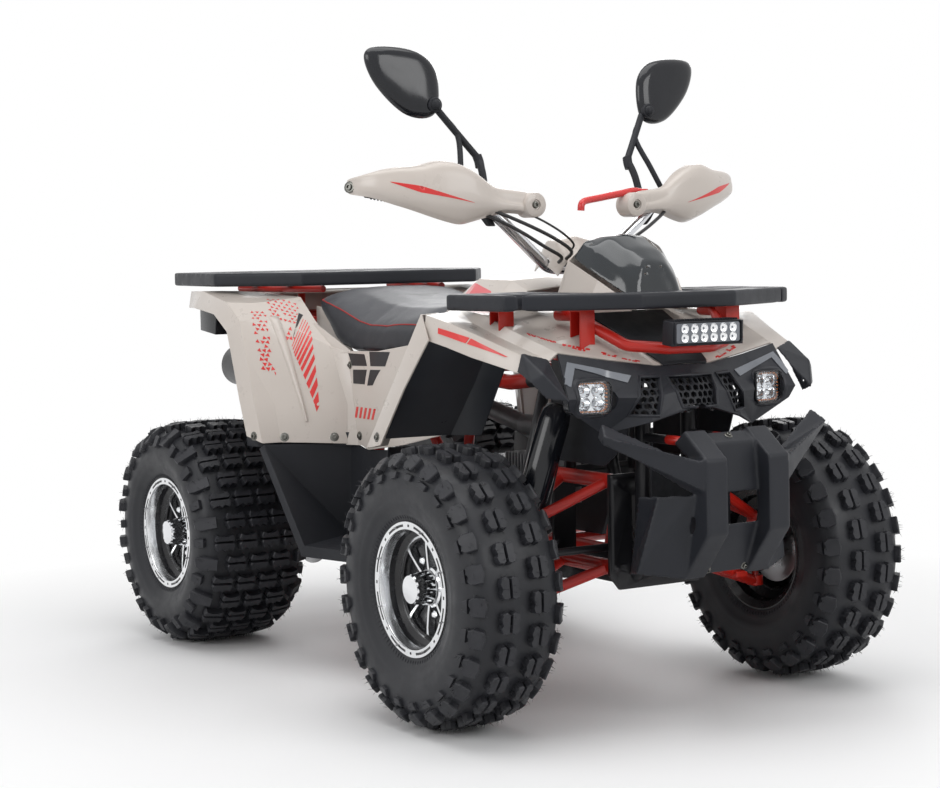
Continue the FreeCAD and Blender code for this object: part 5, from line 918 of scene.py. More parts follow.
@dataclass
class Tyre:
    """A tyre with its carcass, tread blocks, rim guard teeth and vent hairs."""

    shop: Workshop
    sizes: WheelSizes
    steps: int = 120
    rib: float = 0.0009
    rib_places: tuple[int, ...] = (9, 13)
    bead_inset: float = 0.006
    tooth_count: int = 96
    tooth: tuple[Flat, ...] = ((-3.4, -1.5), (3.4, -1.2), (3.4, 1.2), (-3.4, 1.5))
    tooth_height: float = 0.0011
    hair_length: float = 0.008
    hair_thickness: float = 0.00045

    def __post_init__(self) -> None:
        """Measures the skin's line from the middle of the tread to the bead."""
        sizes = self.sizes
        rise = sizes.radius - sizes.bead
        half = [(along * sizes.half_width, sizes.bead + up * rise) for along, up in CARCASS]
        whole = half + turned_over(half[:-1])
        self.line = [(point.x, point.y) for point in smooth_line([(a, r, 0.0) for a, r in whole], 5)]
        reach = 0.0
        self.skin: list[Point] = []
        middle = len(self.line) // 2
        for number in range(middle, -1, -1):
            along, radius = self.line[number]
            if number < middle:
                last = self.line[number + 1]
                reach += math.hypot(along - last[0], radius - last[1])
            self.skin.append((reach, along, radius))

    def on_skin(self, across: float, angle: float, rise: float) -> Vector:
        """The place at a distance across the tread, an angle round it and a rise over it."""
        way = 1.0 if across >= 0 else -1.0
        reach = abs(across)
        for (near, a0, r0), (far, a1, r1) in zip(self.skin, self.skin[1:]):
            if reach <= far:
                break
        share = (reach - near) / (far - near)
        along, radius = a0 + (a1 - a0) * share, r0 + (r1 - r0) * share
        out = Vector((r0 - r1, a1 - a0)).normalized()
        along += out.x * rise
        radius += out.y * rise
        return Vector((radius * math.sin(angle), way * along, radius * math.cos(angle)))

    def raised(self, across: float, phase: float, outline: Sequence[Flat], share: float = 1.0) -> bpy.types.Mesh:
        """One tread block at a place across and a share of the pitch, its outline in millimetres."""
        pitch = math.tau / self.sizes.pitches
        foot = [(across + a * MILLIMETRE, phase * pitch + c * MILLIMETRE / self.sizes.radius) for a, c in outline]
        return block(foot, self.on_skin, self.sizes.lug * share)

    def pitch_front(self) -> list[bpy.types.Mesh]:
        """The blocks of one pitch of the front tread."""
        half = ((1.6, -17), (7, -20), (14, -18), (17, -9), (14.5, -2), (17, 8), (14, 18), (6, 20), (1.6, 16))
        three = ((-10, -18), (5, -19), (12, -12), (9, -3), (13, 3), (12, 14), (4, 19), (-11, 16), (-13, 0))
        tip = ((-6, -15), (5, -11), (6, 9), (-6, 15))
        blocks = []
        for way, phase in ((1, 0.0), (-1, 0.5)):
            blocks += [self.raised(way * 0.029, phase, outline) for outline in (half, turned_over(half))]
            for outline, across, share in ((three, 0.079, 0.80), (tip, 0.102, 0.42)):
                shape = outline if way > 0 else turned_over(outline)
                blocks.append(self.raised(way * across, phase + 0.5, shape, share))
        return blocks

    def pitch_rear(self) -> list[bpy.types.Mesh]:
        """The blocks of one pitch of the rear tread: two staggered rows and the shoulders."""
        wide = ((-21, -4), (-17, -16), (-7, -12), (0, -17), (7, -12), (17, -16), (21, -4), (19, 0.5), (-19, 0.5))
        back = ((-19, 3.5), (19, 3.5), (21, 8), (17, 17), (6, 13), (-6, 13), (-17, 17), (-21, 8))
        blocks = []
        for phase, places in ((0.0, (-0.0735, -0.0245, 0.0245, 0.0735)), (0.5, (-0.049, 0.0, 0.049))):
            for across in places:
                blocks += [self.raised(across, phase, wide), self.raised(across, phase, back, 0.93)]
        long = ((-17, -13), (10, -17), (22, -12), (24, 10), (12, 15), (-17, 12))
        short = ((-12, -9), (10, -12), (12, 9), (-12, 12))
        for way in (1, -1):
            for outline, phase, across, share in ((long, 0.5, 0.103, 0.88), (short, 0.0, 0.122, 0.66)):
                shape = outline if way > 0 else turned_over(outline)
                blocks.append(self.raised(way * across, phase, shape, share))
        return blocks

    def carcass(self) -> bpy.types.Mesh:
        """The turned skin with two fine moulding ribs on each sidewall, closed at the bead."""
        ribs = self.rib_places + tuple(len(self.line) - 1 - place for place in self.rib_places)
        outline = [(along + math.copysign(self.rib if number in ribs else 0.0, along), radius)
                   for number, (along, radius) in enumerate(self.line)]
        edge, height = self.line[0][0] - self.bead_inset, self.sizes.bead - self.bead_inset * 0.3
        return lathe(outline + [(-edge, height), (edge, height)], self.steps, "carcass")

    def teeth(self) -> bpy.types.Mesh:
        """A ring of small moulded teeth near the bead, on both walls."""
        across, _along, radius = self.skin[-9]
        pair = [block([(way * (across + a * MILLIMETRE), c * MILLIMETRE / radius) for a, c in self.tooth],
                      self.on_skin, self.tooth_height) for way in (1, -1)]
        repeats = self.shop.repeats
        return repeats.grow(join_meshes("tooth", pair), repeats.ring, {"Count": self.tooth_count},
                            self.shop.paint["tyre_rubber"])

    def build(self) -> None:
        """Makes the tyre for both sides and puts each on its wheel."""
        rubber, repeats, sizes = self.shop.paint["tyre_rubber"], self.shop.repeats, self.sizes
        pitch = join_meshes("pitch", self.pitch_front() if sizes.axle == "front" else self.pitch_rear())
        shade(pitch, 30.0)
        tread = repeats.grow(pitch, repeats.ring, {"Count": sizes.pitches}, rubber)
        hairs = repeats.grow(tread.copy(), repeats.scatter, {
            "Density": sizes.hairs, "Length": self.hair_length, "Thickness": self.hair_thickness, "Seed": 7}, rubber)
        carcass = self.carcass()
        carcass.materials.append(rubber)
        whole = join_meshes("tyre", (carcass, tread, self.teeth(), hairs))
        self.shop.fit_wheels(whole, sizes, "knobbly_tyre", "tyre", "tyre_rubber")


@dataclass
class Rim:
    """A black rim with machined lip, face and spokes, a fluted cap, bolts and a valve."""

    shop: Workshop
    sizes: WheelSizes
    steps: int = 120
    spokes: int = 8
    nuts: int = 4
    dish: float = 0.034
    wall: float = 0.0028
    well: float = 0.082
    plate: float = 0.0016
    cells: int = 240
    window_share: float = 0.30
    lip_circles: tuple[float, ...] = (0.1010, 0.1052, 0.1073, 0.1094, 0.1138)
    face_circles: tuple[float, ...] = (0.0845, 0.0850, 0.08525, 0.0855, 0.0978)
    stem_turn: float = math.tau * 0.56

    def ring_plate(self, circles: Sequence[float], depth: float, open_share: float) -> bpy.types.Mesh:
        """A flat ring about Y, with windows and bolt holes as real openings in its middle bands.

        Args:
            circles: The ring's circles from its inner edge to its outer one.
            depth: Where its outer face lies along Y.
            open_share: Half a window's share of the space between two spokes, 0 for a plain ring.

        Returns:
            The ring.
        """
        bm = bmesh.new()
        rings = [[bm.verts.new((radius * x, depth, radius * z)) for radius in circles]
                 for x, z in circle(self.cells)]
        share = self.spokes / self.cells
        for turn, (ring, following) in enumerate(zip(rings, rings[1:] + rings[:1])):
            off = abs(((turn + 0.5) * share) % 1.0 - 0.5)
            pierced = open_share and (off < open_share or off > 0.5 - share)
            for band in range(len(circles) - 1):
                if not (pierced and band in (1, 2)):
                    bm.faces.new((ring[band], ring[band + 1], following[band + 1], following[band]))
        extruded = bmesh.ops.extrude_face_region(bm, geom=list(bm.faces))
        moved = [item for item in extruded["geom"] if isinstance(item, bmesh.types.BMVert)]
        bmesh.ops.translate(bm, vec=(0.0, -self.plate, 0.0), verts=moved)
        return mesh_from(bm, "ring", 30.0)

    @staticmethod
    def spoke(face: float, depth: float = 0.012, flare: float = 1.6) -> bpy.types.Mesh:
        """One machined rib from the hub to the face ring, slightly dished."""
        stations = ((0.024, 0.0030, -0.004), (0.045, 0.0024, -0.0015), (0.068, 0.0022, 0.0005), (0.088, 0.0040, 0.0))
        rings = [((half, face + drop, radius), (-half, face + drop, radius),
                  (-half * flare, face + drop - depth, radius), (half * flare, face + drop - depth, radius))
                 for radius, half, drop in stations]
        return loft("spoke", rings, 30.0, caps=True)

    @staticmethod
    def cap(face: float, end: float, flutes: int = 12) -> bpy.types.Mesh:
        """The fluted chrome cap with a faceted end."""
        stations = ((face - 0.004, 0.034, 0.0), (face + 0.003, 0.034, 0.0), (face + 0.006, 0.0295, 0.0010),
                    (end - 0.016, 0.0265, 0.0020), (end - 0.006, 0.0255, 0.0016), (end - 0.003, 0.0235, 0.0),
                    (end - 0.001, 0.014, 0.0006), (end, 0.004, 0.0))
        rings = []
        for y, radius, depth in stations:
            fluted = [radius - (depth if turn % 6 in (2, 3, 4) else 0.0) for turn in range(flutes * 6)]
            rings.append([(part * x, y, part * z) for part, (x, z) in zip(fluted, circle(flutes * 6))])
        return loft("cap", rings, 25.0, caps=True)

    @staticmethod
    def nut(turn: float, radius: float, y: float, size: float) -> bpy.types.Mesh:
        """A hexagon nut with a domed end, at a turn about the axle and a radius from it."""
        shoulder, across_flats = 0.0065, 0.94
        outline = ((0.0, -0.004), (0.95, -0.004), (1.0, 0.004), (0.8, shoulder), (0.5, 0.008), (0.0, 0.0085))
        rings = [[(share * size * x, y + rise,
                   radius + share * size * z * (1.0 if rise > shoulder or k % 2 == 0 else across_flats))
                  for k, (x, z) in enumerate(circle(12))] for share, rise in outline]
        mesh = loft("nut", rings, 25.0, weld=True)
        mesh.transform(Matrix.Rotation(turn, 4, "Y"))
        return mesh

    def build(self) -> None:
        """Makes the rim for both sides."""
        paint, repeats, wall, well = self.shop.paint, self.shop.repeats, self.wall, self.well
        lip, back = self.sizes.rim_edge, -self.sizes.rim_edge
        face, seat = lip - self.dish, self.sizes.bead - 0.001
        black, machined = paint["rim_black"], paint["machined_rim"]
        barrel = lathe([(lip + 0.0005, 0.1145), (lip - 0.004, 0.1150), (lip - 0.008, 0.1120), (lip - 0.0095, seat),
                        (lip - 0.026, seat - 0.001), (lip - 0.036, well), (back + 0.040, well),
                        (back + 0.028, seat - 0.001), (back + 0.0095, seat), (back + 0.008, 0.1120),
                        (back + 0.004, 0.1150), (back, 0.1145), (back, 0.1145 - wall), (back + 0.009, seat - wall),
                        (back + 0.030, seat - wall - 0.002), (back + 0.042, well - wall), (face - 0.012, well - wall),
                        (face - 0.010, 0.0985 - wall), (lip - 0.0015, 0.1015 - wall * 0.3), (lip + 0.0005, 0.1022)],
                       self.steps, "barrel")
        polished = lathe([(face - 0.001, 0.0972), (lip - 0.001, 0.1003), (lip + 0.0008, 0.1012),
                          (lip + 0.0012, 0.1020), (lip - 0.002, 0.1008), (face - 0.002, 0.0978)],
                         self.steps, "polished")
        disc = lathe([(face - 0.016, 0.0), (face - 0.016, 0.086), (face - 0.0005, 0.0985), (face - 0.0005, 0.0850),
                      (face - 0.012, 0.0800), (face - 0.013, 0.034), (face - 0.004, 0.030), (face - 0.004, 0.0)],
                     self.steps, "disc", closed=False)
        between = math.tau / self.spokes / 2
        outwards = Vector((math.sin(self.stem_turn), 0.0, math.cos(self.stem_turn)))
        stem = tube([outwards * radius + Vector((0.0, face + rise, 0.0))
                     for radius, rise in ((0.0985, 0.008), (0.088, 0.016), (0.080, 0.024))], 0.0038, 12)
        whole = join_meshes("rim", (
            painted(barrel, black), painted(polished, machined),
            painted(self.ring_plate(self.lip_circles, lip + 0.0018, self.window_share), machined),
            painted(self.ring_plate(self.face_circles, face + 0.0012, 0.0), machined), painted(disc, black),
            repeats.grow(self.spoke(face + 0.0014), repeats.ring, {"Count": self.spokes}, machined),
            repeats.grow(self.nut(between, 0.1072, lip - 0.0016, 0.0020), repeats.ring, {"Count": self.spokes},
                         paint["steel_plain"]),
            repeats.grow(self.nut(between, 0.047, face - 0.006, 0.0072), repeats.ring, {"Count": self.nuts},
                         paint["chrome"]),
            painted(self.cap(face - 0.008, self.sizes.cap_end), paint["chrome"]),
            painted(stem, paint["grip_rubber"])))
        self.shop.fit_wheels(whole, self.sizes, "machined_rim", "rim", "rim_steel")


# Moulded panels


@dataclass(frozen=True)
class Shell:
    """How one packed panel is rounded, or remeshed where it has a voxel size."""

    node: str
    width: float = 0.0022
    steps: int = 3
    sharp: float = 20.0
    voxel: float = 0.0
    passes: int = 6


SHELLS: dict[tuple[str, str], tuple[Shell, ...]] = {
    ("beige_panel", "panel_plastic"): (
        Shell("front_fender"), Shell("rear_fender"), Shell("side_covers", 0.0015),
        Shell("tank_cover", 0.007, 4, 12.0), Shell("dash_cowl", 0.004),
        Shell("bar_cover", voxel=0.0024, passes=10)),
    ("bumper_black", "black_plastic"): (
        Shell("fender_tips", voxel=0.0022), Shell("bumper", voxel=0.0028, passes=4),
        Shell("front_rack", voxel=0.0032), Shell("rear_rack", voxel=0.0036)),
    ("grained_black", "black_plastic"): (
        Shell("hood_strip"), Shell("footwells"), Shell("airbox", 0.003), Shell("controls", 0.001),
        Shell("light_bar", 0.001)),
    ("satin_black", "black_plastic"): (Shell("front_liners", 0.0012),),
    ("smoked_visor", "gloss_black"): (Shell("dash_visor", voxel=0.0030, passes=70),),
    ("gloss_black", "lamp_lens"): (Shell("tail_lamps", 0.002),),
    ("red_powder", "red_steel"): (
        Shell("frame", 0.0, 1, 180.0), Shell("lower_arms", 0.0008), Shell("upper_arms", 0.0008),
        Shell("swing_arm", 0.001), Shell("front_rack_frame", 0.0008), Shell("rear_rack_frame", 0.0008)),
    ("cast_alloy", "engine_metal"): (Shell("engine", 0.0012), Shell("carburettor", 0.0008)),
    ("dark_enamel", "dark_steel"): (
        Shell("exhaust", 0.001), Shell("steering_column", 0.0008), Shell("knuckle_right", 0.0008),
        Shell("knuckle_left", 0.0008), Shell("tie_rod_right", 0.0006), Shell("tie_rod_left", 0.0006),
        Shell("front_shocks", 0.0008), Shell("rear_shock", 0.0008)),
    ("bar_alloy", "chrome_bar"): (Shell("handlebar", 0.0),),
    ("steel_plain", "bare_steel"): (
        Shell("brake_disc_front_right", 0.0004), Shell("brake_disc_front_left", 0.0004), Shell("rear_axle", 0.0006)),
    ("grip_rubber", "grip_rubber"): (Shell("grips", 0.0008),),
    ("chain_steel", "bare_steel"): (Shell("chain", 0.0),),
}


class Shells:
    """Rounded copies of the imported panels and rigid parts, each in its finish."""

    DARK_SPAN: Flat = (0.30, 0.655)
    DARK_TOP = 0.72

    def __init__(self, shop: Workshop) -> None:
        """Keeps the workshop and an empty list of what was made."""
        self.shop = shop
        self.made: dict[str, bpy.types.Object] = {}

    def build(self) -> None:
        """Makes each shell and stands it for its node."""
        for (finish, slot), group in SHELLS.items():
            for shell in group:
                mesh = self.softened(shell) if shell.voxel else self.rounded(shell)
                self.made[shell.node] = self.shop.fit(shell.node + "_shell", mesh, self.shop.body_of[shell.node],
                                                      slot, finish, replaces=(shell.node,))
        near, far = self.DARK_SPAN
        self.repaint("frame", "dark_enamel", lambda polygon: near < polygon.center.x < far
                     and polygon.center.z < self.DARK_TOP)
        self.repaint("tail_lamps", "tail_red", lambda polygon: polygon.normal.x < -0.7)

    def rounded(self, shell: Shell) -> bpy.types.Mesh:
        """A shell with its edges rounded, cut where its second finish begins."""
        bm = rounded_copy(self.shop.nodes[shell.node], shell.width, shell.steps, shell.sharp)
        if shell.node == "frame":
            for place, axis in ((self.DARK_SPAN[0], 0), (self.DARK_SPAN[1], 0), (self.DARK_TOP, 2)):
                facing = Vector(float(number == axis) for number in range(3))
                bmesh.ops.bisect_plane(bm, geom=bm.verts[:] + bm.edges[:] + bm.faces[:], plane_co=facing * place,
                                       plane_no=facing)
        bmesh.ops.triangulate(bm, faces=[face for face in bm.faces if len(face.verts) > 4])
        mesh = plain_mesh(bm, shell.node)
        shade(mesh, 32.0)
        return mesh

    def softened(self, shell: Shell) -> bpy.types.Mesh:
        """A shell whose edges are rounded all over, from a fine remesh."""
        mesh = shaped(plain_mesh(rounded_copy(self.shop.nodes[shell.node], 0.0), shell.node),
                      ("REMESH", {"mode": "VOXEL", "voxel_size": shell.voxel}),
                      ("SMOOTH", {"iterations": shell.passes, "factor": 0.5}), ("DECIMATE", {"ratio": 0.6}))
        shade(mesh, 60.0)
        return mesh

    def repaint(self, node: str, finish: str, chosen: Callable[[bpy.types.MeshPolygon], bool]) -> None:
        """Gives some faces of a shell a second finish."""
        mesh = self.made[node].data
        mesh.materials.append(self.shop.paint[finish])
        for polygon in mesh.polygons:
            if chosen(polygon):
                polygon.material_index = 1


class Skin:
    """The outer surface of some pieces, to lay small things on."""

    def __init__(self, *pieces: bpy.types.Object) -> None:
        """Gathers the pieces' faces into one search tree."""
        points: list[Vector] = []
        faces: list[tuple[int, ...]] = []
        for piece in pieces:
            start = len(points)
            points += [vertex.co.copy() for vertex in piece.data.vertices]
            faces += [tuple(start + index for index in polygon.vertices) for polygon in piece.data.polygons]
        self.tree = BVHTree.FromPolygons(points, faces)

    def near(self, point: Vector, lift: float = 0.0) -> tuple[Vector, Vector]:
        """The skin's nearest place to a point, lifted off it, and its facing."""
        place, facing, _index, _far = self.tree.find_nearest(point)
        return place + facing * lift, facing

    def drop(self, point: Vector, out: Vector, lift: float = 0.0) -> Vector:
        """The skin's place met from outside at a point, lifted off it."""
        place, _facing, _index, _far = self.tree.ray_cast(point + out * 0.05, -out, 0.10)
        return self.near(point, lift)[0] if place is None else place + out * lift

    def ahead(self, y: float, z: float, start: float = 0.9) -> Vector | None:
        """Where the skin is first met from in front of the machine, or None."""
        return self.tree.ray_cast(Vector((start, y, z)), Vector((-1.0, 0.0, 0.0)))[0]


Patch = tuple[Flat, Flat, Flat, Flat]
WHOLE: tuple[Patch, ...] = (((0.0, 0.0), (1.0, 0.0), (1.0, 1.0), (0.0, 1.0)),)
FILM = 0.00045
SLANTED_BARS: tuple[Patch, ...] = (
    ((-0.091, 0.314), (0.555, -0.016), (0.567, -0.006), (-0.073, 0.324)),
    ((-0.071, 0.350), (0.645, 0.000), (0.659, 0.012), (-0.049, 0.361)),
    ((-0.038, 0.385), (0.708, 0.030), (0.724, 0.047), (-0.015, 0.400)),
    ((-0.011, 0.413), (0.749, 0.073), (0.770, 0.096), (0.027, 0.435)),
    ((0.051, 0.452), (0.764, 0.144), (0.800, 0.176), (0.103, 0.475)),
    ((0.113, 0.492), (0.782, 0.216), (0.790, 0.264), (0.171, 0.532)),
    ((0.194, 0.554), (0.778, 0.314), (0.788, 0.366), (0.250, 0.592)),
    ((0.281, 0.627), (0.790, 0.418), (0.810, 0.476), (0.354, 0.676)),
    ((0.384, 0.716), (0.815, 0.531), (0.824, 0.604), (0.476, 0.776)),
    ((0.496, 0.805), (0.836, 0.660), (0.850, 0.746), (0.588, 0.876)),
    ((0.610, 0.900), (0.844, 0.807), (0.846, 0.957), (0.728, 1.010)),
)


class Films:
    """Thin plain coloured films on the panels: bars, chips and tapered stripes."""

    SUNK = 0.0008
    PANELS = ("front_fender", "rear_fender", "side_covers", "tank_cover", "hood_strip")

    def __init__(self, shop: Workshop, shells: Shells) -> None:
        """Gathers the panels that carry films."""
        self.shop = shop
        self.skin = Skin(*(shells.made[name] for name in self.PANELS))
        self.rng = random.Random(11)

    @classmethod
    def lay(cls, skin: Skin, corners: Sequence[Point], patches: Sequence[Patch], lift: float = FILM,
            steps: tuple[int, int] = (6, 3), crown: float = 0.0, facing: Point | None = None) -> bpy.types.Mesh:
        """Lays four-sided patches on a skin.

        Args:
            skin: The surface that carries them.
            corners: Four points near it, for (0, 0), (1, 0), (1, 1) and (0, 1).
            patches: Each patch's four corners in those measures.
            lift: How far the film stands off the skin.
            steps: How finely each patch follows the skin.
            crown: How much further the middle of each patch stands off.
            facing: Roughly which way the skin faces there, where it isn't plainly outwards.

        Returns:
            The films as closed thin solids.
        """
        bm = bmesh.new()
        a, b, c, d = (Vector(corner) for corner in corners)
        out = (b - a + c - d).cross(d - a + c - b).normalized()
        middle = (a + b + c + d) / 4
        if out.dot(Vector(facing) if facing else Vector((0.0, middle.y, middle.z - 0.45))) < 0:
            out.negate()

        def place(u: float, v: float, rise: float) -> Vector:
            """The skin's place for the two measures."""
            flat = (a * (1 - u) + b * u) * (1 - v) + (d * (1 - u) + c * u) * v
            return skin.drop(flat, out, rise)

        across, up = steps
        for first, second, third, fourth in patches:
            sheets = []
            for rise in (-cls.SUNK, lift):
                grid = []
                for i in range(across + 1):
                    s = i / across
                    low = (first[0] + (second[0] - first[0]) * s, first[1] + (second[1] - first[1]) * s)
                    high = (fourth[0] + (third[0] - fourth[0]) * s, fourth[1] + (third[1] - fourth[1]) * s)
                    swell = crown * 4 * s * (1 - s) if rise > 0 else 0.0
                    grid.append([bm.verts.new(place(low[0] + (high[0] - low[0]) * j / up,
                                                    low[1] + (high[1] - low[1]) * j / up, rise + swell))
                                 for j in range(up + 1)])
                sheets.append(grid)
            for i in range(across):
                for j in range(up):
                    for number, grid in enumerate(sheets):
                        face = [grid[i][j], grid[i + 1][j], grid[i + 1][j + 1], grid[i][j + 1]]
                        bm.faces.new(face if number else list(reversed(face)))
            border = ([(i, 0) for i in range(across)] + [(across, j) for j in range(up)]
                      + [(i, up) for i in range(across, 0, -1)] + [(0, j) for j in range(up, 0, -1)])
            for (i, j), (k, m) in zip(border, border[1:] + border[:1]):
                bm.faces.new((sheets[0][i][j], sheets[0][k][m], sheets[1][k][m], sheets[1][i][j]))
        bmesh.ops.remove_doubles(bm, verts=bm.verts, dist=2e-6)
        return mesh_from(bm, "film", 40.0)

    def both(self, name: str, corners: Sequence[Point], patches: Sequence[Patch], finish: str,
             steps: tuple[int, int] = (6, 3), lift: float = FILM) -> None:
        """Lays the same films on the right side and, mirrored, on the left."""
        for side, way in SIDES.items():
            mesh = self.lay(self.skin, mirrored(corners, -way), patches, lift, steps)
            self.shop.fit(f"{name}_{side}", mesh, "chassis", "panel_plastic", finish)

    def chips(self, rows: int, columns: int, top: float, low: float) -> list[Patch]:
        """Rows of small triangles, turned this way and that, that thin out down the panel."""
        made = []
        for row in range(rows):
            v = (row + 0.5) / rows
            size = top + (low - top) * v
            for column in range(columns):
                if self.rng.random() > 1.06 - 0.55 * v:
                    continue
                u = (column + 0.5 + (0.25 if row % 2 else -0.25)) / columns + 0.10 * v
                turn = (1.57 if (row + column) % 2 else -1.57) + self.rng.uniform(-0.35, 0.35)
                tips = [(u + size / columns * math.cos(turn + k * 2.094), v + size / rows * math.sin(turn + k * 2.094))
                        for k in range(3)]
                tips = [(min(max(p, 0.0), 1.0), min(max(q, 0.0), 1.0)) for p, q in tips]
                made.append((tips[0], tips[1], tips[2], tips[2]))
        return made

    def build(self) -> None:
        """Lays every film."""
        flank = ((-0.2952, -0.2608, 0.6700), (-0.2786, -0.2170, 0.6689), (-0.2015, -0.2435, 0.4881),
                 (-0.2181, -0.2873, 0.4892))
        self.both("fender_bars", flank, SLANTED_BARS, "red_film", steps=(10, 2))
        self.both("fender_wedge", flank, (((0.416, -0.100), (0.590, -0.070), (0.353, 0.030), (-0.023, 0.232)),),
                  "black_film")
        self.both("fender_chips", ((-0.346, -0.325, 0.690), (-0.330, -0.298, 0.690), (-0.262, -0.312, 0.560),
                                   (-0.280, -0.334, 0.560)), self.chips(16, 3, 0.42, 0.60), "red_film", steps=(2, 2))
        self.both("shoulder_chips", ((-0.385, -0.268, 0.713), (-0.325, -0.224, 0.700), (-0.262, -0.268, 0.628),
                                     (-0.292, -0.300, 0.628)), self.chips(11, 6, 0.34, 0.56), "red_film", steps=(2, 2))
        stripe = (((0.0, 0.45), (0.45, 0.12), (0.45, 0.80), (0.03, 0.95)), ((0.47, 0.12), (1.0, 0.42), (0.97, 0.55),
                                                                           (0.47, 0.80)))
        self.both("fender_stripe", ((0.398, -0.338, 0.680), (0.552, -0.299, 0.631), (0.544, -0.304, 0.620),
                                    (0.392, -0.343, 0.663)), stripe, "red_film", steps=(16, 4), lift=0.0012)
        dashes = []
        for row in range(2):
            place = 0.0
            while place < 0.94:
                size = self.rng.uniform(0.016, 0.040)
                if self.rng.random() < 0.85 - 0.35 * place:
                    low = row * 0.52
                    dashes.append(((place, low), (place + size, low), (place + size + 0.006, low + 0.38),
                                   (place + 0.006, low + 0.38)))
                place += size + 0.012
        band = ((0.508, -0.233, 0.659), (0.556, -0.201, 0.643), (0.599, -0.149, 0.627), (0.626, -0.080, 0.609))
        for number, (near, far) in enumerate(zip(band, band[1:])):
            part = [patch for patch in dashes if number / 3 <= patch[0][0] < (number + 1) / 3 - 0.02]
            part = [tuple((u * 3 - number, v) for u, v in patch) for patch in part]
            rise = 0.0085 - 0.0018 * number
            self.both(f"hood_dashes_{number}", (near, far, (far[0] - rise, far[1] + 0.002, far[2] + 0.0015),
                                                (near[0] - rise - 0.002, near[1] + 0.002, near[2] + 0.0015)),
                      part, "red_film", steps=(3, 2), lift=0.0010)
        self.both("tank_flash", ((0.085, -0.120, 0.715), (0.235, -0.118, 0.705), (0.225, -0.086, 0.742),
                                 (0.095, -0.080, 0.747)),
                  (((0.0, 0.0), (1.0, 0.0), (0.75, 0.55), (0.08, 0.95)),), "pink_film", steps=(14, 5))
        blocks = (((0.00, 0.10), (0.42, 0.10), (0.50, 0.42), (0.06, 0.42)), ((0.54, 0.02), (1.0, 0.0), (1.0, 0.42),
                                                                           (0.60, 0.42)),
                  ((0.08, 0.52), (0.50, 0.52), (0.44, 0.92), (0.02, 0.88)), ((0.60, 0.52), (0.90, 0.52), (0.74, 0.96),
                                                                           (0.54, 0.96)))
        self.both("side_blocks", ((-0.172, -0.204, 0.612), (-0.010, -0.204, 0.612), (-0.045, -0.204, 0.545),
                                  (-0.152, -0.204, 0.536)), blocks, "black_film", steps=(6, 4))
        self.both("side_bars", ((-0.150, -0.204, 0.500), (-0.060, -0.204, 0.500), (-0.064, -0.204, 0.478),
                                (-0.150, -0.204, 0.478)),
                  tuple(((0.0 + k * 0.2, 1.0), (0.10 + k * 0.2, 1.0), (0.19 + k * 0.2, 0.0), (0.09 + k * 0.2, 0.0))
                        for k in range(5)), "red_film", steps=(3, 3))


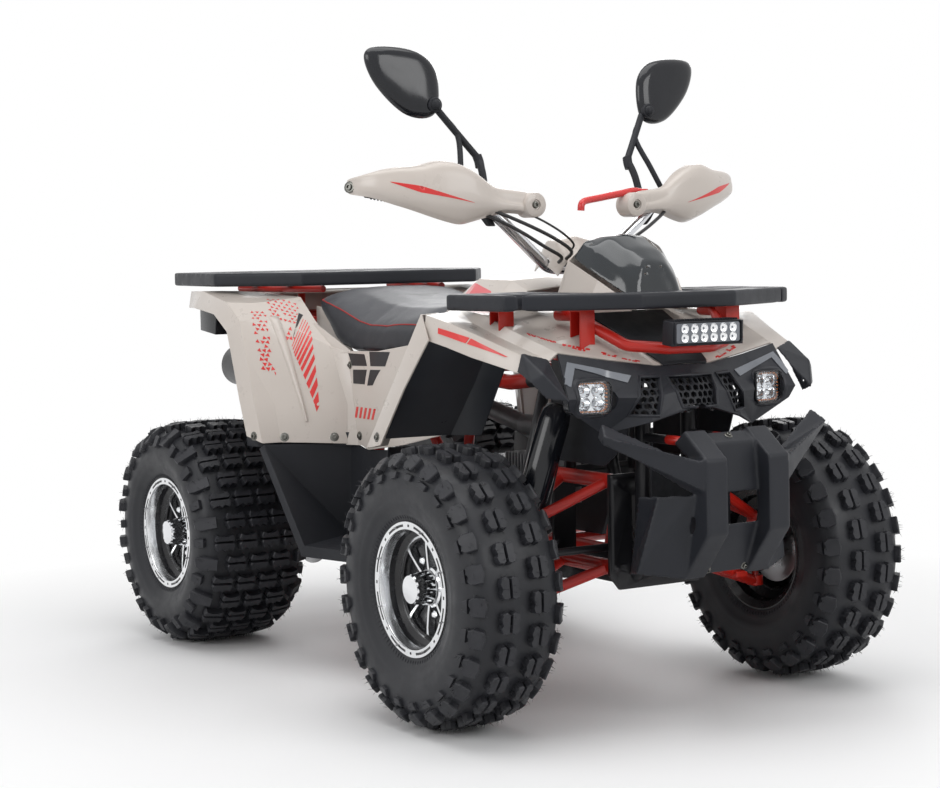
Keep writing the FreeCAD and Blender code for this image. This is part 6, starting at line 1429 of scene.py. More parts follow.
@dataclass
class Handguards:
    """The two hand shields: a creased shell, a round inner boss and a bolted outer end."""

    shop: Workshop
    thick: float = 0.0034
    stations: tuple[tuple[float, float, float, float, float], ...] = (
        (0.424, 0.236, 0.930, 0.922, 0.906), (0.418, 0.268, 0.934, 0.926, 0.902), (0.398, 0.296, 0.942, 0.930, 0.898),
        (0.374, 0.312, 0.949, 0.932, 0.888), (0.345, 0.327, 0.951, 0.932, 0.879), (0.320, 0.338, 0.953, 0.932, 0.870),
        (0.293, 0.347, 0.963, 0.933, 0.860), (0.267, 0.353, 0.960, 0.934, 0.852), (0.248, 0.356, 0.954, 0.932, 0.848),
        (0.228, 0.357, 0.945, 0.925, 0.853), (0.206, 0.357, 0.929, 0.911, 0.859), (0.190, 0.357, 0.915, 0.897, 0.864),
        (0.165, 0.358, 0.911, 0.889, 0.869), (0.140, 0.359, 0.909, 0.886, 0.867), (0.118, 0.360, 0.906, 0.884, 0.863))
    creases: tuple[tuple[int, float], ...] = ((0, 1.0), (2, 0.55), (5, 0.3), (6, 1.0))
    boss_place: Point = (0.3545, 0.1125, 0.8825)
    boss_outline: tuple[Flat, ...] = ((-0.030, 0.0), (-0.030, 0.018), (-0.026, 0.0225), (0.004, 0.0228),
                                      (0.0085, 0.0215), (0.010, 0.0180), (0.010, 0.0095), (0.007, 0.0085), (0.006, 0.0))
    film_corners: tuple[Point, ...] = ((0.330, 0.385, 0.934), (0.366, 0.238, 0.893), (0.366, 0.240, 0.883),
                                       (0.330, 0.385, 0.916))
    swoosh: tuple[Patch, ...] = (((0.0, 0.50), (0.35, 0.20), (0.35, 0.95), (0.02, 0.56)),
                                 ((0.35, 0.20), (1.0, 0.62), (0.99, 0.66), (0.35, 0.95)))

    def shell(self) -> bpy.types.Mesh:
        """The shield's shell for the left side."""
        bm = bmesh.new()
        crease = bm.edges.layers.float.new("crease_edge")
        rows = []
        for y, x, top, ridge, low in self.stations:
            middle, tall = (ridge + low) / 2, top - low
            depth = min(0.030, tall * 0.36)
            rows.append([bm.verts.new(point) for point in (
                (x - depth, y, top), (x - depth * 0.30, y, top - 0.003), (x - 0.0035, y, ridge),
                (x, y, middle + 0.006), (x - 0.001, y, middle - 0.012 * tall / 0.08),
                (x - depth * 0.42, y, low + 0.006), (x - depth * 1.05, y, low))])
        bridge(bm, rows, loop=False)
        for row, following in zip(rows, rows[1:]):
            for place, strength in self.creases:
                bm.edges.get((row[place], following[place]))[crease] = strength
        bmesh.ops.recalc_face_normals(bm, faces=bm.faces)
        if sum(face.normal.x for face in bm.faces) < 0:
            bmesh.ops.reverse_faces(bm, faces=bm.faces)
        return shaped(plain_mesh(bm, "shield"), ("SOLIDIFY", {"thickness": self.thick, "offset": -1.0}),
                      ("SUBSURF", {"levels": 3, "render_levels": 3}))

    def boss(self) -> bpy.types.Mesh:
        """The round clamp end, with a sunk seat for its bolt."""
        mesh = lathe(self.boss_outline, 48, "boss", closed=False)
        mesh.transform(Matrix.Translation(self.boss_place) @ ALONG_X)
        return mesh

    def build(self) -> None:
        """Makes both shields, each with its tapered red film."""
        whole = join_meshes("handguard", (self.shell(), self.boss()))
        shade(whole, 40.0)
        for side, way in SIDES.items():
            mesh = whole.copy()
            if way < 0:
                mesh.transform(Matrix.Scale(-1.0, 4, (0.0, 1.0, 0.0)))
                mesh.flip_normals()
            piece = self.shop.fit(f"hand_shield_{side}", mesh, "steering", "panel_plastic", "beige_panel",
                                  replaces=("handguards",) if way > 0 else ())
            film = Films.lay(Skin(piece), mirrored(self.film_corners, way), self.swoosh, 0.0005, (12, 3),
                             facing=(1.0, 0.3 * way, 0.2))
            self.shop.fit(f"shield_swoosh_{side}", film, "steering", "panel_plastic", "red_film")


@dataclass
class Bars:
    """Cables, the folding lever, the mirrors and the grips' ribs, all on the steering."""

    shop: Workshop
    cable_radius: float = 0.0032
    lead_share: float = 0.62
    lever_radius: float = 0.0066
    lever: tuple[Point, ...] = ((0.330, 0.150, 0.906), (0.334, 0.126, 0.908), (0.340, 0.090, 0.903),
                                (0.346, 0.045, 0.896), (0.351, 0.006, 0.890), (0.354, -0.006, 0.884),
                                (0.354, -0.008, 0.872))
    rib_count: int = 18
    rib_radius: float = 0.0168
    rim: tuple[Point, ...] = ((0.2200, 0.2330, 1.0495), (0.2150, 0.2890, 1.0460), (0.2078, 0.3470, 1.0970),
                              (0.2032, 0.3675, 1.1500), (0.2058, 0.3370, 1.1670), (0.2105, 0.2610, 1.1580),
                              (0.2152, 0.2260, 1.1190))
    stems: tuple[tuple[float, tuple[Point, ...]], ...] = (
        (0.0068, ((0.3000, 0.1760, 0.872), (0.2820, 0.1710, 0.935), (0.2640, 0.1675, 0.966))),
        (0.0064, ((0.2627, 0.1660, 0.966), (0.2421, 0.2018, 1.016), (0.2260, 0.2300, 1.056))),
        (0.0052, ((0.2973, 0.2304, 0.900), (0.2740, 0.2130, 0.955), (0.2450, 0.2000, 1.010), (0.2330, 0.2180, 1.040))),
        (0.0088, ((0.2680, 0.1680, 0.953), (0.2640, 0.1675, 0.963), (0.2600, 0.1690, 0.973))),
    )

    def cables(self) -> None:
        """The brake and throttle lines that loop forward from each side into the bar cover."""
        runs = {
            "brake_line_right": [(0.318, -0.215, 0.880), (0.345, -0.190, 0.872), (0.372, -0.140, 0.848),
                                 (0.388, -0.090, 0.822), (0.384, -0.052, 0.800), (0.352, -0.040, 0.786)],
            "throttle_line_right": [(0.316, -0.222, 0.872), (0.342, -0.196, 0.862), (0.366, -0.150, 0.836),
                                    (0.378, -0.105, 0.808), (0.372, -0.066, 0.790), (0.345, -0.052, 0.780)],
            "switch_lead_right": [(0.350, -0.118, 0.866), (0.372, -0.100, 0.852), (0.386, -0.072, 0.832),
                                  (0.382, -0.045, 0.812), (0.350, -0.030, 0.800)],
            "brake_line_left": [(0.318, 0.215, 0.880), (0.348, 0.186, 0.868), (0.374, 0.130, 0.842),
                                (0.384, 0.080, 0.818), (0.378, 0.050, 0.800), (0.350, 0.040, 0.790)],
            "switch_lead_left": [(0.312, 0.212, 0.876), (0.338, 0.180, 0.858), (0.358, 0.130, 0.834),
                                 (0.362, 0.085, 0.812), (0.346, 0.060, 0.800)],
        }
        for name, points in runs.items():
            radius = self.cable_radius * (self.lead_share if "lead" in name else 1.0)
            self.shop.fit(name, tube(smooth_line(points, 8), radius, 10), "steering", "black_plastic", "cable_black")

    def clamps(self) -> None:
        """The black clamp block under the right shield, and its twin."""
        outline = ((-0.012, -0.016), (0.012, -0.016), (0.017, -0.004), (0.014, 0.034), (-0.010, 0.034), (-0.016, 0.0))
        for side, way in SIDES.items():
            bm = bmesh.new()
            bridge(bm, [[bm.verts.new((0.300 + a * 0.6 + depth * 0.4, way * (0.176 + b * 0.55 + depth),
                                       0.858 + b * 0.75)) for a, b in outline] for depth in (-0.009, 0.009)],
                   caps=True)
            round_edges(bm, 0.003, 3)
            self.shop.fit(f"bar_clamp_{side}", mesh_from(bm, "clamp"), "steering", "black_plastic", "grained_black")

    def folding_lever(self) -> None:
        """The red folded lever by the left grip, with a hook end and its pivot."""
        pivot = lathe([(-0.008, 0.0), (-0.008, 0.012), (-0.006, 0.0135), (0.006, 0.0135), (0.008, 0.012), (0.008, 0.0)],
                      24, "pivot", closed=False)
        pivot.transform(Matrix.Translation((0.330, 0.148, 0.904)) @ Matrix.Rotation(QUARTER, 4, "X"))
        mesh = join_meshes("lever", (tube(smooth_line(self.lever, 6), self.lever_radius, 12), pivot))
        shade(mesh, 40.0)
        self.shop.fit("folding_lever", mesh, "steering", "red_steel", "red_film")

    def heads(self) -> None:
        """The mirrors' domed housings with a lip, and the glass let into each."""
        shell = ((0.84, 0.0020), (0.885, 0.0010), (0.90, -0.0018), (0.955, -0.0022), (0.99, -0.0006), (1.0, 0.0020),
                 (0.985, 0.0062), (0.93, 0.0108), (0.84, 0.0140), (0.70, 0.0160), (0.45, 0.0172), (0.20, 0.0176))
        pane = ((0.89, 0.0016), (0.89, 0.0002), (0.85, -0.0008), (0.50, -0.0014), (0.20, -0.0016))
        for side, way in SIDES.items():
            rim = mirrored(self.rim, way)
            line = smooth_line(rim[-1:] + rim + rim[:2], 8)[8:-9]
            middle = sum(line, Vector()) / len(line)
            for name, profile, slot, finish in (("mirror_head", shell, "gloss_black", "gloss_black"),
                                                ("mirror_glass", pane, "lamp_lens", "mirror_glass")):
                bm = bmesh.new()
                rings = [[bm.verts.new(middle + (point - middle) * share + Vector((ahead, 0.0, 0.0)))
                          for point in line] for share, ahead in profile]
                bridge(bm, rings)
                for ring in (rings[0], rings[-1]):
                    tip = bm.verts.new(sum((vertex.co for vertex in ring), Vector()) / len(ring))
                    for near, far in zip(ring, ring[1:] + ring[:1]):
                        bm.faces.new((near, far, tip))
                self.shop.fit(f"{name}_{side}", mesh_from(bm, name, 50.0), "steering", slot, finish,
                              ("mirrors",) if way > 0 and name == "mirror_head" else ())

    def arms(self) -> None:
        """The mirrors' forked arms: a post, a slanted arm, a strut, a cap on the elbow and a ball at the head."""
        ball = lathe([(-0.006, 0.0), (-0.006, 0.0135), (0.0005, 0.0138), (0.0020, 0.0125), (0.0020, 0.0105),
                      (0.0050, 0.0095), (0.0085, 0.0060), (0.0095, 0.0)], 24, "ball", closed=False)
        ball.transform(Vector((1.0, 0.0, 0.0)).to_track_quat("Y", "Z").to_matrix().to_4x4())
        for side, way in SIDES.items():
            parts = [tube(smooth_line(mirrored(line, way), 6), radius, 14) for radius, line in self.stems]
            parts.append(ball.copy())
            parts[-1].transform(Matrix.Translation((0.2360, 0.2400 * way, 1.0640)))
            mesh = join_meshes("arm", parts)
            shade(mesh, 50.0)
            self.shop.fit(f"mirror_arm_{side}", mesh, "steering", "gloss_black", "grained_black")

    def ribs(self) -> None:
        """Raised rings along each grip."""
        low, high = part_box("grips")
        outer, repeats = self.rib_radius, self.shop.repeats
        for side, way in SIDES.items():
            start = Vector(((low.x + high.x) / 2 + 0.022, way * 0.285, 0.893))
            ahead = Vector(((low.x + high.x) / 2 - 0.018, way * 0.386, 0.913)) - start
            ring = lathe([(-0.0016, outer - 0.002), (0.0016, outer - 0.002), (0.0011, outer), (-0.0011, outer)],
                         28, "rib")
            ring.transform(ahead.to_track_quat("Y", "Z").to_matrix().to_4x4())
            ring.transform(Matrix.Translation(start))
            mesh = repeats.grow(ring, repeats.line, {"Count": self.rib_count, "Step": ahead / self.rib_count},
                                self.shop.paint["grip_rubber"])
            self.shop.fit(f"grip_ribs_{side}", mesh, "steering", "grip_rubber")

    def build(self) -> None:
        """Makes every small steering piece."""
        for make in (self.cables, self.clamps, self.folding_lever, self.heads, self.arms, self.ribs):
            make()


def prism(outline: Sequence[Flat], near: float, far: float) -> bpy.types.Mesh:
    """A closed prism of an outline in Y and Z, from one place to another along X."""
    return loft("prism", [[(x, y, z) for y, z in outline] for x in (near, far)], caps=True)


def cut_through(mesh: bpy.types.Mesh, outlines: Iterable[Sequence[Flat]], near: float, far: float) -> bpy.types.Mesh:
    """Cuts an opening along X through a mesh for each outline in Y and Z."""
    cutters = [new_piece("cutter", prism(outline, near, far)) for outline in outlines]
    result = shaped(mesh, *(("BOOLEAN", {"operation": "DIFFERENCE", "solver": "EXACT", "object": cutter})
                            for cutter in cutters))
    for cutter in cutters:
        bpy.data.objects.remove(cutter)
    return result


def swept_lip(name: str, line: Sequence[Vector], profile: Sequence[Flat]) -> bpy.types.Mesh:
    """A closed lip that faces forward: a profile of (outwards, ahead) carried round a line."""
    middle = sum(line, Vector()) / len(line)
    rings = []
    for spot in line:
        out = Vector((0.0, spot.y - middle.y, spot.z - middle.z)).normalized()
        rings.append([spot + out * a + Vector((b, 0.0, 0.0)) for a, b in profile])
    return loft(name, rings, 40.0, around=True)


def even_line(outline: Sequence[Flat], spacing: float) -> list[Flat]:
    """A closed outline with points set along it at most about a spacing apart."""
    made = []
    for (y0, z0), (y1, z1) in zip(outline, list(outline[1:]) + list(outline[:1])):
        steps = max(1, int(math.hypot(y1 - y0, z1 - z0) / spacing))
        made += [(y0 + (y1 - y0) * k / steps, z0 + (z1 - z0) * k / steps) for k in range(steps)]
    return made


def inside(point: Flat, outline: Sequence[Flat]) -> bool:
    """Whether a flat point lies within an outline."""
    within = False
    for (y0, z0), (y1, z1) in zip(outline, tuple(outline[1:]) + tuple(outline[:1])):
        if (z0 > point[1]) != (z1 > point[1]) and point[0] < (y1 - y0) * (point[1] - z0) / (z1 - z0) + y0:
            within = not within
    return within


def lozenge(middle: Flat, half: Flat, corner: float, steps: int = 5) -> list[Flat]:
    """A rectangle with rounded corners, as an outline."""
    made = []
    for number, (a, b) in enumerate(((1, 1), (-1, 1), (-1, -1), (1, -1))):
        for step in range(steps + 1):
            angle = QUARTER * (number + step / steps)
            made.append((middle[0] + a * (half[0] - corner) + corner * math.cos(angle),
                         middle[1] + b * (half[1] - corner) + corner * math.sin(angle)))
    return made


@dataclass
class FrontFace:
    """The front fascia with its honeycomb grilles, lamps, brow strips and frames."""

    shop: Workshop
    lamp_middle: Flat = (0.190, 0.557)
    lamp_half: Flat = (0.0325, 0.0265)
    lamp_corner: float = 0.013
    lamp_turn: float = 0.12
    bowl_step: Flat = (0.0132, 0.0108)
    bowl_radius: float = 0.0124
    dot_half: Flat = (0.0285, 0.0235)
    dot_spacing: float = 0.0060
    cell: float = 0.0130
    cell_web: float = 0.0034
    cell_depth: float = 0.006
    cell_rows: int = 5
    cell_columns: int = 12
    side_grille: tuple[Flat, ...] = ((0.062, 0.586), (0.096, 0.586), (0.124, 0.526), (0.082, 0.524))
    middle_grille: tuple[Flat, ...] = ((-0.046, 0.586), (0.046, 0.586), (0.036, 0.536), (-0.036, 0.536))
    brow: tuple[tuple[Point, ...], ...] = (
        ((0.636, 0.244, 0.588), (0.606, 0.224, 0.616), (0.613, 0.214, 0.606), (0.636, 0.232, 0.580)),
        ((0.606, 0.224, 0.616), (0.636, 0.112, 0.591), (0.638, 0.122, 0.579), (0.613, 0.214, 0.606)))

    def lamp_outline(self, way: int) -> list[Flat]:
        """The lamp's opening on one side."""
        return lozenge((self.lamp_middle[0] * way, self.lamp_middle[1]), self.lamp_half, self.lamp_corner)

    def panel(self) -> None:
        """The rounded fascia with its windows cut."""
        bm = rounded_copy(self.shop.nodes["fascia"], 0.0025, 2, 20.0)
        bmesh.ops.triangulate(bm, faces=[face for face in bm.faces if len(face.verts) > 4])
        lamp = self.lamp_outline(1)
        windows = (self.side_grille, turned_over(self.side_grille), self.middle_grille, lamp, turned_over(lamp))
        mesh = cut_through(plain_mesh(bm, "fascia_shell"), windows, 0.560, 0.760)
        shade(mesh, 30.0)
        self.shop.fit("fascia_shell", mesh, "chassis", "black_plastic", "bumper_black", ("fascia",))

    def honeycomb(self, skin: Skin, outline: Sequence[Flat], name: str) -> None:
        """A honeycomb behind one window, following the fascia."""
        outer, inner = self.cell / math.sqrt(3), (self.cell - self.cell_web) / math.sqrt(3)
        cell = loft("cell", [[(x, y, z) for y, z in circle(6, radius)] for x, radius in (
            (0.0, outer), (0.0, inner), (-self.cell_depth, inner), (-self.cell_depth, outer))], 30.0, around=True)
        corners = len(cell.vertices)
        repeats, black = self.shop.repeats, self.shop.paint["grained_black"]
        row = repeats.grow(cell, repeats.line, {"Count": self.cell_columns, "Step": (0.0, self.cell, 0.0)}, black)
        pair = join_meshes("pair", (row, row), (Matrix.Identity(4),
                                                Matrix.Translation((0.0, self.cell / 2, outer * 1.5))))
        comb = repeats.grow(pair, repeats.line, {"Count": self.cell_rows, "Step": (0.0, 0.0, outer * 3.0)}, black)
        middle = middle_of(outline)
        comb.transform(Matrix.Translation((0.0, middle[0] - self.cell * 5.75, middle[1] - outer * 6.75)))
        bm = bmesh.new()
        bm.from_mesh(comb)
        wide = grown(outline, 1.16)
        vertices = list(bm.verts)
        doomed = []
        for first in range(0, len(vertices), corners):
            ring = vertices[first:first + corners]
            spot = sum((vertex.co for vertex in ring), Vector()) / len(ring)
            hit = skin.ahead(spot.y, spot.z)
            if hit is None or not inside((spot.y, spot.z), wide):
                doomed += ring
                continue
            for vertex in ring:
                at = skin.ahead(vertex.co.y, vertex.co.z) or hit
                vertex.co.x += (at.x if abs(at.x - hit.x) < 0.02 else hit.x) - 0.005
        bmesh.ops.delete(bm, geom=doomed, context="VERTS")
        self.shop.fit(name, mesh_from(bm, name, 30.0), "chassis", "black_plastic", "grained_black")

    def frame_round(self, skin: Skin, outline: Sequence[Flat], name: str, wide: float = 0.0035) -> None:
        """A raised lip round a window."""
        line = [Vector(((skin.ahead(y, z) or Vector((0.64, y, z))).x, y, z)) for y, z in even_line(outline, 0.004)]
        mesh = swept_lip(name, line, ((-0.0006, -0.012), (-0.0010, 0.0012), (wide * 0.4, 0.0026), (wide, 0.0016),
                                      (wide * 1.5, -0.004)))
        self.shop.fit(name, mesh, "chassis", "black_plastic", "bumper_black")

    def reflectors(self) -> list[bpy.types.Mesh]:
        """The four reflectors of a lamp and their bulbs, one mesh of each."""
        bowl = lathe([(-0.0125, 0.0015), (-0.011, 0.006), (-0.006, 0.0098), (0.0, self.bowl_radius), (0.0, 0.0133),
                      (-0.013, 0.0133)], 28, "bowl")
        bulb = lathe([(0.0, 0.0), (0.0, 0.0036), (0.003, 0.0030), (0.0045, 0.0)], 16, "bulb", closed=False)
        made = []
        for source, back, finish in ((bowl, 0.0, "lamp_silver"), (bulb, -0.012, "lamp_pearl")):
            source.transform(ALONG_X)
            moves = [Matrix.Translation((-0.0125 + back, y, z)) for y, z in self.bowl_places()]
            made.append(painted(join_meshes("reflectors", [source] * len(moves), moves), self.shop.paint[finish]))
        return made

    def bowl_places(self) -> list[Flat]:
        """The four reflectors' middles in a lamp."""
        return [(a * self.bowl_step[0], b * self.bowl_step[1]) for a in (-1, 1) for b in (-1, 1)]

    def markers(self) -> bpy.types.Mesh:
        """The amber dots round a lamp."""
        dot = lathe([(-0.002, 0.0), (-0.002, 0.0016), (0.0, 0.0015), (0.0008, 0.0)], 8, "dot", closed=False)
        dot.transform(ALONG_X)
        line = [Vector(point) for point in lozenge((0.0, 0.0), self.dot_half, 0.011, 4)]
        around = []
        for near, far in zip(line, line[1:] + line[:1]):
            steps = max(1, round((far - near).length / self.dot_spacing))
            around += [near.lerp(far, k / steps) for k in range(steps)]
        moves = [Matrix.Translation((-0.0055, point.x, point.y)) for point in around]
        return painted(join_meshes("dots", [dot] * len(moves), moves), self.shop.paint["lamp_amber"])

    def lamp(self, skin: Skin, side: str, way: int) -> None:
        """One headlamp: a black housing, four reflectors, amber markers and a clear lens."""
        paint = self.shop.paint
        y0, z0 = way * self.lamp_middle[0], self.lamp_middle[1]
        tilt = Matrix.Translation((skin.ahead(y0, z0).x, y0, z0)) @ Matrix.Rotation(way * self.lamp_turn, 4, "Z")
        border = lozenge((0.0, 0.0), (self.lamp_half[0] + 0.001, self.lamp_half[1] + 0.001), self.lamp_corner)

        def slab(share: float, near: float, far: float) -> bpy.types.Mesh:
            """A plate of the lamp's outline, drawn in by a share."""
            return prism([(y * share, z * share) for y, z in border], near, far)

        housing = loft("housing", [[(x, y * share, z * share) for y, z in border] for x, share in (
            (0.003, 1.06), (0.004, 1.0), (-0.004, 0.95), (-0.024, 0.88), (-0.040, 0.90), (-0.040, 1.06))], around=True)
        holes = [[(y + self.bowl_radius * math.cos(turn), z + self.bowl_radius * math.sin(turn))
                  for turn in (math.tau * k / 28 for k in range(28))] for y, z in self.bowl_places()]
        plate = cut_through(slab(0.925, -0.0125, -0.0095), holes, -0.05, 0.05)
        parts = [painted(housing, paint["gloss_black"]), painted(slab(0.90, -0.034, -0.026), paint["lamp_silver"]),
                 *self.reflectors(), self.markers(), painted(plate, paint["lamp_silver"]),
                 painted(slab(0.985, -0.0015, 0.0008), paint["clear_lens"])]
        whole = join_meshes("lamp", parts, [tilt] * len(parts))
        shade(whole, 35.0)
        self.shop.fit(f"headlamp_{side}", whole, "chassis", "lamp_lens", None, ("headlamps",) if way > 0 else ())

    def build(self) -> None:
        """Makes the whole front face."""
        skin = Skin(self.shop.nodes["fascia"], self.shop.nodes["headlamps"])
        self.panel()
        for name, outline in (("grille_left", self.side_grille), ("grille_right", turned_over(self.side_grille)),
                              ("grille_middle", self.middle_grille)):
            self.honeycomb(skin, outline, name)
            self.frame_round(skin, outline, name + "_lip")
        for side, way in SIDES.items():
            self.lamp(skin, side, way)
            self.frame_round(skin, self.lamp_outline(way), f"lamp_lip_{side}", 0.006)
            mesh = join_meshes("brow", [Films.lay(skin, mirrored(corners, way), WHOLE, 0.0016, (12, 3),
                                                  facing=(1.0, 0.3 * way, 0.4)) for corners in self.brow])
            shade(mesh, 30.0)
            self.shop.fit(f"brow_strip_{side}", mesh, "chassis", "lamp_lens", "brow_lens")


@dataclass
class LightBar:
    """The small work lamp over the hood: a finned black case with two rows of reflectors."""

    shop: Workshop
    half: Flat = (0.068, 0.0165)
    cells: int = 6
    row_rise: float = 0.0076
    border: float = 0.0022
    fins: int = 26
    fin_step: float = 0.0054
    fin: float = 0.0018

    def build(self) -> None:
        """Makes the face, its raised border, the reflectors and the fins."""
        paint, repeats = self.shop.paint, self.shop.repeats
        low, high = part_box("light_bar")
        x, z = high.x, (low.z + high.z) / 2
        outline = lozenge((0.0, z), self.half, 0.004, 3)
        step = 2 * (self.half[0] - 0.006) / self.cells
        bowl = lathe([(0.0003, 0.0022), (0.0005, 0.0048), (0.0014, 0.0066), (0.0026, 0.0074), (0.0026, 0.0079),
                      (-0.0010, 0.0079), (-0.0010, 0.0022)], 20, "bowl")
        bowl.transform(Matrix.Translation((x, -step * (self.cells - 1) / 2, z)) @ ALONG_X)
        pair = join_meshes("pair", (bowl, bowl), [Matrix.Translation((0.0, 0.0, way * self.row_rise))
                                                  for way in (1.0, -1.0)])
        bowls = repeats.grow(pair, repeats.line, {"Count": self.cells, "Step": (0.0, step, 0.0)}, paint["lamp_silver"])
        edge = swept_lip("rim", [Vector((x, y * 1.04, z + (height - z) * 1.12)) for y, height in outline],
                         [(share * self.border, rise) for share, rise in
                          ((-0.6, -0.001), (-0.4, 0.0030), (0.3, 0.0036), (1.0, 0.0028), (1.0, -0.001))])
        whole = join_meshes("face", (painted(prism(outline, x - 0.005, x + 0.0002), paint["brow_lens"]), bowls,
                                     painted(edge, paint["grained_black"])))
        shade(whole, 35.0)
        self.shop.fit("light_bar_face", whole, "chassis", "lamp_lens")
        near, far = low.y + 0.006, low.y + 0.006 + self.fin
        fin = prism(((near, high.z - 0.001), (far, high.z - 0.001), (far, high.z + 0.0016), (near, high.z + 0.0016)),
                    low.x + 0.004, high.x - 0.004)
        self.shop.fit("light_bar_fins", repeats.grow(fin, repeats.line, {"Count": self.fins, "Step": (
            0.0, self.fin_step, 0.0)}, paint["grained_black"]), "chassis", "black_plastic")


@dataclass
class Saddle:
    """The padded seat: a swelled cover with its piping."""

    shop: Workshop
    voxel: float = 0.0055
    swell: float = 0.006
    pressure: float = 4.0
    frames: int = 20
    piping: float = 0.0014
    sections: tuple[tuple[float, ...], ...] = (
        (-0.342, 0.160, 0.706, 0.158, 0.718, 0.726), (-0.330, 0.182, 0.690, 0.176, 0.717, 0.729),
        (-0.294, 0.188, 0.662, 0.177, 0.707, 0.727), (-0.262, 0.190, 0.630, 0.174, 0.697, 0.721),
        (-0.227, 0.190, 0.613, 0.170, 0.685, 0.714), (-0.190, 0.189, 0.606, 0.167, 0.673, 0.707),
        (-0.151, 0.186, 0.606, 0.163, 0.665, 0.701), (-0.100, 0.183, 0.607, 0.158, 0.663, 0.697),
        (-0.050, 0.178, 0.610, 0.151, 0.665, 0.696), (0.000, 0.168, 0.614, 0.144, 0.668, 0.696),
        (0.020, 0.156, 0.618, 0.136, 0.670, 0.694))

    def cover(self) -> bpy.types.Mesh:
        """The seat's sections, drawn in a little and swelled by a cloth simulation."""
        rings = []
        for x, low_half, low, pipe_half, pipe, crown in self.sections:
            half = [(0.0, low), (low_half * 0.55, low), (low_half - 0.004, low + 0.001),
                    ((low_half * 2 + pipe_half) / 3 + 0.001, low + (pipe - low) * 0.35),
                    ((low_half + pipe_half) / 2, low + (pipe - low) * 0.72), (pipe_half - 0.005, pipe - 0.004),
                    (pipe_half - 0.018, pipe + 0.0025), (pipe_half * 0.62, pipe + (crown - pipe) * 0.72),
                    (pipe_half * 0.30, pipe + (crown - pipe) * 0.96), (0.0, crown)]
            rings.append([(x, y, z) for y, z in half + turned_over(half[1:-1])])
        pad = new_piece("pad", shaped(loft("pad", rings, caps=True),
                                      ("REMESH", {"mode": "VOXEL", "voxel_size": self.voxel})))
        rest = [vertex.co.copy() for vertex in pad.data.vertices]
        cloth = pad.modifiers.new("cloth", "CLOTH")
        cloth.settings.use_pressure = True
        cloth.settings.uniform_pressure_force = self.pressure
        cloth.settings.effector_weights.gravity = 0.0
        cloth.settings.quality = 5
        cloth.point_cache.frame_start = 1
        cloth.point_cache.frame_end = self.frames
        for frame in range(1, self.frames + 1):
            bpy.context.scene.frame_set(frame)
        pad.data = solid_from(pad)
        pad.modifiers.clear()
        for vertex, start in zip(pad.data.vertices, rest):
            move = vertex.co - start
            if move.length > self.swell:
                vertex.co = start + move.normalized() * self.swell
        bpy.context.scene.frame_set(1)
        swelled = pad.data
        bpy.data.objects.remove(pad)
        return shaped(swelled, ("SMOOTH", {"iterations": 4, "factor": 0.5}),
                      ("SUBSURF", {"levels": 1, "render_levels": 1}))

    def line_round(self, skin: Skin) -> list[Vector]:
        """The closed line of the piping, laid on the cover."""
        half = [(x, y, z) for x, _low_half, _low, y, z, _crown in self.sections]
        rear = [(half[0][0] - 0.002, y, half[0][2]) for y in (-0.11, -0.05, 0.0, 0.05, 0.11)]
        front = [(half[-1][0] + 0.002, y, half[-1][2] + 0.004) for y in (0.10, 0.05, 0.0, -0.05, -0.10)]
        ring = [(x, -y, z) for x, y, z in reversed(half)] + rear + half + front
        points = [skin.near(point)[0] for point in smooth_line(ring + ring[:1], 6)[:-1]]
        even = [(points[k - 1] + points[k] * 2 + points[(k + 1) % len(points)]) / 4 for k in range(len(points))]
        return [skin.near(point)[0] for point in even]

    def build(self) -> None:
        """Makes the cover, dresses its top and sides, and runs the piping round it."""
        piece = self.shop.fit("seat_cover", self.cover(), "chassis", "seat_cover", "seat_cover", ("seat",))
        piece.data.materials.append(self.shop.paint["seat_side"])
        shade(piece.data, 60.0)
        line = self.line_round(Skin(piece))
        for polygon in piece.data.polygons:
            middle = polygon.center
            near = min(line, key=lambda point: (point.x - middle.x) ** 2 + (point.y - middle.y) ** 2)
            polygon.material_index = 0 if middle.z > near.z else 1
        self.shop.fit("seat_piping", tube(line + line[:2], self.piping, 8), "chassis", "seat_cover", "red_thread")


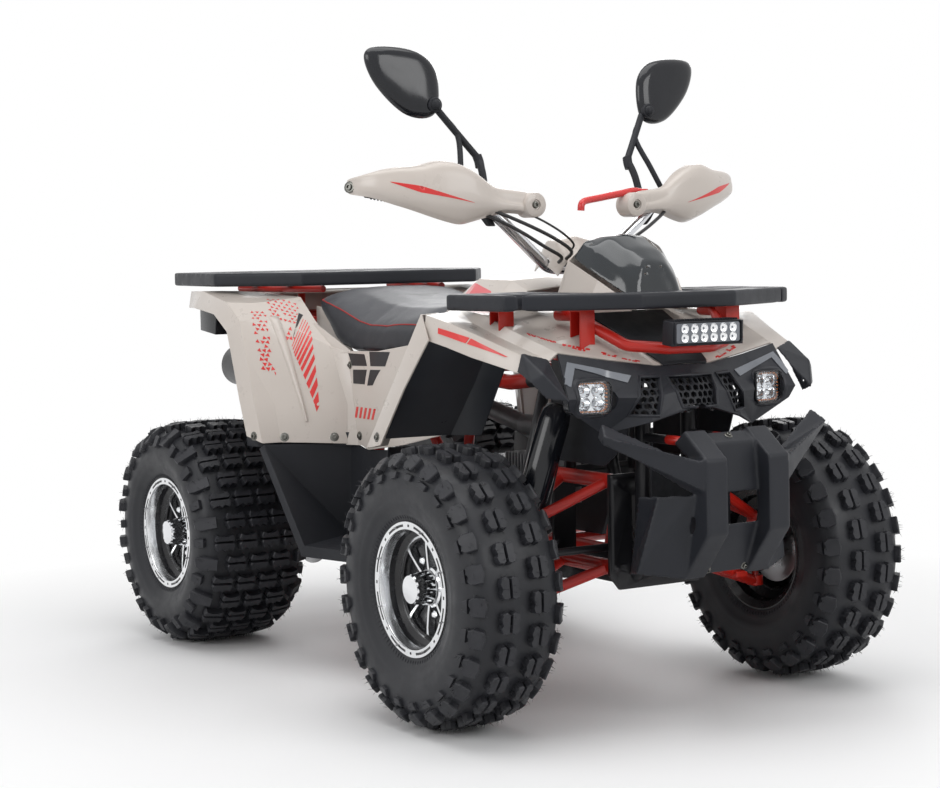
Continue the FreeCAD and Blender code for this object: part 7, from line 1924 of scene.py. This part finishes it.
@dataclass
class Trims:
    """Plain panels that close the body: seam strips, skirts, inner walls, ribs and shock covers."""

    shop: Workshop
    shells: Shells
    seam: tuple[Point, ...] = ((-0.222, -0.222, 0.618), (-0.165, -0.1965, 0.607), (-0.132, -0.1965, 0.424),
                               (-0.190, -0.224, 0.424))
    infill: tuple[Point, ...] = ((-0.345, -0.174, 0.695), (-0.300, -0.174, 0.690), (-0.262, -0.174, 0.655),
                                 (-0.228, -0.174, 0.628), (-0.205, -0.174, 0.612), (-0.190, -0.174, 0.600),
                                 (-0.345, -0.174, 0.600))
    gusset: tuple[Point, ...] = ((-0.268, -0.222, 0.665), (-0.160, -0.1963, 0.6065), (-0.222, -0.2215, 0.600),
                                 (-0.280, -0.236, 0.600))
    skirt: tuple[Flat, ...] = ((-0.300, -0.362), (-0.262, -0.358), (-0.238, -0.316), (-0.184, -0.229),
                               (-0.150, -0.199))
    skirt_span: Flat = (0.449, 0.422)
    wall: tuple[Flat, ...] = ((0.405, 0.610), (0.615, 0.585), (0.640, 0.540), (0.615, 0.470), (0.560, 0.432),
                              (0.405, 0.432))
    wall_place: float = 0.114
    thick: float = 0.003
    rib: tuple[Point, ...] = ((-0.308, -0.303, 0.680), (-0.302, -0.282, 0.680), (-0.2055, -0.2740, 0.470),
                              (-0.2085, -0.2795, 0.470))
    rib_height: float = 0.0050
    cover_steps: int = 22
    cover_reach: float = 122.0
    cover_wall: float = 0.0026
    back: tuple[Flat, ...] = ((-0.085, 0.300), (0.085, 0.300), (0.085, 0.440), (-0.085, 0.440))

    def plate(self, points: Sequence[Point]) -> bpy.types.Mesh:
        """A flat panel through the points, its thickness towards the machine's middle."""
        corners = [Vector(point) for point in points]
        out = (corners[1] - corners[0]).cross(corners[2] - corners[0]).normalized()
        if out.y * corners[0].y > 0:
            out.negate()
        bm = bmesh.new()
        bridge(bm, [[bm.verts.new(corner + out * depth) for corner in corners] for depth in (0.0, self.thick)],
               caps=True)
        bmesh.ops.recalc_face_normals(bm, faces=bm.faces)
        round_edges(bm, 0.0008, 2)
        return mesh_from(bm, "plate", 30.0)

    def shock_cover(self, way: int) -> bpy.types.Mesh:
        """A rounded cover in front of one spring, with a domed top and a stepped foot."""
        foot, top = Vector((0.477, way * 0.2150, 0.355)), Vector((0.477, way * 0.1500, 0.535))
        stations = ((0.0, 0.0215), (0.03, 0.0245), (0.12, 0.0262), (0.50, 0.0272), (0.84, 0.0275), (0.93, 0.0255),
                    (0.985, 0.0200), (1.0, 0.0140))
        ahead, front = (top - foot).normalized(), Vector((1.0, 0.0, 0.0))
        beside = ahead.cross(front).normalized()
        turns = [math.radians(-self.cover_reach + 2 * self.cover_reach * step / self.cover_steps)
                 for step in range(self.cover_steps + 1)]
        bm = bmesh.new()
        rows = []
        for share, radius in stations:
            middle = foot.lerp(top, share)
            outer, inner = ([middle + (front * math.cos(turn) + beside * math.sin(turn)) * part for turn in turns]
                            for part in (radius, radius - self.cover_wall))
            rows.append([bm.verts.new(point) for point in outer + inner[::-1]])
        bridge(bm, rows, caps=True)
        bmesh.ops.triangulate(bm, faces=[face for face in bm.faces if len(face.verts) > 4])
        return mesh_from(bm, "cover", 38.0)

    def build(self) -> None:
        """Makes every trim on both sides."""
        ribbed = Skin(self.shells.made["rear_fender"])
        high, low = self.skirt_span
        for side, way in SIDES.items():
            seam = join_meshes("seam", [self.plate(mirrored(points, -way))
                                        for points in (self.seam, self.gusset, self.infill)])
            skirt = join_meshes("skirt", [
                self.plate([(x0, -y0 * way, high), (x1, -y1 * way, high), (x1, -y1 * way, low), (x0, -y0 * way, low)])
                for (x0, y0), (x1, y1) in zip(self.skirt, self.skirt[1:])])
            rib = Films.lay(ribbed, mirrored(self.rib, -way), WHOLE, 0.0002, (10, 26), self.rib_height)
            shade(rib, 60.0)
            for name, mesh, slot, finish, replaces in (
                    ("seam_strip", seam, "panel_plastic", "beige_panel", ()),
                    ("fender_skirt", skirt, "black_plastic", "grained_black", ()),
                    ("inner_wall", self.plate([(x, way * self.wall_place, z) for x, z in self.wall]),
                     "black_plastic", "grained_black", ()),
                    ("shock_cover", self.shock_cover(way), "black_plastic", "gloss_black", ("shock_guards",)),
                    ("fender_ribs", rib, "panel_plastic", "beige_panel", ())):
                self.shop.fit(f"{name}_{side}", mesh, "chassis", slot, finish, replaces if way > 0 else ())
        self.shop.fit("bumper_back", prism(self.back, 0.650, 0.654), "chassis", "black_plastic", "grained_black")


@dataclass
class Fasteners:
    """Socket-headed screws with washers, set on the panels and the bumper."""

    shop: Workshop
    spots: tuple[tuple[str, Point, Point, float], ...] = (
        ("chassis", (-0.261, -0.366, 0.444), (0.28, -0.96, 0.07), 0.0052),
        ("chassis", (-0.229, -0.315, 0.441), (0.80, -0.57, 0.21), 0.0052),
        ("chassis", (-0.176, -0.232, 0.440), (0.86, -0.48, 0.16), 0.0052),
        ("chassis", (-0.131, -0.200, 0.443), (0.0, -1.0, 0.0), 0.0052),
        ("chassis", (-0.164, -0.200, 0.581), (0.0, -1.0, 0.0), 0.0045),
        ("chassis", (0.215, -0.362, 0.474), (-0.06, -0.99, 0.09), 0.0052),
        ("chassis", (0.752, 0.0, 0.491), (0.50, 0.0, 0.87), 0.0042),
        ("chassis", (0.743, -0.040, 0.268), (0.93, 0.0, -0.36), 0.0040),
        ("steering", (0.3605, -0.1125, 0.8825), (1.0, 0.0, 0.0), 0.0058),
        ("steering", (0.243, -0.424, 0.917), (0.45, -0.88, 0.15), 0.0060),
    )

    @staticmethod
    def screw(size: float, sides: int = 12) -> bpy.types.Mesh:
        """One screw whose head stands along Y, with a hexagon socket."""
        outline = ((-0.0015, 1.75), (0.0004, 1.75), (0.0008, 1.60), (0.0008, 1.05), (0.0034, 1.0), (0.0042, 0.82),
                   (0.0042, 0.56), (0.0014, 0.52), (0.0013, 0.0))
        socket, across_flats = (0.56, 0.52), 0.93
        bm = bmesh.new()
        rings = []
        for along, share in outline:
            radii = [share * size * (across_flats if share in socket and k % 2 else 1.0) for k in range(sides)]
            rings.append([bm.verts.new((radius * x, along, radius * z))
                          for radius, (x, z) in zip(radii, circle(sides))])
        bridge(bm, rings)
        bm.faces.new(rings[0])
        bmesh.ops.remove_doubles(bm, verts=bm.verts, dist=TINY)
        return mesh_from(bm, "screw")

    def build(self) -> None:
        """Sets the screws on both sides, one piece a body."""
        groups: dict[str, list[bpy.types.Mesh]] = {"chassis": [], "steering": []}
        for body, place, facing, size in self.spots:
            for way in (1, -1) if abs(place[1]) > 0.01 else (1,):
                (spot, out) = (Vector(point) for point in mirrored((place, facing), way))
                mesh = self.screw(size)
                mesh.transform(Matrix.Translation(spot) @ out.to_track_quat("Y", "Z").to_matrix().to_4x4())
                groups[body].append(mesh)
        for body, meshes in groups.items():
            whole = join_meshes("screws", meshes)
            shade(whole, 35.0)
            self.shop.fit(f"screws_{body}", whole, body, "bare_steel", "zinc_bolt")


def main() -> None:
    """Builds every sub-assembly in order."""
    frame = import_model()
    shop = Workshop(frame)
    Studio().build()
    shells = Shells(shop)
    shells.build()
    for sizes in (FRONT, REAR):
        Tyre(shop, sizes).build()
        Rim(shop, sizes).build()
    for piece in (FrontFace(shop), LightBar(shop), Handguards(shop), Bars(shop), Saddle(shop), Trims(shop, shells),
                  Films(shop, shells), Fasteners(shop)):
        piece.build()


if __name__ == "__main__":
    main()
